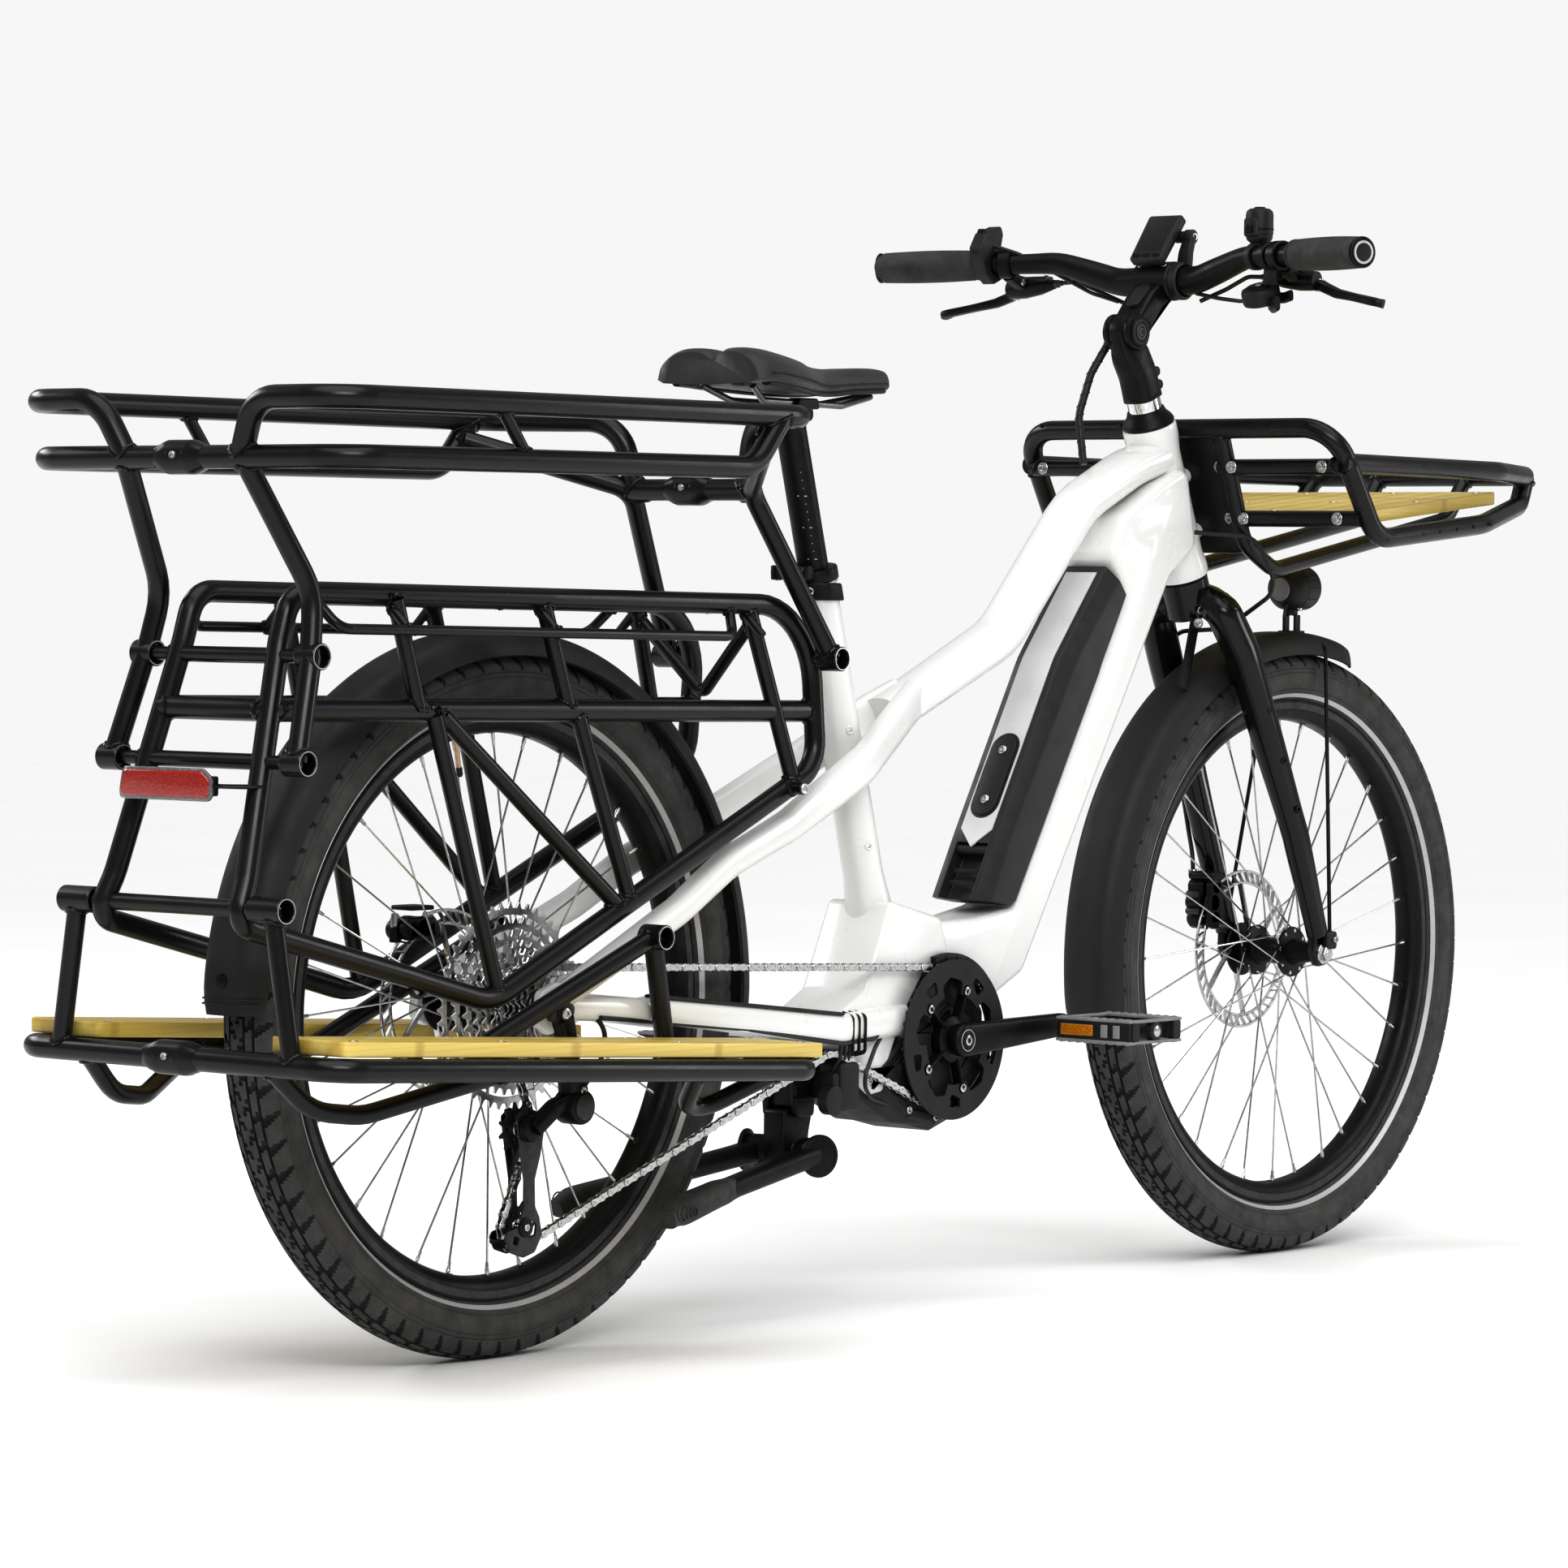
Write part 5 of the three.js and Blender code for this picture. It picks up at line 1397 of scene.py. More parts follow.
def chainring():
    """The toothed ring, the flat guard with its windows, and the spider behind."""
    shape = Shape(DARK_STEEL, PLASTIC, ALLOY, STEEL)
    shape.add(toothed(BB, 37, 64, -50, 2.6), 0)
    edge = lambda radius: [(BB.x + a, BB.z + b) for a, b in circle(radius, 96)]
    guard = holed(edge(84), edge(47), -58.8, -55.8, 0.7)
    windows = []
    for k in range(5):
        a = FIFTH * k + 22
        big = [(42, -17), (62, -15), (66, 4), (60, 17), (42, 20)]
        small = [(57, 27), (71, 24), (72, 40), (63, 41)]
        for corners, round_by in ((big, 5), (small, 3)):
            places = [ray(BB, r, a + d) for r, d in corners]
            windows.append(slab(rounded([(p.x, p.z) for p in places], round_by), -62, -52, 0.1))
    shape.add(carved(guard, windows), 1)
    for k in range(5):
        a = FIFTH * k - 3
        arm = [ray(BB, 18, a, -53.5), ray(BB, 54, a, -54.2)]
        shape.add(swept(arm, oval(1.8, 6.5, 16, 3), 0, Y), 2)
        spot = ray(BB, 53, a, -58.6)
        shape.add(disc(spot, 7, -0.2, 4.5), 2)
        shape.add(bolt(spot, (0, -1, 0), 4.8, 1.8), 3)
    spindle = [(14, -47), (24, -47), (25, -50), (24, -57), (19, -60), (14, -60.4)]
    shape.add(turned(spindle, BB, Y, 48, True), 2)
    return shape.piece("chainring", "crankset")


CRANK_REACH, CRANK_RISE = 168, 8


def capsule(a, ra, b, rb, steps=14):
    """The outline round two circles of the side view, with straight flanks."""
    way = math.atan2(b[1] - a[1], b[0] - a[0])
    lean = math.acos(max(-1, min(1, (ra - rb) / math.hypot(b[0] - a[0], b[1] - a[1]))))
    line = []
    for k in range(steps + 1):
        t = way + lean + (TAU - 2 * lean) * k / steps
        line.append((a[0] + ra * math.cos(t), a[1] + ra * math.sin(t)))
    for k in range(steps + 1):
        t = way - lean + 2 * lean * k / steps
        line.append((b[0] + rb * math.cos(t), b[1] + rb * math.sin(t)))
    return line


def pedal_axis(hand):
    """The pedal's place in the side view: the right crank points forward and the left one back."""
    return (BB.x - hand * CRANK_REACH, BB.z - hand * CRANK_RISE)


def crank(hand):
    eye = pedal_axis(hand)
    shape = Shape(ALLOY, STEEL, REFLECT)
    shape.add(slab(capsule((BB.x, BB.z), 17.5, eye, 12), *span(hand, 61.5, 76.5), 4.5))
    root = 44 if hand == LEFT else 60
    shape.add(disc(BB, 15, *span(hand, root, 64)))
    shape.add(turned([(8.6, 0), (8.6, 62)], BB, (0, hand, 0), 24))
    cap = Vector((BB.x, hand * 76.3, BB.z))
    shape.add(ring(cap, 11.5, 10.6, -0.6, 0.45, (0, hand, 0), 0.2, 48), 2)
    shape.add(disc(cap, 10.4, -2, 0.8, (0, hand, 0)))
    shape.add(bolt(cap, (0, hand, 0), 5.4, 1.6), 1)
    pin = Vector((eye[0], 0, eye[1]))
    shape.add(turned([(4.5, 62), (4.5, 184), (3, 185)], pin, (0, hand, 0), 20), 1)
    shape.add(turned([(7.5, 74), (7.5, 84), (5, 90)], pin, (0, hand, 0), 6), 1)
    name = "crank_" + HANDS[hand]
    return shape.piece(name, "crankset")


def pedal(hand):
    x0, z0 = pedal_axis(hand)
    shape = Shape(PLASTIC, GREY_PLASTIC, AMBER, STEEL)

    def bar(x_low, x_high, y_low, y_high, z_low, z_high, kind=0, round_by=3, soft=1.2):
        ys = span(hand, y_low, y_high)
        shape.add(block(x0 + x_low, x0 + x_high, *ys, z0 + z_low, z0 + z_high, round_by, soft), kind)

    shape.add(disc((x0, 0, z0), 10.5, *span(hand, 95, 196), Y, 2), 0)
    shape.add(disc((x0, 0, z0), 6, *span(hand, 195, 196.6), Y, 0.5), 3)
    for s in (-1, 1):
        bar(*span(s, 36, 45.5), 98, 194, -10, 10)
        bar(*span(s, 44, 46.4), 104, 146, -6, 6, 2, 1.5, 0.5)
        for y in (156, 172):
            bar(*span(s, 44, 46), y, y + 9, -7, 7, 1, 2, 0.6)
        for z_low, z_high in ((9.5, 13), (-13, -9.5)):
            bar(*span(s, 34, 45.8), 97, 195, z_low, z_high, 1, 1.5)
            for k in range(9):
                lift = (z_high - 0.5, z_high + 0.9) if z_low > 0 else (z_low - 0.9, z_low + 0.5)
                bar(*span(s, 37, 44), 101 + 10.6 * k, 105 + 10.6 * k, *lift, 1, 1, 0.5)
    bar(-42, 42, 96, 105, -10, 10)
    for s in (-1, 1):
        bar(*span(s, 30, 42), 187, 196, -10, 10)
    for y in (96, 187):
        for z_low, z_high in ((9.5, 12.6), (-12.6, -9.5)):
            bar(-40, 40, y, y + 9, z_low, z_high, 1, 1.5)
    name = "pedal_" + HANDS[hand]
    return shape.piece(name, name)


def tangent(p, q):
    """Angles on two circles where the straight run between them touches; rows (x, z, r, turn)."""
    dx, dz = q[0] - p[0], q[1] - p[1]
    lean = math.asin((p[3] * p[2] - q[3] * q[2]) / math.hypot(dx, dz))
    normal = math.atan2(dz, dx) - math.pi / 2 + lean
    return (normal if p[3] > 0 else normal + math.pi), (normal if q[3] > 0 else normal + math.pi)


# What the chain runs round, in order: (x, z, radius, way round).
PULLEY_X, UPPER_Z, LOWER_Z = -12, 225, 131
CHAIN_ROUND = [(0, TYRE_R, 38, 1), (PULLEY_X, UPPER_Z, 22, -1), (PULLEY_X, LOWER_Z, 22, 1),
               (462, 246, 26, -1), (BB.x, BB.z, 75, 1)]


def chain_line():
    """Closely spaced points round the chain's closed path."""
    line = []
    count = len(CHAIN_ROUND)
    for i, here in enumerate(CHAIN_ROUND):
        enter = tangent(CHAIN_ROUND[i - 1], here)[1]
        leave = tangent(here, CHAIN_ROUND[(i + 1) % count])[0]
        turn = ((leave - enter) * here[3]) % TAU
        for k in range(25):
            a = enter + here[3] * turn * k / 24
            line.append(Vector((here[0] + here[2] * math.cos(a), CHAIN_Y, here[1] + here[2] * math.sin(a))))
    return line + [line[0]]


def even_points(line, pitch):
    """Points a pitch apart along a closed line, an even number of them."""
    spans = [(b - a).length for a, b in zip(line, line[1:])]
    count = 2 * round(sum(spans) / pitch / 2)
    step = sum(spans) / count
    points, travelled, i = [], 0.0, 0
    for k in range(count):
        want = k * step
        while travelled + spans[i] < want:
            travelled += spans[i]
            i += 1
        points.append(line[i].lerp(line[i + 1], (want - travelled) / spans[i]))
    return points


def link_outline():
    """One chain plate along its own length: round ends and a waist."""
    outline = []
    for s in (1, -1):
        for k in range(9):
            t = math.radians(-120 + 30 * k)
            outline.append((s * (PITCH / 2 + 4.0 * math.cos(t)), s * 4.0 * math.sin(t)))
        outline.append((0, s * 2.9))
    return outline


def chain():
    shape = Shape(STEEL, DARK_STEEL)
    points = even_points(chain_line(), PITCH)
    outline = link_outline()
    for i, a in enumerate(points):
        b = points[(i + 1) % len(points)]
        along = (b - a).normalized()
        up = along.cross(Y)
        mid = (a + b) / 2
        off = 2.9 if i % 2 else 1.9
        for s in (RIGHT, LEFT):
            put = lambda p, q, n: mid + along * p + up * q + Y * (s * off + n)
            shape.add(slab(outline, -0.45, 0.45, 0.25, put, 2), 0)
        shape.add(turned([(3.8, -1.5), (3.8, 1.5)], a, Y, 12), 1)
        shape.add(turned([(1.3, -3.7), (1.8, -3.4), (1.8, 3.4), (1.3, 3.7)], a, Y, 10), 0)
    return shape.piece("chain", "frame")


def pulleys():
    for name, z in (("pulley_upper", UPPER_Z), ("pulley_lower", LOWER_Z)):
        centre = Vector((PULLEY_X, 0, z))
        shape = Shape(PLASTIC, STEEL)
        wheel = toothed(centre, 11, 7.5, CHAIN_Y, 2.2)
        holes = [disc(ray(centre, 12.5, 60 * k, CHAIN_Y), 2.6, -4, 4, Y, 0.1, 16) for k in range(6)]
        shape.add(carved(wheel, holes))
        shape.add(ring(centre, 8, 3.4, CHAIN_Y - 3.4, CHAIN_Y + 3.4, soft=0.6), 1)
        shape.piece(name, name)


# The cage's outer plate in the side view: a tongue at the top, a slim waist and a hooked foot.
CAGE = [(-26, 238), (-12, 247), (4, 241), (14, 224), (9, 200), (1, 176), (2, 150), (8, 140), (12, 122),
        (2, 106), (-14, 102), (-33, 108), (-41, 122), (-36, 129), (-21, 132), (-14, 150), (-14, 176),
        (-20, 206)]


def derailleur():
    shape = Shape(ALLOY, DARK_ALLOY, STEEL, CABLE)
    hanger = rounded([(-12, 330), (16, 324), (20, 344), (0, 352), (-14, 346)], 5)
    shape.add(slab(hanger, -96, -86.5, 2), 1)
    shape.add(disc((4, 0, 336), 12, -97, -88, Y, 2), 0)
    shape.add(bolt((4, -97, 336), (0, -1, 0), 6.5, 2.5), 2)
    knuckle = [(0, (9, 12)), (0.5, (8, 9)), (1, (10, 12))]
    section = tapered(knuckle, 24, 3)
    shape.add(swept([(4, -92, 332), (19, -89, 296), (31, -84, 250)], section, 24, Y, 8))
    shape.add(swept([(14, -84, 300), (24, -79, 256)], oval(3, 7, 16, 3), 0, Y, 12), 1)
    shape.add(swept([(30, -88, 256), (8, -80, 246), (-12, -72, 226)], oval(8, 9, 20, 3), 10, Y, 10))
    drums = (((30, 0, 246), 17, -99, -72), ((30, 0, 262), 9, -97, -74), ((-12, 0, 226), 13, -73, -63.5))
    for centre, r, low, high in drums:
        shape.add(disc(centre, r, low, high, Y, 3, 40))
    shape.add(disc((30, 0, 246), 12.5, -100.4, -98.5, Y, 1, 40), 1)
    shape.add(bolt((30, -97, 262), (0, -1, 0), 4, 2), 2)
    shape.add(bolt((40, -90, 236), (0, -1, 0), 3, 3), 2)
    shape.add(pipe([(38, -88, 262), (62, -90, 286), (74, -88, 316), (52, -84, 338)], 2.4, 20, 12), 3)
    shape.piece("derailleur_body", "frame")
    cage = Shape(ALLOY, DARK_ALLOY, STEEL)
    outline = rounded(CAGE, 6)
    hole = rounded([(-8, 120), (2, 122), (4, 132), (-2, 138), (-8, 136)], 3)
    foot = rounded([(-30, 116), (-22, 114), (-20, 122), (-28, 124)], 2)
    plate = slab(outline, -62.6, -60.2, 0.8)
    cutters = [slab(hole, -70, -50, 0.1), slab(foot, -70, -50, 0.1)]
    cage.add(carved(plate, cutters), 1)
    cage.add(slab(inset(outline, 2), -41, -39, 0.6))
    for z in (UPPER_Z, LOWER_Z):
        cage.add(disc((PULLEY_X, 0, z), 9.5, -64.2, -62.2, Y, 0.8, 32))
        cage.add(bolt((PULLEY_X, -64, z), (0, -1, 0), 3.6, 1.6), 2)
        cage.add(turned([(3.2, -61), (3.2, -40)], (PULLEY_X, 0, z), Y, 12), 2)
    cage.add(disc((-36, 0, 118), 2.6, -61, -40, Y, 0.4, 14))
    return cage.piece("derailleur_cage", "frame")


def cranks():
    for hand in HANDS:
        crank(hand)


def pedals():
    for hand in HANDS:
        pedal(hand)


# ---------------------------------------------------------------- battery and drive unit
# The battery's upper edge in the side view with the lower edge below each of its places.
BATTERY_ROWS = [((946, 773), (972, 741)), ((908, 727), (953, 707)), ((872, 683), (930, 668)),
                ((865, 674), (925, 657)), ((859, 664), (918, 645)), ((812, 581), (882, 585)),
                ((759, 488), (838, 510)), ((724, 424), (783, 416)), ((722, 420), (774, 412))]
BATTERY_HALF_W = 38
# Half of its upper outline across: (share of the half width, millimetres below the top).
BATTERY_HALF = [(0.70, 0), (0.76, 1.2), (0.80, 4), (0.97, 17), (1.0, 21)]


def battery_ring(top, low):
    """The outline across the battery between two places in the side view."""
    top, low = Vector((top[0], 0, top[1])), Vector((low[0], 0, low[1]))
    down = (low - top).normalized()
    deep = (low - top).length
    half = [(BATTERY_HALF_W * share, min(d, 0.7 * deep)) for share, d in BATTERY_HALF]
    half += [(BATTERY_HALF_W, deep - 2), (BATTERY_HALF_W - 2, deep)]
    whole = half + [(-y, d) for y, d in reversed(half)]
    return [top + down * d + Y * y for y, d in whole]


def on_battery(spot, along):
    """A placer for plates lying on the battery's upper face at a spot."""
    spot = Vector((spot[0], 0, spot[1]))
    along = Vector((along[0], 0, along[1])).normalized()
    facing = along.cross(Y)
    return lambda a, b, n: spot + along * a + Y * b + facing * n


# The silver strip down the battery's upper face, which ends in a point: (x, z, half width).
STRIP_ROWS = [(940, 766, 21), (872, 683, 21), (865, 674, 21), (859, 664, 21), (761, 492, 21),
              (751, 473.5, 0.4)]


def battery():
    shape = Shape(BATTERY, STRIP, PLASTIC, STEEL)
    recess = [(731, 406), (771, 470), (733, 488), (706, 424)]
    hull = loft([battery_ring(*row) for row in BATTERY_ROWS])
    shape.add(carved(hull, [slab(rounded(recess, 4), -22, 20, 2)]))
    strip = []
    out = Vector((-0.87, 0, 0.49))
    for x, z, y in STRIP_ROWS:
        foot = Vector((x, 0, z)) - out * 0.8
        top = foot + out * 1.6
        strip.append([foot + Y * y, top + Y * (y - 0.5), top - Y * (y - 0.5), foot - Y * y])
    shape.add(loft(strip), 1)
    place = on_battery((793, 548), (859 - 759, 664 - 488))
    shape.add(slab(capsule((-33, 0), 18.5, (33, 0), 18.5), 0, 1.4, 0.4, place), 2)
    shape.add(slab(capsule((-33, 0), 15.5, (33, 0), 15.5), 1, 3.4, 1.2, place), 2)
    facing = place(0, 0, 1) - place(0, 0, 0)
    for a in (-30, 30):
        shape.add(ring(place(a, 0, 3), 8.6, 6, -0.5, 0.8, facing), 2)
        shape.add(bolt(place(a, 0, 3), facing, 5.2, 2.2), 3)
    shape.add(pipe([(757, -24, 470), (757, 22, 470)], 5.5), 2)
    for x, z in ((741, 440), (748, 452)):
        shape.add(block(x - 6, x - 3, -18, 16, z - 7, z - 2, 1, 0.8), 2)
    return shape.piece("battery", "battery", 30)


MOTOR = [(484, 262), (508, 290), (560, 309), (610, 338), (690, 343), (724, 304), (726, 250), (698, 203),
         (640, 185), (575, 193), (512, 225)]
MOTOR_COVER = [(520, 240), (552, 226), (592, 192), (640, 181), (702, 200), (732, 250), (724, 296),
               (660, 322), (600, 300), (560, 268)]


def drive_unit():
    shape = Shape(PLASTIC, STEEL, ALLOY)
    shape.add(slab(rounded(MOTOR, 8), -41.5, 41.5, 5))
    shape.add(slab(rounded(MOTOR_COVER, 4), -44.5, 44.5, 9, steps=2))
    panel = inset(rounded(MOTOR_COVER, 4), 17)
    for low, high in ((-46, -43), (43, 46)):
        shape.add(slab(panel, low, high, 1.2))
    for s in (RIGHT, LEFT):
        for x, z in ((530, 240), (596, 206), (640, 196), (690, 212), (716, 262), (596, 290)):
            shape.add(bolt((x, s * 44, z), (0, s, 0), 4.2, 2.4), 1)
        shape.add(ring((BB.x, 0, BB.z), 27, 9.5, *span(s, 42, 46.5), soft=1.6, sides=48), 2)
    arc = [ray(BB, 90, a) for a in range(28, 112, 6)] + [ray(BB, 81.5, a) for a in range(106, 22, -6)]
    shape.add(slab([(p.x, p.z) for p in arc], -52, -43.5, 1.5))
    for k in range(7):
        teeth = ray(BB, 85.5, 34 + 12 * k)
        shape.add(disc(teeth, 2.4, -53.2, -51, Y, 0.6, 12))
    shape.add(slab(rounded([(741, 326), (768, 354), (764, 322), (748, 304)], 3), -13, 13, 2))
    return shape.piece("drive_unit", "frame", 30)


# ---------------------------------------------------------------- fenders
FENDER_HALF_W = 38
FENDER_R = 354
# How wide a fender is, as a share, at its first rings from each end.
END_WIDTHS = (0.8, 0.93, 0.985)


def fender_section(narrow=1.0):
    """The outline across a fender, as (y, distance outside FENDER_R)."""
    outer, inner = [], []
    for k in range(21):
        t = (k - 10) / 10
        y = FENDER_HALF_W * math.sin(t * math.pi / 2)
        r = 8 - 25 * abs(y / FENDER_HALF_W) ** 5.2
        outer.append((y * narrow, r))
        inner.append((y * 0.93 * narrow, r - 2.6 if abs(t) < 0.95 else -17.6))
    return outer + inner[::-1]


def guard(centre, start, end):
    """A rolled fender round a wheel between two angles, with softened ends."""
    rings = []
    count = round((end - start) / 2)
    for k in range(count + 1):
        a = math.radians(start + (end - start) * k / count)
        out = Vector((math.cos(a), 0, math.sin(a)))
        from_end = min(k, count - k)
        narrow = END_WIDTHS[from_end] if from_end < len(END_WIDTHS) else 1
        rings.append([centre + out * (FENDER_R + r) + Y * y for y, r in fender_section(narrow)])
    return loft(rings)


def rear_fender():
    shape = Shape(SOFT_PLASTIC, STEEL, ALLOY)
    shape.add(guard(REAR, -6, 179))
    for a in (3, 96, 174):
        shape.add(disc(ray(REAR, 361.6, a), 7, -0.6, 1.6, ray(REAR, 1, a) - REAR, 0.9), 2)
    for k in range(2):
        a = 176.6 + 0.8 * k
        edge = [ray(REAR, FENDER_R + r + 0.2, a, y) for y, r in fender_section()[2:19]]
        shape.add(pipe(edge, 0.8, 0, 6))
    return shape.piece("rear_fender", "frame", 40)


def front_fender():
    shape = Shape(SOFT_PLASTIC, STEEL, ALLOY, PLASTIC)
    shape.add(guard(FRONT, 72.5, 192))
    for s in (RIGHT, LEFT):
        strut = side([(1352, 26, 692), (1353, 36.5, 684), (1317.5, 72.5, 358)], s)
        shape.add(pipe(strut, 2.2, 8, 12), 2)
        shape.add(block(1308, 1327, *span(s, 70.6, 76), 346, 366, 4, 1), 3)
        shape.add(bolt((1322, s * 76, 357), (0, s, 0), 4.2, 3.4), 1)
    for s in (RIGHT, LEFT):
        shape.add(block(1332, 1342, *span(s, 6, 9), 700, 722, 2, 0.6), 2)
    shape.add(block(1326, 1348, -11, 11, 700, 704, 1, 0.8), 2)
    stay = [(1098, -22, 640), (1106, -23, 668), (1118, -24, 716)]
    shape.add(swept(stay, oval(1.2, 8, 16, 6), 20, X, 8), 2)
    shape.add(bolt((1119, -25.5, 712), (-0.5, -0.86, 0), 6, 4), 1)
    low = ray(FRONT, 357, 186, -20)
    shape.add(disc(low, 6, -0.6, 1.8, (-1, 0, -0.1), 0.9), 3)
    return shape.piece("front_fender", "fork", 40)


# ---------------------------------------------------------------- brakes at the wheels
def front_caliper():
    shape = Shape(ALLOY, DARK_ALLOY, STEEL, CABLE)
    lobes = [(1247, 377, 11), (1244, 396, 11.5), (1248, 414, 10)]
    for low, high in ((34.5, 42.2), (47.3, 68)):
        for x, z, r in lobes:
            shape.add(disc((x, 0, z), r, low, high, Y, 2.6, 28))
        shape.add(block(1237, 1262, low, high, 372, 420, 5, 2))
        if high > 60:
            for x, z, r in lobes:
                shape.add(ring((x, 0, z), r * 0.72, r * 0.4, 67, 70.5, soft=0.8, sides=28), 1)
    shape.add(block(1237, 1261, 34.5, 68, 421.5, 431, 4, 3))
    for z in (386, 405):
        shape.add(disc((1234, 0, z), 4, 48, 66, Y, 1.5, 16), 1)
    for z in (368, 426):
        shape.add(bolt((1262, 58, z), (0, 1, 0), 4, 13), 2)
    shape.add(disc((1246, 66, 427), 6, -2, 6, (0, 0, 1), 1.2), 2)
    return shape.piece("front_caliper", "fork")


def rear_caliper():
    shape = Shape(ALLOY, DARK_ALLOY, STEEL)
    for low, high in ((45, 56.2), (60.2, 74)):
        for x, z, r in ((-58, 412, 10), (-42, 414, 11), (-28, 412, 9)):
            shape.add(disc((x, 0, z), r, low, high, Y, 2.4, 28))
            if low > 50:
                shape.add(ring((x, 0, z), r * 0.72, r * 0.4, 73, 76, soft=0.8, sides=28), 1)
        shape.add(block(-62, -26, low, high, 404, 424, 4, 2))
    shape.add(block(-60, -28, 45, 74, 431, 435.6, 2, 2))
    for x in (-66, -22):
        shape.add(bolt((x, 62, 414), (0, 0, 1), 4, 14), 2)
        shape.add(block(x - 4, x + 4, 56.8, 66, 400, 416, 2, 1))
    return shape.piece("rear_caliper", "frame")


# ---------------------------------------------------------------- double stand
STAND = Vector((450, 0, 168))


def stand_mount():
    shape = Shape(ALLOY, STEEL, PLASTIC, CABLE)
    shape.add(block(430, 478, -23, 23, 262, 280, 5, 2))
    cheek = rounded([(434, 266), (474, 266), (468, 206), (440, 206)], 4)
    for s in (RIGHT, LEFT):
        shape.add(slab(cheek, *span(s, 15, 23), 2))
    shape.add(block(444, 464, -22, 22, 214, 262, 4, 2))
    foot = [(430, 214), (478, 214), (472, 190), (466, 152), (434, 152), (430, 186)]
    shape.add(slab(rounded(foot, 6), -14, 14, 3))
    for s in (RIGHT, LEFT):
        for z in (226, 240, 254):
            shape.add(block(432, 476, *span(s, 22.4, 24), z - 2.4, z + 2.4, 1.5, 0.7))
        shape.add(disc((450, 0, 172), 8, *span(s, 12, 16), Y, 1), 1)
    for x in (444, 464):
        shape.add(bolt((x, 0, 262), (0, 0, -1), 5, 4), 1)
    shape.add(block(462, 492, -54, -24, 224, 252, 5, 3), 2)
    for x in (470, 477, 484):
        loop = [(x, -44, 252), (x + 2, -54, 268), (x + 1, -54, 300), (x, -48, 312)]
        shape.add(pipe(loop, 2.1, 12, 12), 3)
    return shape.piece("stand_mount", "frame")


def stand_leg(hand):
    axis = Vector((-0.307, hand * 0.952, 0))
    shape = Shape(ALLOY, STEEL, GREY_PLASTIC, TYRE)
    leg = side(beside(STAND, [(6, 35.5, 1), (-180, 59.5, -25.5)]), hand)
    shape.add(swept(leg, tapered([(0, (15, 12)), (0.25, (12.5, 11)), (1, (11.5, 10.5))], 28, 3), 0, Z, 12))
    route = [(-150, 55.5, -21.5), (-178, 59, -25.5), (-252, 69.5, -38), (-268, 73, -44)]
    foot = side(beside(STAND, route), hand)
    fat = [(0, (11, 10.6)), (0.22, (13.5, 12.5)), (0.8, (14.5, 14)), (1, (10, 9))]
    shape.add(swept(foot, tapered(fat, 28, 3.4), 24, Z, 8), 3)
    for k in range(4):
        spot = Vector(foot[2]) + Vector((-2 + 5 * k, hand * 13.4, 1))
        shape.add(ring(spot, 9 - 1.2 * k, 7.6 - 1.2 * k, -0.6, 1.0 + 0.3 * k, (0.1, hand, 0), 0.4, 28), 3)
    hub_at = Vector((STAND.x, hand * 35, STAND.z))
    shape.add(disc(hub_at, 17, -13, 12, axis, 1.5, 40))
    shape.add(disc(hub_at, 22, 11.5, 16.5, axis, 1.6, 56))
    shape.add(ring(hub_at, 19, 17.6, 16, 17, axis, 0.4, 56))
    name = "stand_leg_" + HANDS[hand]
    return shape.piece(name, "stand_" + HANDS[hand])


def stand():
    stand_mount()
    for hand in HANDS:
        stand_leg(hand)


# ---------------------------------------------------------------- fork and headlight
FORK_LEG = [(1139, 47, 724), (1166, 54, 680), (1214, 58, 577), (1262, 62, 476), (1307, 63, 362)]


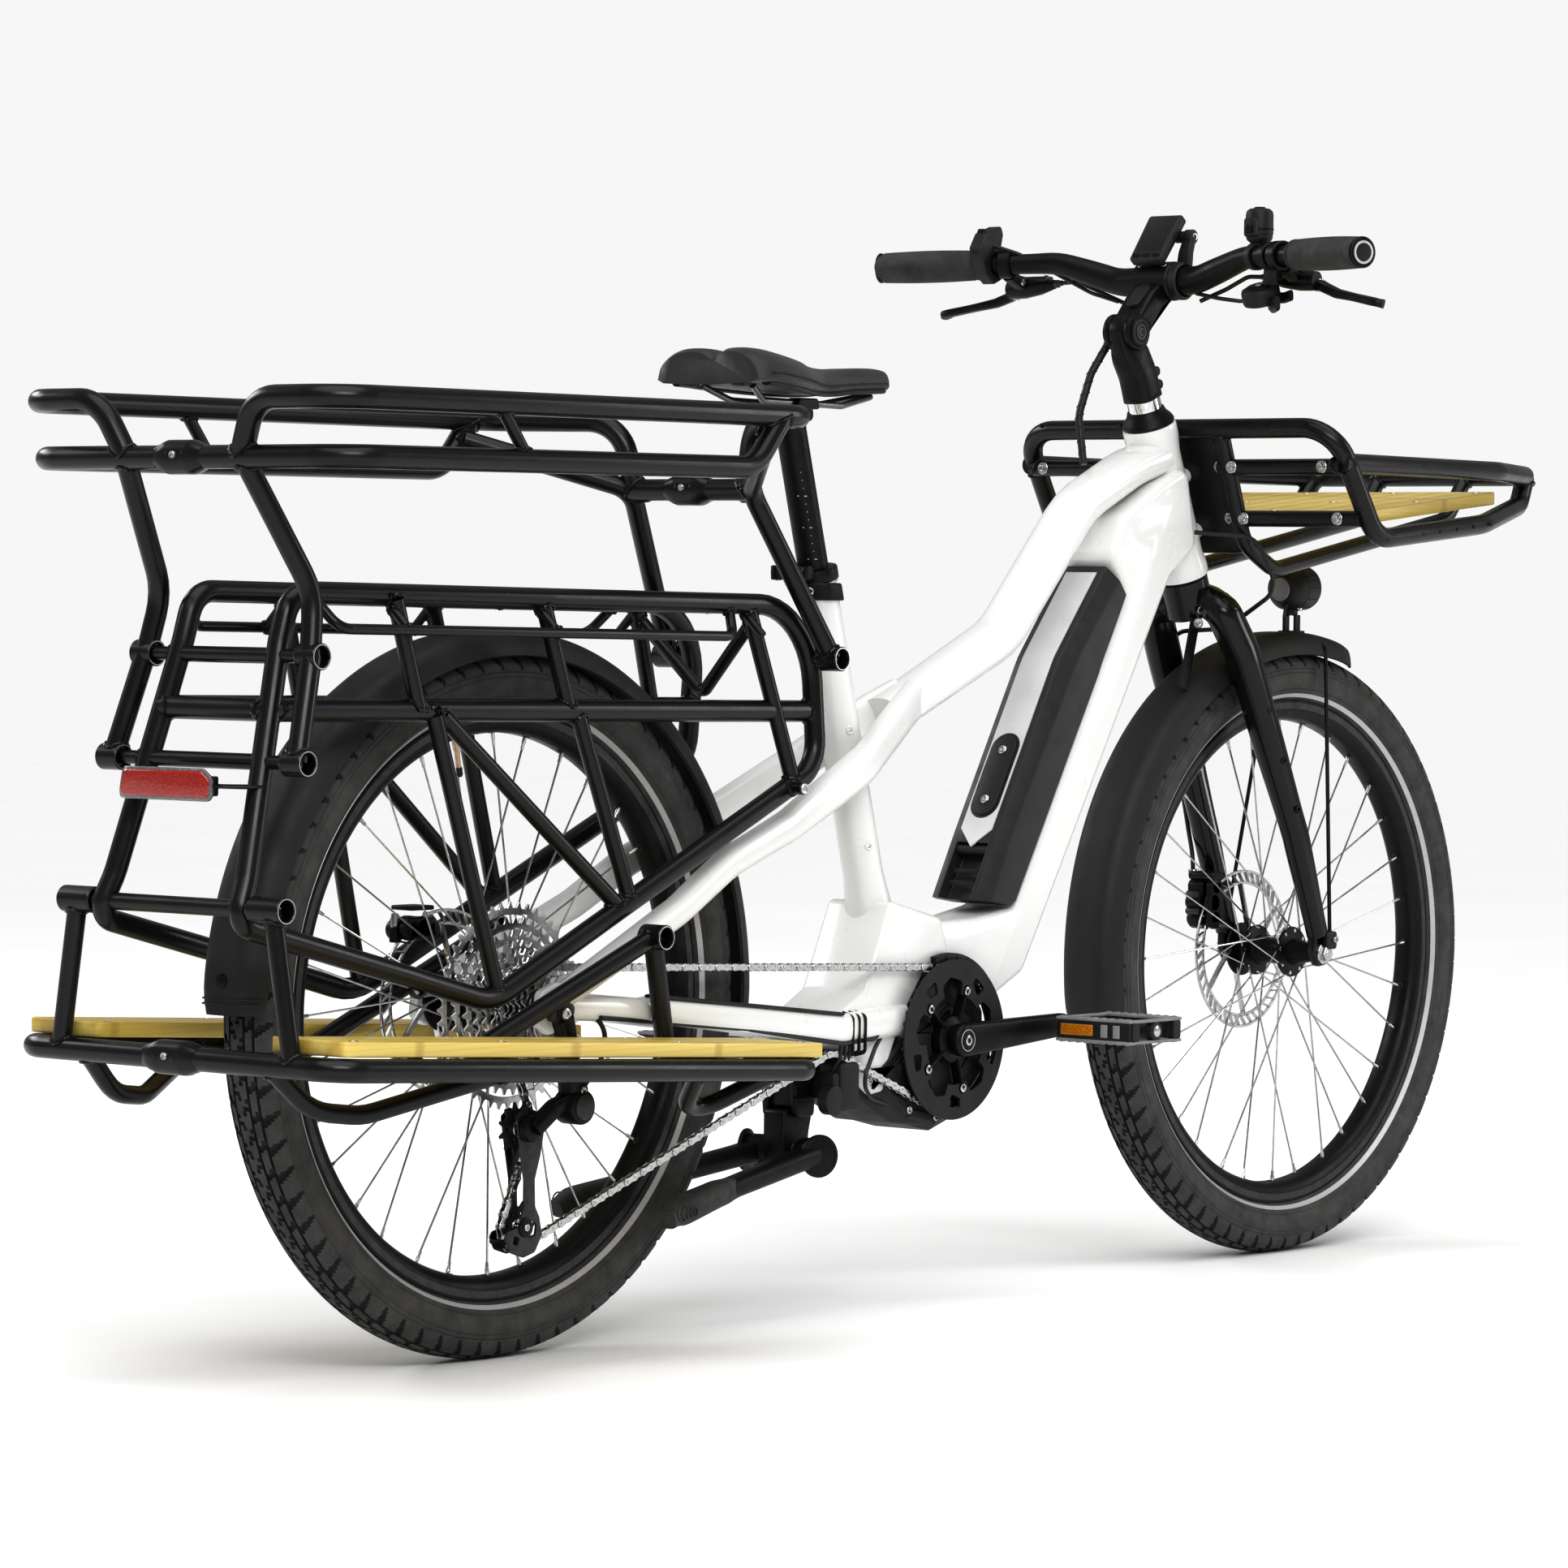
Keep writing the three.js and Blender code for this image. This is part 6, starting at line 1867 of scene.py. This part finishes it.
def fork():
    shape = Shape(FORK_COAT, CHROME, ALLOY, STEEL)
    cone = [(16.5, 930.5), (28.6, 930.5), (29, 932), (27, 936), (22.5, 941), (20.5, 946), (16.5, 946)]
    base = steer_at(0)
    reach = (steer_at(1000) - base).length / 1000
    shape.add(turned([(r, z * reach) for r, z in cone], base, STEER_AXIS, 48, closed=True), 2)
    shape.add(pipe([steer_at(975), steer_at(742)], 16, sides=40), 1)
    long = 41 * reach
    lower = [(18, 0), (25.5, 0), (27, 2), (27, long - 2.5), (24, long - 1), (18, long - 1)]
    shape.add(turned(lower, steer_at(722), STEER_AXIS, 48, closed=True))
    shape.add(turned([(17, -1), (17, 3)], steer_at(724), STEER_AXIS, 40))
    fat = [(0, (19, 19)), (0.14, (20.5, 18)), (0.35, (18, 17)), (0.7, (15.5, 14)), (1, (12, 11.5))]
    crown = [(0, (18, 18)), (0.5, (20, 21)), (1, (18, 18))]
    top = [(1139, -47, 724), (1143, -26, 735), (1146, 0, 739), (1143, 26, 735), (1139, 47, 724)]
    shape.add(swept(top, tapered(crown, 32, 2.3), 26, X, 6))
    for s in (RIGHT, LEFT):
        line = side([(1140, 36, 731), *FORK_LEG], s)
        shape.add(swept(line, tapered(fat, 32, 2.3), [0, 16, 60, 0, 0, 0], Y, 12, step=6))
        end = [(1296, 372), (1318, 366), (1328, 346), (1322, 328), (1304, 326), (1294, 342)]
        shape.add(slab(rounded(end, 7), *span(s, 57.5, 67), 2))
        shape.add(ring(FRONT, 12, 5.5, *span(s, 66, 70), soft=1, sides=36), 3)
        shape.add(turned([(5.6, 56), (5.6, 74), (4, 76)], FRONT, (0, s, 0), 20), 3)
        shape.add(turned([(9, 69), (9, 74), (8, 75.4)], FRONT, (0, s, 0), 6), 3)
        if s == RIGHT:
            for x, z in ((1196, 616), (1222, 560), (1248, 505)):
                share = (680 - z) / (680 - 476)
                spot = Vector((x - 3, s * (54 + 8 * share + 13.5), z))
                shape.add(bolt(spot, (0, s, 0.05), 4.2, 4), 2)
    for x, y, z in ((1152, -30, 716), (1124, -26, 726)):
        shape.add(bolt((x, y, z), (-0.4, -0.9, 0), 4.5, 3), 3)
    return shape.piece("fork", "fork")


def headlight():
    shape = Shape(PLASTIC, GREY_PLASTIC, CLEAR, STEEL, CABLE)
    along = Vector((48, 0, 2)).normalized()
    back = Vector((1318, 0, 751))
    body = [(9, -5), (15, -4), (20, 0), (23.5, 6), (25, 14), (25.2, 16), (24.4, 17), (25.2, 18), (25.2, 40)]
    body += [(24.2, 43), (22, 43.5)]
    shape.add(turned(body, back, along, 56))
    shape.add(turned([(9, -6.2), (12.5, -5.8), (13.4, -4.6), (13.4, -3.2)], back, along, 40), 1)
    shape.add(turned([(22.8, 43), (22, 45), (14, 47), (0.5, 47.8)], back, along, 48), 2)
    for k in range(12):
        a = TAU * k / 12
        rib = back + along * 30 + (Y * math.cos(a) + along.cross(Y) * math.sin(a)) * 25
        shape.add(pipe([rib - along * 8, rib + along * 8], 0.9, sides=8))
    for s in (RIGHT, LEFT):
        shape.add(block(1332, 1342, *span(s, 2.2, 5.4), 721, 740, 3, 0.8))
    shape.add(turned([(3.4, -10), (3.4, 10)], (1337, 0, 731), Y, 16), 3)
    shape.add(bolt((1337, -9, 731), (0, -1, 0), 4.6, 3), 3)
    shape.add(pipe([(1322, -8, 738), (1312, -9, 731), (1309, -9, 720)], 1.5, 6, 10), 4)
    return shape.piece("headlight", "headlight")


# ---------------------------------------------------------------- stem, handlebar and display
STEM_PIVOT = Vector((1015, 0, 1029))
BAR = Vector((1074, 0, 1087))
BAR_LINE = [(1074, 52, 1087), (1060, 128, 1110), (992, 322, 1106)]
DISPLAY_PIVOT = Vector((1089, 0, 1136))
BAR_R, BAR_BORE, STEM_BORE = 11.1, 11.3, 16.4


def stem_base():
    shape = Shape(ALLOY, CHROME, DARK_ALLOY, STEEL)
    low, high = steer_at(946.4), steer_at(959)
    long = (high - low).length
    shape.add(turned(band(16.3, 18.6, 0, long), low, STEER_AXIS, 48, closed=True), 1)
    neck = [(0, (19, 19)), (0.2, (18.6, 18.8)), (0.65, (17.5, 20)), (1, (9.5, 20))]
    line = [steer_at(958), steer_at(985), STEM_PIVOT - Z * 16 + X * 2, STEM_PIVOT - Z * 2]
    shape.add(swept(line, tapered(neck, 40, 3.2), 30, X, 5))
    shape.add(disc(STEM_PIVOT, 19.6, -9.5, 9.5, Y, 1.2, 56))
    shape.add(ring(steer_at(959.5), 20.2, 16.5, -1, 3, STEER_AXIS, 0.8, 48))
    for z in (966, 980):
        spot = steer_at(z) + Vector((20.5, 0, 8))
        shape.add(disc(spot, 5.5, -11, 8, Y, 1.2, 24))
        shape.add(bolt(spot + Y * -8, (0, -1, 0), 4, 2.6), 3)
    return shape.piece("stem_base", "stem")


def stem_arm():
    shape = Shape(ALLOY, DARK_ALLOY, STEEL, PLASTIC)
    for s in (RIGHT, LEFT):
        shape.add(disc(STEM_PIVOT, 20, *span(s, 10.1, 18), Y, 2, 56))
        shape.add(disc(STEM_PIVOT, 16.5, *span(s, 17, 20.4), Y, 1.4, 56))
        shape.add(ring(STEM_PIVOT, 13.4, 12.2, *span(s, 20, 21), soft=0.3, sides=56), 1)
        cap = STEM_PIVOT + Y * (s * 20.2)
        shape.add(ring(cap, 9, 6, -0.5, 1.4, (0, s, 0), 0.5, 40), 1)
        shape.add(bolt(cap, (0, s, 0), 5.4, 1.2), 1)
    outline = [(1015, 1045), (1031, 1038), (1034, 1026), (1060, 1056), (1082, 1068), (1076, 1092)]
    outline += [(1056, 1086), (1040, 1074)]
    shape.add(carved(slab(rounded(outline, 4), -18, 18, 4), [disc(STEM_PIVOT, 20, -10, 10, Y, 0.1, 56)]))
    cover = on_battery((1042, 1075), (31, 27))
    shape.add(slab(capsule((-17, 0), 9.5, (2, 0), 9.5), -6, 1.4, 0.8, cover), 3)
    shape.add(ring(BAR, 21.5, STEM_BORE, -24, 24, soft=2, sides=48))
    shape.add(block(BAR.x + 8, BAR.x + 27, -23, 23, BAR.z - 16, BAR.z + 16, 5, 3))
    for y in (-16, 16):
        for z in (-11, 11):
            shape.add(bolt((BAR.x + 26, y, BAR.z + z), X, 4, 2.6), 2)
        shape.add(bolt((BAR.x - 12, y, BAR.z + 16), (-0.6, 0, 0.8), 3.2, 2), 2)
    shape.add(ring(BAR, 21, STEM_BORE, -36, -25, soft=1.6, sides=48), 3)
    shape.add(ring(BAR, 19, STEM_BORE, -27, -22, soft=0.6, sides=48), 3)
    mount = [(1079, -31, 1104), (1081, -31, 1118), (1089, -31, 1137)]
    shape.add(swept(mount, tapered([(0, (4.5, 9)), (1, (4.5, 7))], 20, 4), 20, Y, 6), 3)
    shape.add(disc(DISPLAY_PIVOT, 8, -36, -25.7, Y, 1.2), 3)
    shape.add(bolt(DISPLAY_PIVOT - Y * 36, (0, -1, 0), 4.4, 1.8), 2)
    shape.add(bolt((1086, -30, 1073), (0.7, 0, -0.7), 4, 3), 2)
    return shape.piece("stem_arm", "cockpit")


def bar_at(y):
    """A place on the straight left part of the bar's line, by its distance from the middle."""
    a, b = Vector(BAR_LINE[1]), Vector(BAR_LINE[2])
    return a.lerp(b, (y - a.y) / (b.y - a.y))


def bar_span(hand, inner, outer):
    """Two places on one half of the bar, by their distances from the middle."""
    return [Vector(p) for p in side([bar_at(inner), bar_at(outer)], hand)]


def handlebar():
    shape = Shape(ALLOY, DARK_ALLOY, PLASTIC)
    points = side(BAR_LINE[::-1], RIGHT) + BAR_LINE
    thick = [(0, BAR_R), (0.24, BAR_R), (0.40, 14.6), (0.45, 15.9)]
    thick += [(1 - share, radius) for share, radius in reversed(thick)]
    shape.add(pipe(points, thick, [0, 80, 70, 70, 80, 0], 36, 5))
    return shape.piece("handlebar", "cockpit")


def display():
    shape = Shape(PLASTIC, GLASS, ALLOY)
    low, high = Vector((1046, 0, 1110)), Vector((1086, 0, 1161))
    along = (high - low).normalized()
    facing = Y.cross(along) * -1
    place = lambda a, b, n: low + along * a + Y * b + facing * n
    long = (high - low).length
    outline = rounded([(0, -21.5), (long, -23), (long, 23), (0, 21.5)], 4)
    shape.add(slab(outline, -11, 0, 2.5, place))
    glass = rounded([(12, -18.5), (long - 3, -20), (long - 3, 20), (12, 18.5)], 2.5)
    shape.add(slab(glass, -0.8, 0.5, 0.4, place), 1)
    for y in (-13, 0, 13):
        key = rounded([(3.5, y - 5), (8.5, y - 5), (8.5, y + 5), (3.5, y + 5)], 1.5)
        shape.add(slab(key, -0.4, 0.9, 0.5, place), 2)
    back = rounded([(10, -15), (long - 8, -16), (long - 8, 16), (10, 15)], 5)
    shape.add(slab(back, -14.5, -9, 3, place))
    shape.add(disc(DISPLAY_PIVOT, 6.5, -25.3, -12, Y, 1))
    return shape.piece("display", "display")


# ---------------------------------------------------------------- grips, levers and controls
GRIP_STEPS, GRIP_SIDES = 24, 40


def grip(hand):
    """A winged grip: round at the inner end, with a flattened palm rest behind."""
    shape = Shape(GRIP, REFLECT, ALLOY, PLASTIC)
    rings = []
    start, end = bar_span(hand, 216, 325)
    along = (end - start).normalized()
    back = along.cross(Z).normalized() * -hand
    up = Z - along * Z.dot(along)
    for k in range(GRIP_STEPS + 1):
        t = k / GRIP_STEPS
        wing = 9 * max(0, min(1, (t - 0.25) / 0.5)) ** 1.5
        round_by = 16.6 + 1.4 * math.sin(math.pi * t) - (1.2 if k in (0, GRIP_STEPS) else 0)
        ring_points = []
        for j in range(GRIP_SIDES):
            turn = TAU * j / GRIP_SIDES
            c, s = math.cos(turn), math.sin(turn)
            reach = round_by + wing * max(0, c) ** 2
            rib = 0.55 if 0.12 < t < 0.9 and j % 4 == 0 and c < 0.7 else 0
            lift = round_by - rib - 0.25 * wing * max(0, c)
            ring_points.append(start.lerp(end, t) + back * c * (reach - rib) + up * s * lift)
        rings.append(ring_points)
    shape.add(loft(rings))
    for where, r, low, high, kind in ((start, 16.8, -4, 1.5, 3), (end, 16.8, -2, 2.6, 2)):
        shape.add(ring(where, r, BAR_BORE, low, high, along, 1.4, 48), kind)
    shape.add(disc(end, 13.5, 0, 3.2, along, 1, 48), 3)
    shape.add(ring(end, 12.4, 9.8, 2.8, 3.7, along, 0.3, 48), 1)
    shape.add(bolt(start + along * -1.5 + back * 14, back, 2.6, 2.4), 3)
    name = "grip_" + HANDS[hand]
    return shape.piece(name, "cockpit", 50)


def brake_body(hand):
    shape = Shape(ALLOY, DARK_ALLOY, STEEL, CABLE)
    p = bar_at(186)
    start, end = bar_span(hand, 179, 193)
    along = (end - start).normalized()
    shape.add(ring(start, 16, 11.4, 0, 14.4, along, 1.4, 40))
    web = side(beside(p, [(8, 187, -12), (24, 186, -20), (36, 184, -25)]), hand)
    shape.add(swept(web, oval(6, 8, 20, 4), 10, Y, 6))
    tank = side(beside(p, [(38, 208, -26), (37, 176, -24), (38, 146, -21)]), hand)
    fat = [(0, 10.5), (0.3, 11.5), (0.6, 10), (0.9, 7), (1, 5)]
    shape.add(pipe(tank, fat, 20, 28))
    shape.add(block(p.x + 30, p.x + 46, *span(hand, 154, 196), p.z - 18, p.z - 12, 2.5, 1.5), 1)
    for y in (158, 192):
        shape.add(bolt((p.x + 38, hand * y, p.z - 12), Z, 2.6, 1.6), 2)
    nut = Vector((p.x + 38, hand * 146, p.z - 21))
    shape.add(turned([(4.8, -2), (4.8, 5), (3.4, 6), (3.4, 10)], nut, (0, -hand, 0.12), 6), 1)
    shape.add(bolt((p.x + 21, hand * 179, p.z - 19), (0, -hand, 0), 3.4, 3), 2)
    bend_in = beside(p, [(38, 138, -20), (40, 116, -19), (44, 84, -32), (41, 52, -44)])
    shape.add(pipe(side(bend_in, hand), 2.4, 24, 14), 3)
    name = "brake_body_" + HANDS[hand]
    return shape.piece(name, "cockpit")


def brake_lever(hand):
    shape = Shape(ALLOY, STEEL)
    p = bar_at(186)
    blade = beside(p, [(46, 205, -29), (46, 216, -34), (43, 232, -40)])
    blade += beside(p, [(37, 264, -46), (30, 290, -51), (33, 298, -53)])
    fat = [(0, (8, 6)), (0.2, (7, 5.4)), (0.6, (8.4, 4.4)), (0.94, (8.6, 4.6)), (1, (6, 5))]
    shape.add(swept(side(blade, hand), tapered(fat, 20, 3), 14, Z, 6))
    shape.add(disc((p.x + 46, hand * 206, p.z - 30), 4.4, -7, 7, Z, 1, 20), 1)
    name = "brake_lever_" + HANDS[hand]
    return shape.piece(name, "lever_" + HANDS[hand])


def bell():
    shape = Shape(PLASTIC, ALLOY, STEEL)
    along = (bar_at(200) - bar_at(140)).normalized()
    along = Vector((along.x, -along.y, along.z))
    mid = side([tuple(bar_at(144.5))], RIGHT)[0]
    shape.add(ring(mid, 15, BAR_BORE, -4.5, 4.5, along, 1, 36))
    top = Vector((bar_at(144).x + 5.6, -144, 0))
    low = bar_at(144).z + 11
    dome = [(7, 0), (9, 3), (13.5, 7), (14.5, 10), (14.2, 12), (15, 13), (15, 34)]
    dome += [(14, 38), (11, 40.5), (6, 41.5)]
    shape.add(turned([(r, low + h) for r, h in dome], top, Z, 40))
    shape.add(ring(top, 15.6, 13, low + 17, low + 20, Z, 0.8, 40), 1)
    shape.add(disc(top, 6, low + 41, low + 42.6, Z, 0.6, 28), 1)
    shape.add(block(top.x - 19, top.x - 8, -152, -136, low + 10, low + 30, 3, 2))
    shape.add(block(top.x - 22, top.x - 17, -148, -140, low + 14, low + 22, 1.5, 1), 1)
    return shape.piece("bell", "cockpit")


def shifter():
    shape = Shape(PLASTIC, ALLOY, STEEL, CABLE)
    p = bar_at(186)
    start, end = bar_span(RIGHT, 163, 173.5)
    shape.add(ring(start, 15.4, BAR_BORE, 0, (end - start).length, end - start, 1.2, 36), 1)
    arm = beside(p, [(10, -168, -10), (14, -164, -26), (15, -158, -38)])
    shape.add(swept(arm, oval(5, 8, 20, 4), 8, Y, 5))
    mid = Vector((p.x + 12, -153, p.z - 40))
    facing = Vector((-0.35, 0.0, 0.94))
    shape.add(disc(mid, 21, -11, 8, facing, 4, 44))
    shape.add(disc(mid, 14, 7.5, 10, facing, 1, 44), 1)
    shape.add(bolt(mid + facing.normalized() * 9.6, facing, 4, 1.8), 2)
    paddle = beside(p, [(12, -166, -50), (0, -178, -54), (-12, -192, -52)])
    shape.add(swept(paddle, oval(3, 8, 16, 3), 14, Z, 6), 1)
    trigger = beside(p, [(24, -160, -44), (24, -176, -44), (16, -190, -42)])
    shape.add(swept(trigger, oval(2.6, 6, 16, 3), 10, Z, 6), 1)
    cable = beside(p, [(24, -138, -44), (32, -112, -46), (37, -80, -42), (36, -50, -36)])
    shape.add(pipe(cable, 2.2, 24, 14), 3)
    return shape.piece("shifter", "cockpit")


def remote():
    """The assist buttons on a saddle-shaped pod that leans over the left grip's inner end."""
    shape = Shape(PLASTIC, ALLOY, GREY_PLASTIC, CABLE)
    p = bar_at(204)
    start, end = bar_span(LEFT, 199.5, 208.5)
    shape.add(ring(start, 15.4, BAR_BORE, 0, (end - start).length, end - start, 1.2, 36))
    pod = [(-18, -12), (-4, -22), (10, -16), (16, 0), (8, 20), (12, 34), (8, 44)]
    pod += [(-20, 34), (-30, 18), (-26, 2)]
    edge = rounded([(p.x + a, p.z + b) for a, b in pod], 4)
    turns = [math.atan2(b - p.z, a - p.x) for a, b in edge]
    bore = [(p.x + 11.6 * math.cos(turn), p.z + 11.6 * math.sin(turn)) for turn in turns]
    shape.add(holed(edge, bore, 194, 211, 1.5))
    face = on_battery((p.x - 21, p.z + 25), (10, 20))
    for a in (-11, 0, 11):
        key = rounded([(a - 4.5, 199), (a + 4.5, 199), (a + 4.5, 209), (a - 4.5, 209)], 1.5)
        shape.add(slab(key, -1, 2.2, 0.8, face), 2 if a == 0 else 1)
    cable = beside(p, [(-6, 198, 22), (8, 170, 12), (24, 130, -10), (40, 92, -32), (44, 58, -42)])
    shape.add(pipe(cable, 2.1, 30, 14), 3)
    return shape.piece("remote", "cockpit")


def hands():
    for hand in HANDS:
        grip(hand)
        brake_body(hand)
        brake_lever(hand)
    bell()
    shifter()
    remote()


# ---------------------------------------------------------------- cables between frame and fork
LOOM = [(1015, 25, 1016), (1000, 36, 984), (984, 40, 938), (978, 28, 884)]
HOSE = [(1098, -36, 812), (1152, -80, 808), (1182, -90, 750), (1182, -20, 706), (1182, 50, 702),
        (1200, 78, 655), (1258, 83, 478), (1246, 68, 450), (1246, 66, 420.4)]


def cable_loom():
    """Cables wrapped in a spiral sleeve, from the stem down into the frame."""
    shape = Shape(CABLE, PLASTIC)
    shape.add(pipe(LOOM, 4.2, 45, 20, 5))
    stations = stations_of(LOOM, 45, 5, 2)
    shares = lengths_of(stations)
    spiral = []
    for (place, across, up), share in zip(with_sides(stations), shares):
        turn = TAU * share * 11
        spiral.append(place + (across * math.cos(turn) + up * math.sin(turn)) * 3.9)
    shape.add(pipe(spiral, 1.15, 0, 8), 1)
    loom = shape.piece("cable_loom", None)
    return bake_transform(loom)


def front_hose():
    shape = Shape(CABLE, STEEL)
    shape.add(pipe(HOSE, 2.5, 30, 16, 6))
    shape.add(disc(HOSE[-1], 4, 0, 9, Z, 0.8, 16), 1)
    hose = shape.piece("front_brake_hose", None)
    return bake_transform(hose)


PARTS = [
    main_frame, cable_guides, seat_collar, clamp_lever, seatpost, saddle_rails, saddle,
    battery, drive_unit, rear_rack, tail_light, top_rails, footboards, front_board, front_rack,
    wheels, cassette, chainring, cranks, pedals, chain, pulleys, derailleur,
    rear_fender, front_fender, front_caliper, rear_caliper, stand, fork, headlight,
    stem_base, stem_arm, handlebar, display, hands, cable_loom, front_hose,
]


# ---------------------------------------------------------------- camera, light and floor
CAMERA = Vector((-4160.67, -3840.43, 742.42))
LOOK = Vector((0.76734, 0.64040, -0.03284))
ROLL = 0.68
FOCAL = 135.0
SUN_POWER, SUN_WIDTH = 2.2, 70
SKY_LIGHT, SKY_SEEN = 0.4, 0.945
GAMMA = 0.75
FLOOR_HALF = 14
# Each soft light: name, place, size, power.
SOFT_LIGHTS = [
    ("key_light", (-2.6, -3.0, 2.6), (2.4, 0.9), 60),
    ("fill_light", (3.4, -2.8, 1.8), (0.8, 2.4), 36),
    ("back_light", (-1.0, 3.8, 2.6), (3.0, 1.0), 60),
]


def aim(thing, place, heading, roll=0.0):
    """Puts a camera or a light at a place, facing along a heading."""
    turn = heading.normalized().to_track_quat("-Z", "Y").to_matrix().to_4x4()
    thing.matrix_world = Matrix.Translation(place) @ turn @ Matrix.Rotation(math.radians(roll), 4, "Z")


def camera():
    data = bpy.data.cameras.new("camera")
    data.lens = FOCAL
    data.clip_end = 60
    made = linked("camera", data)
    aim(made, in_frame(CAMERA), LOOK, ROLL)
    bpy.context.scene.camera = made


def soft_light(name, place, size, power):
    data = bpy.data.lights.new(name, "AREA")
    data.shape = "RECTANGLE"
    data.size, data.size_y = size
    data.energy = power
    aim(linked(name, data), Vector(place), Vector((0, 0, 0.5)) - Vector(place))


def lights():
    sun = bpy.data.lights.new("wide_sun", "SUN")
    sun.energy = SUN_POWER
    sun.angle = math.radians(SUN_WIDTH)
    aim(linked("wide_sun", sun), Vector((0, 0, 5)), Vector((0.25, 0.3, -1)))
    for row in SOFT_LIGHTS:
        soft_light(*row)


def backdrop():
    """An even pale sky that the camera sees brighter than it lights the bicycle."""
    world = bpy.data.worlds.new("studio")
    bpy.context.scene.world = world
    world.use_nodes = True
    sky = world.node_tree.nodes["Background"]
    sky.inputs["Color"].default_value = (1, 1, 1, 1)
    seen = world.node_tree.nodes.new("ShaderNodeLightPath").outputs["Is Camera Ray"]
    level = world.node_tree.nodes.new("ShaderNodeMapRange")
    level.inputs["To Min"].default_value = SKY_LIGHT
    level.inputs["To Max"].default_value = SKY_SEEN
    world.node_tree.links.new(seen, level.inputs["Value"])
    world.node_tree.links.new(level.outputs["Result"], sky.inputs["Strength"])
    bpy.context.scene.view_settings.view_transform = "Standard"
    bpy.context.scene.view_settings.gamma = GAMMA


def floor():
    floor_mesh = bpy.data.meshes.new("studio_floor")
    wide = FLOOR_HALF
    corners = [(-wide, -wide, 0), (wide, -wide, 0), (wide, wide, 0), (-wide, wide, 0)]
    floor_mesh.from_pydata(corners, [], [(0, 1, 2, 3)])
    paper = Nodes("pale_floor")
    tint = paper.mix(paper.between(paper.noise(1.5), 0, 1), grey(0.95), grey(0.935))
    floor_mesh.materials.append(paper.finish(tint, paper.between(paper.noise(4), 0.7, 0.8)))
    linked("studio_floor", floor_mesh)


# ---------------------------------------------------------------- the whole bicycle
camera()
lights()
backdrop()
floor()
for build in PARTS:
    build()
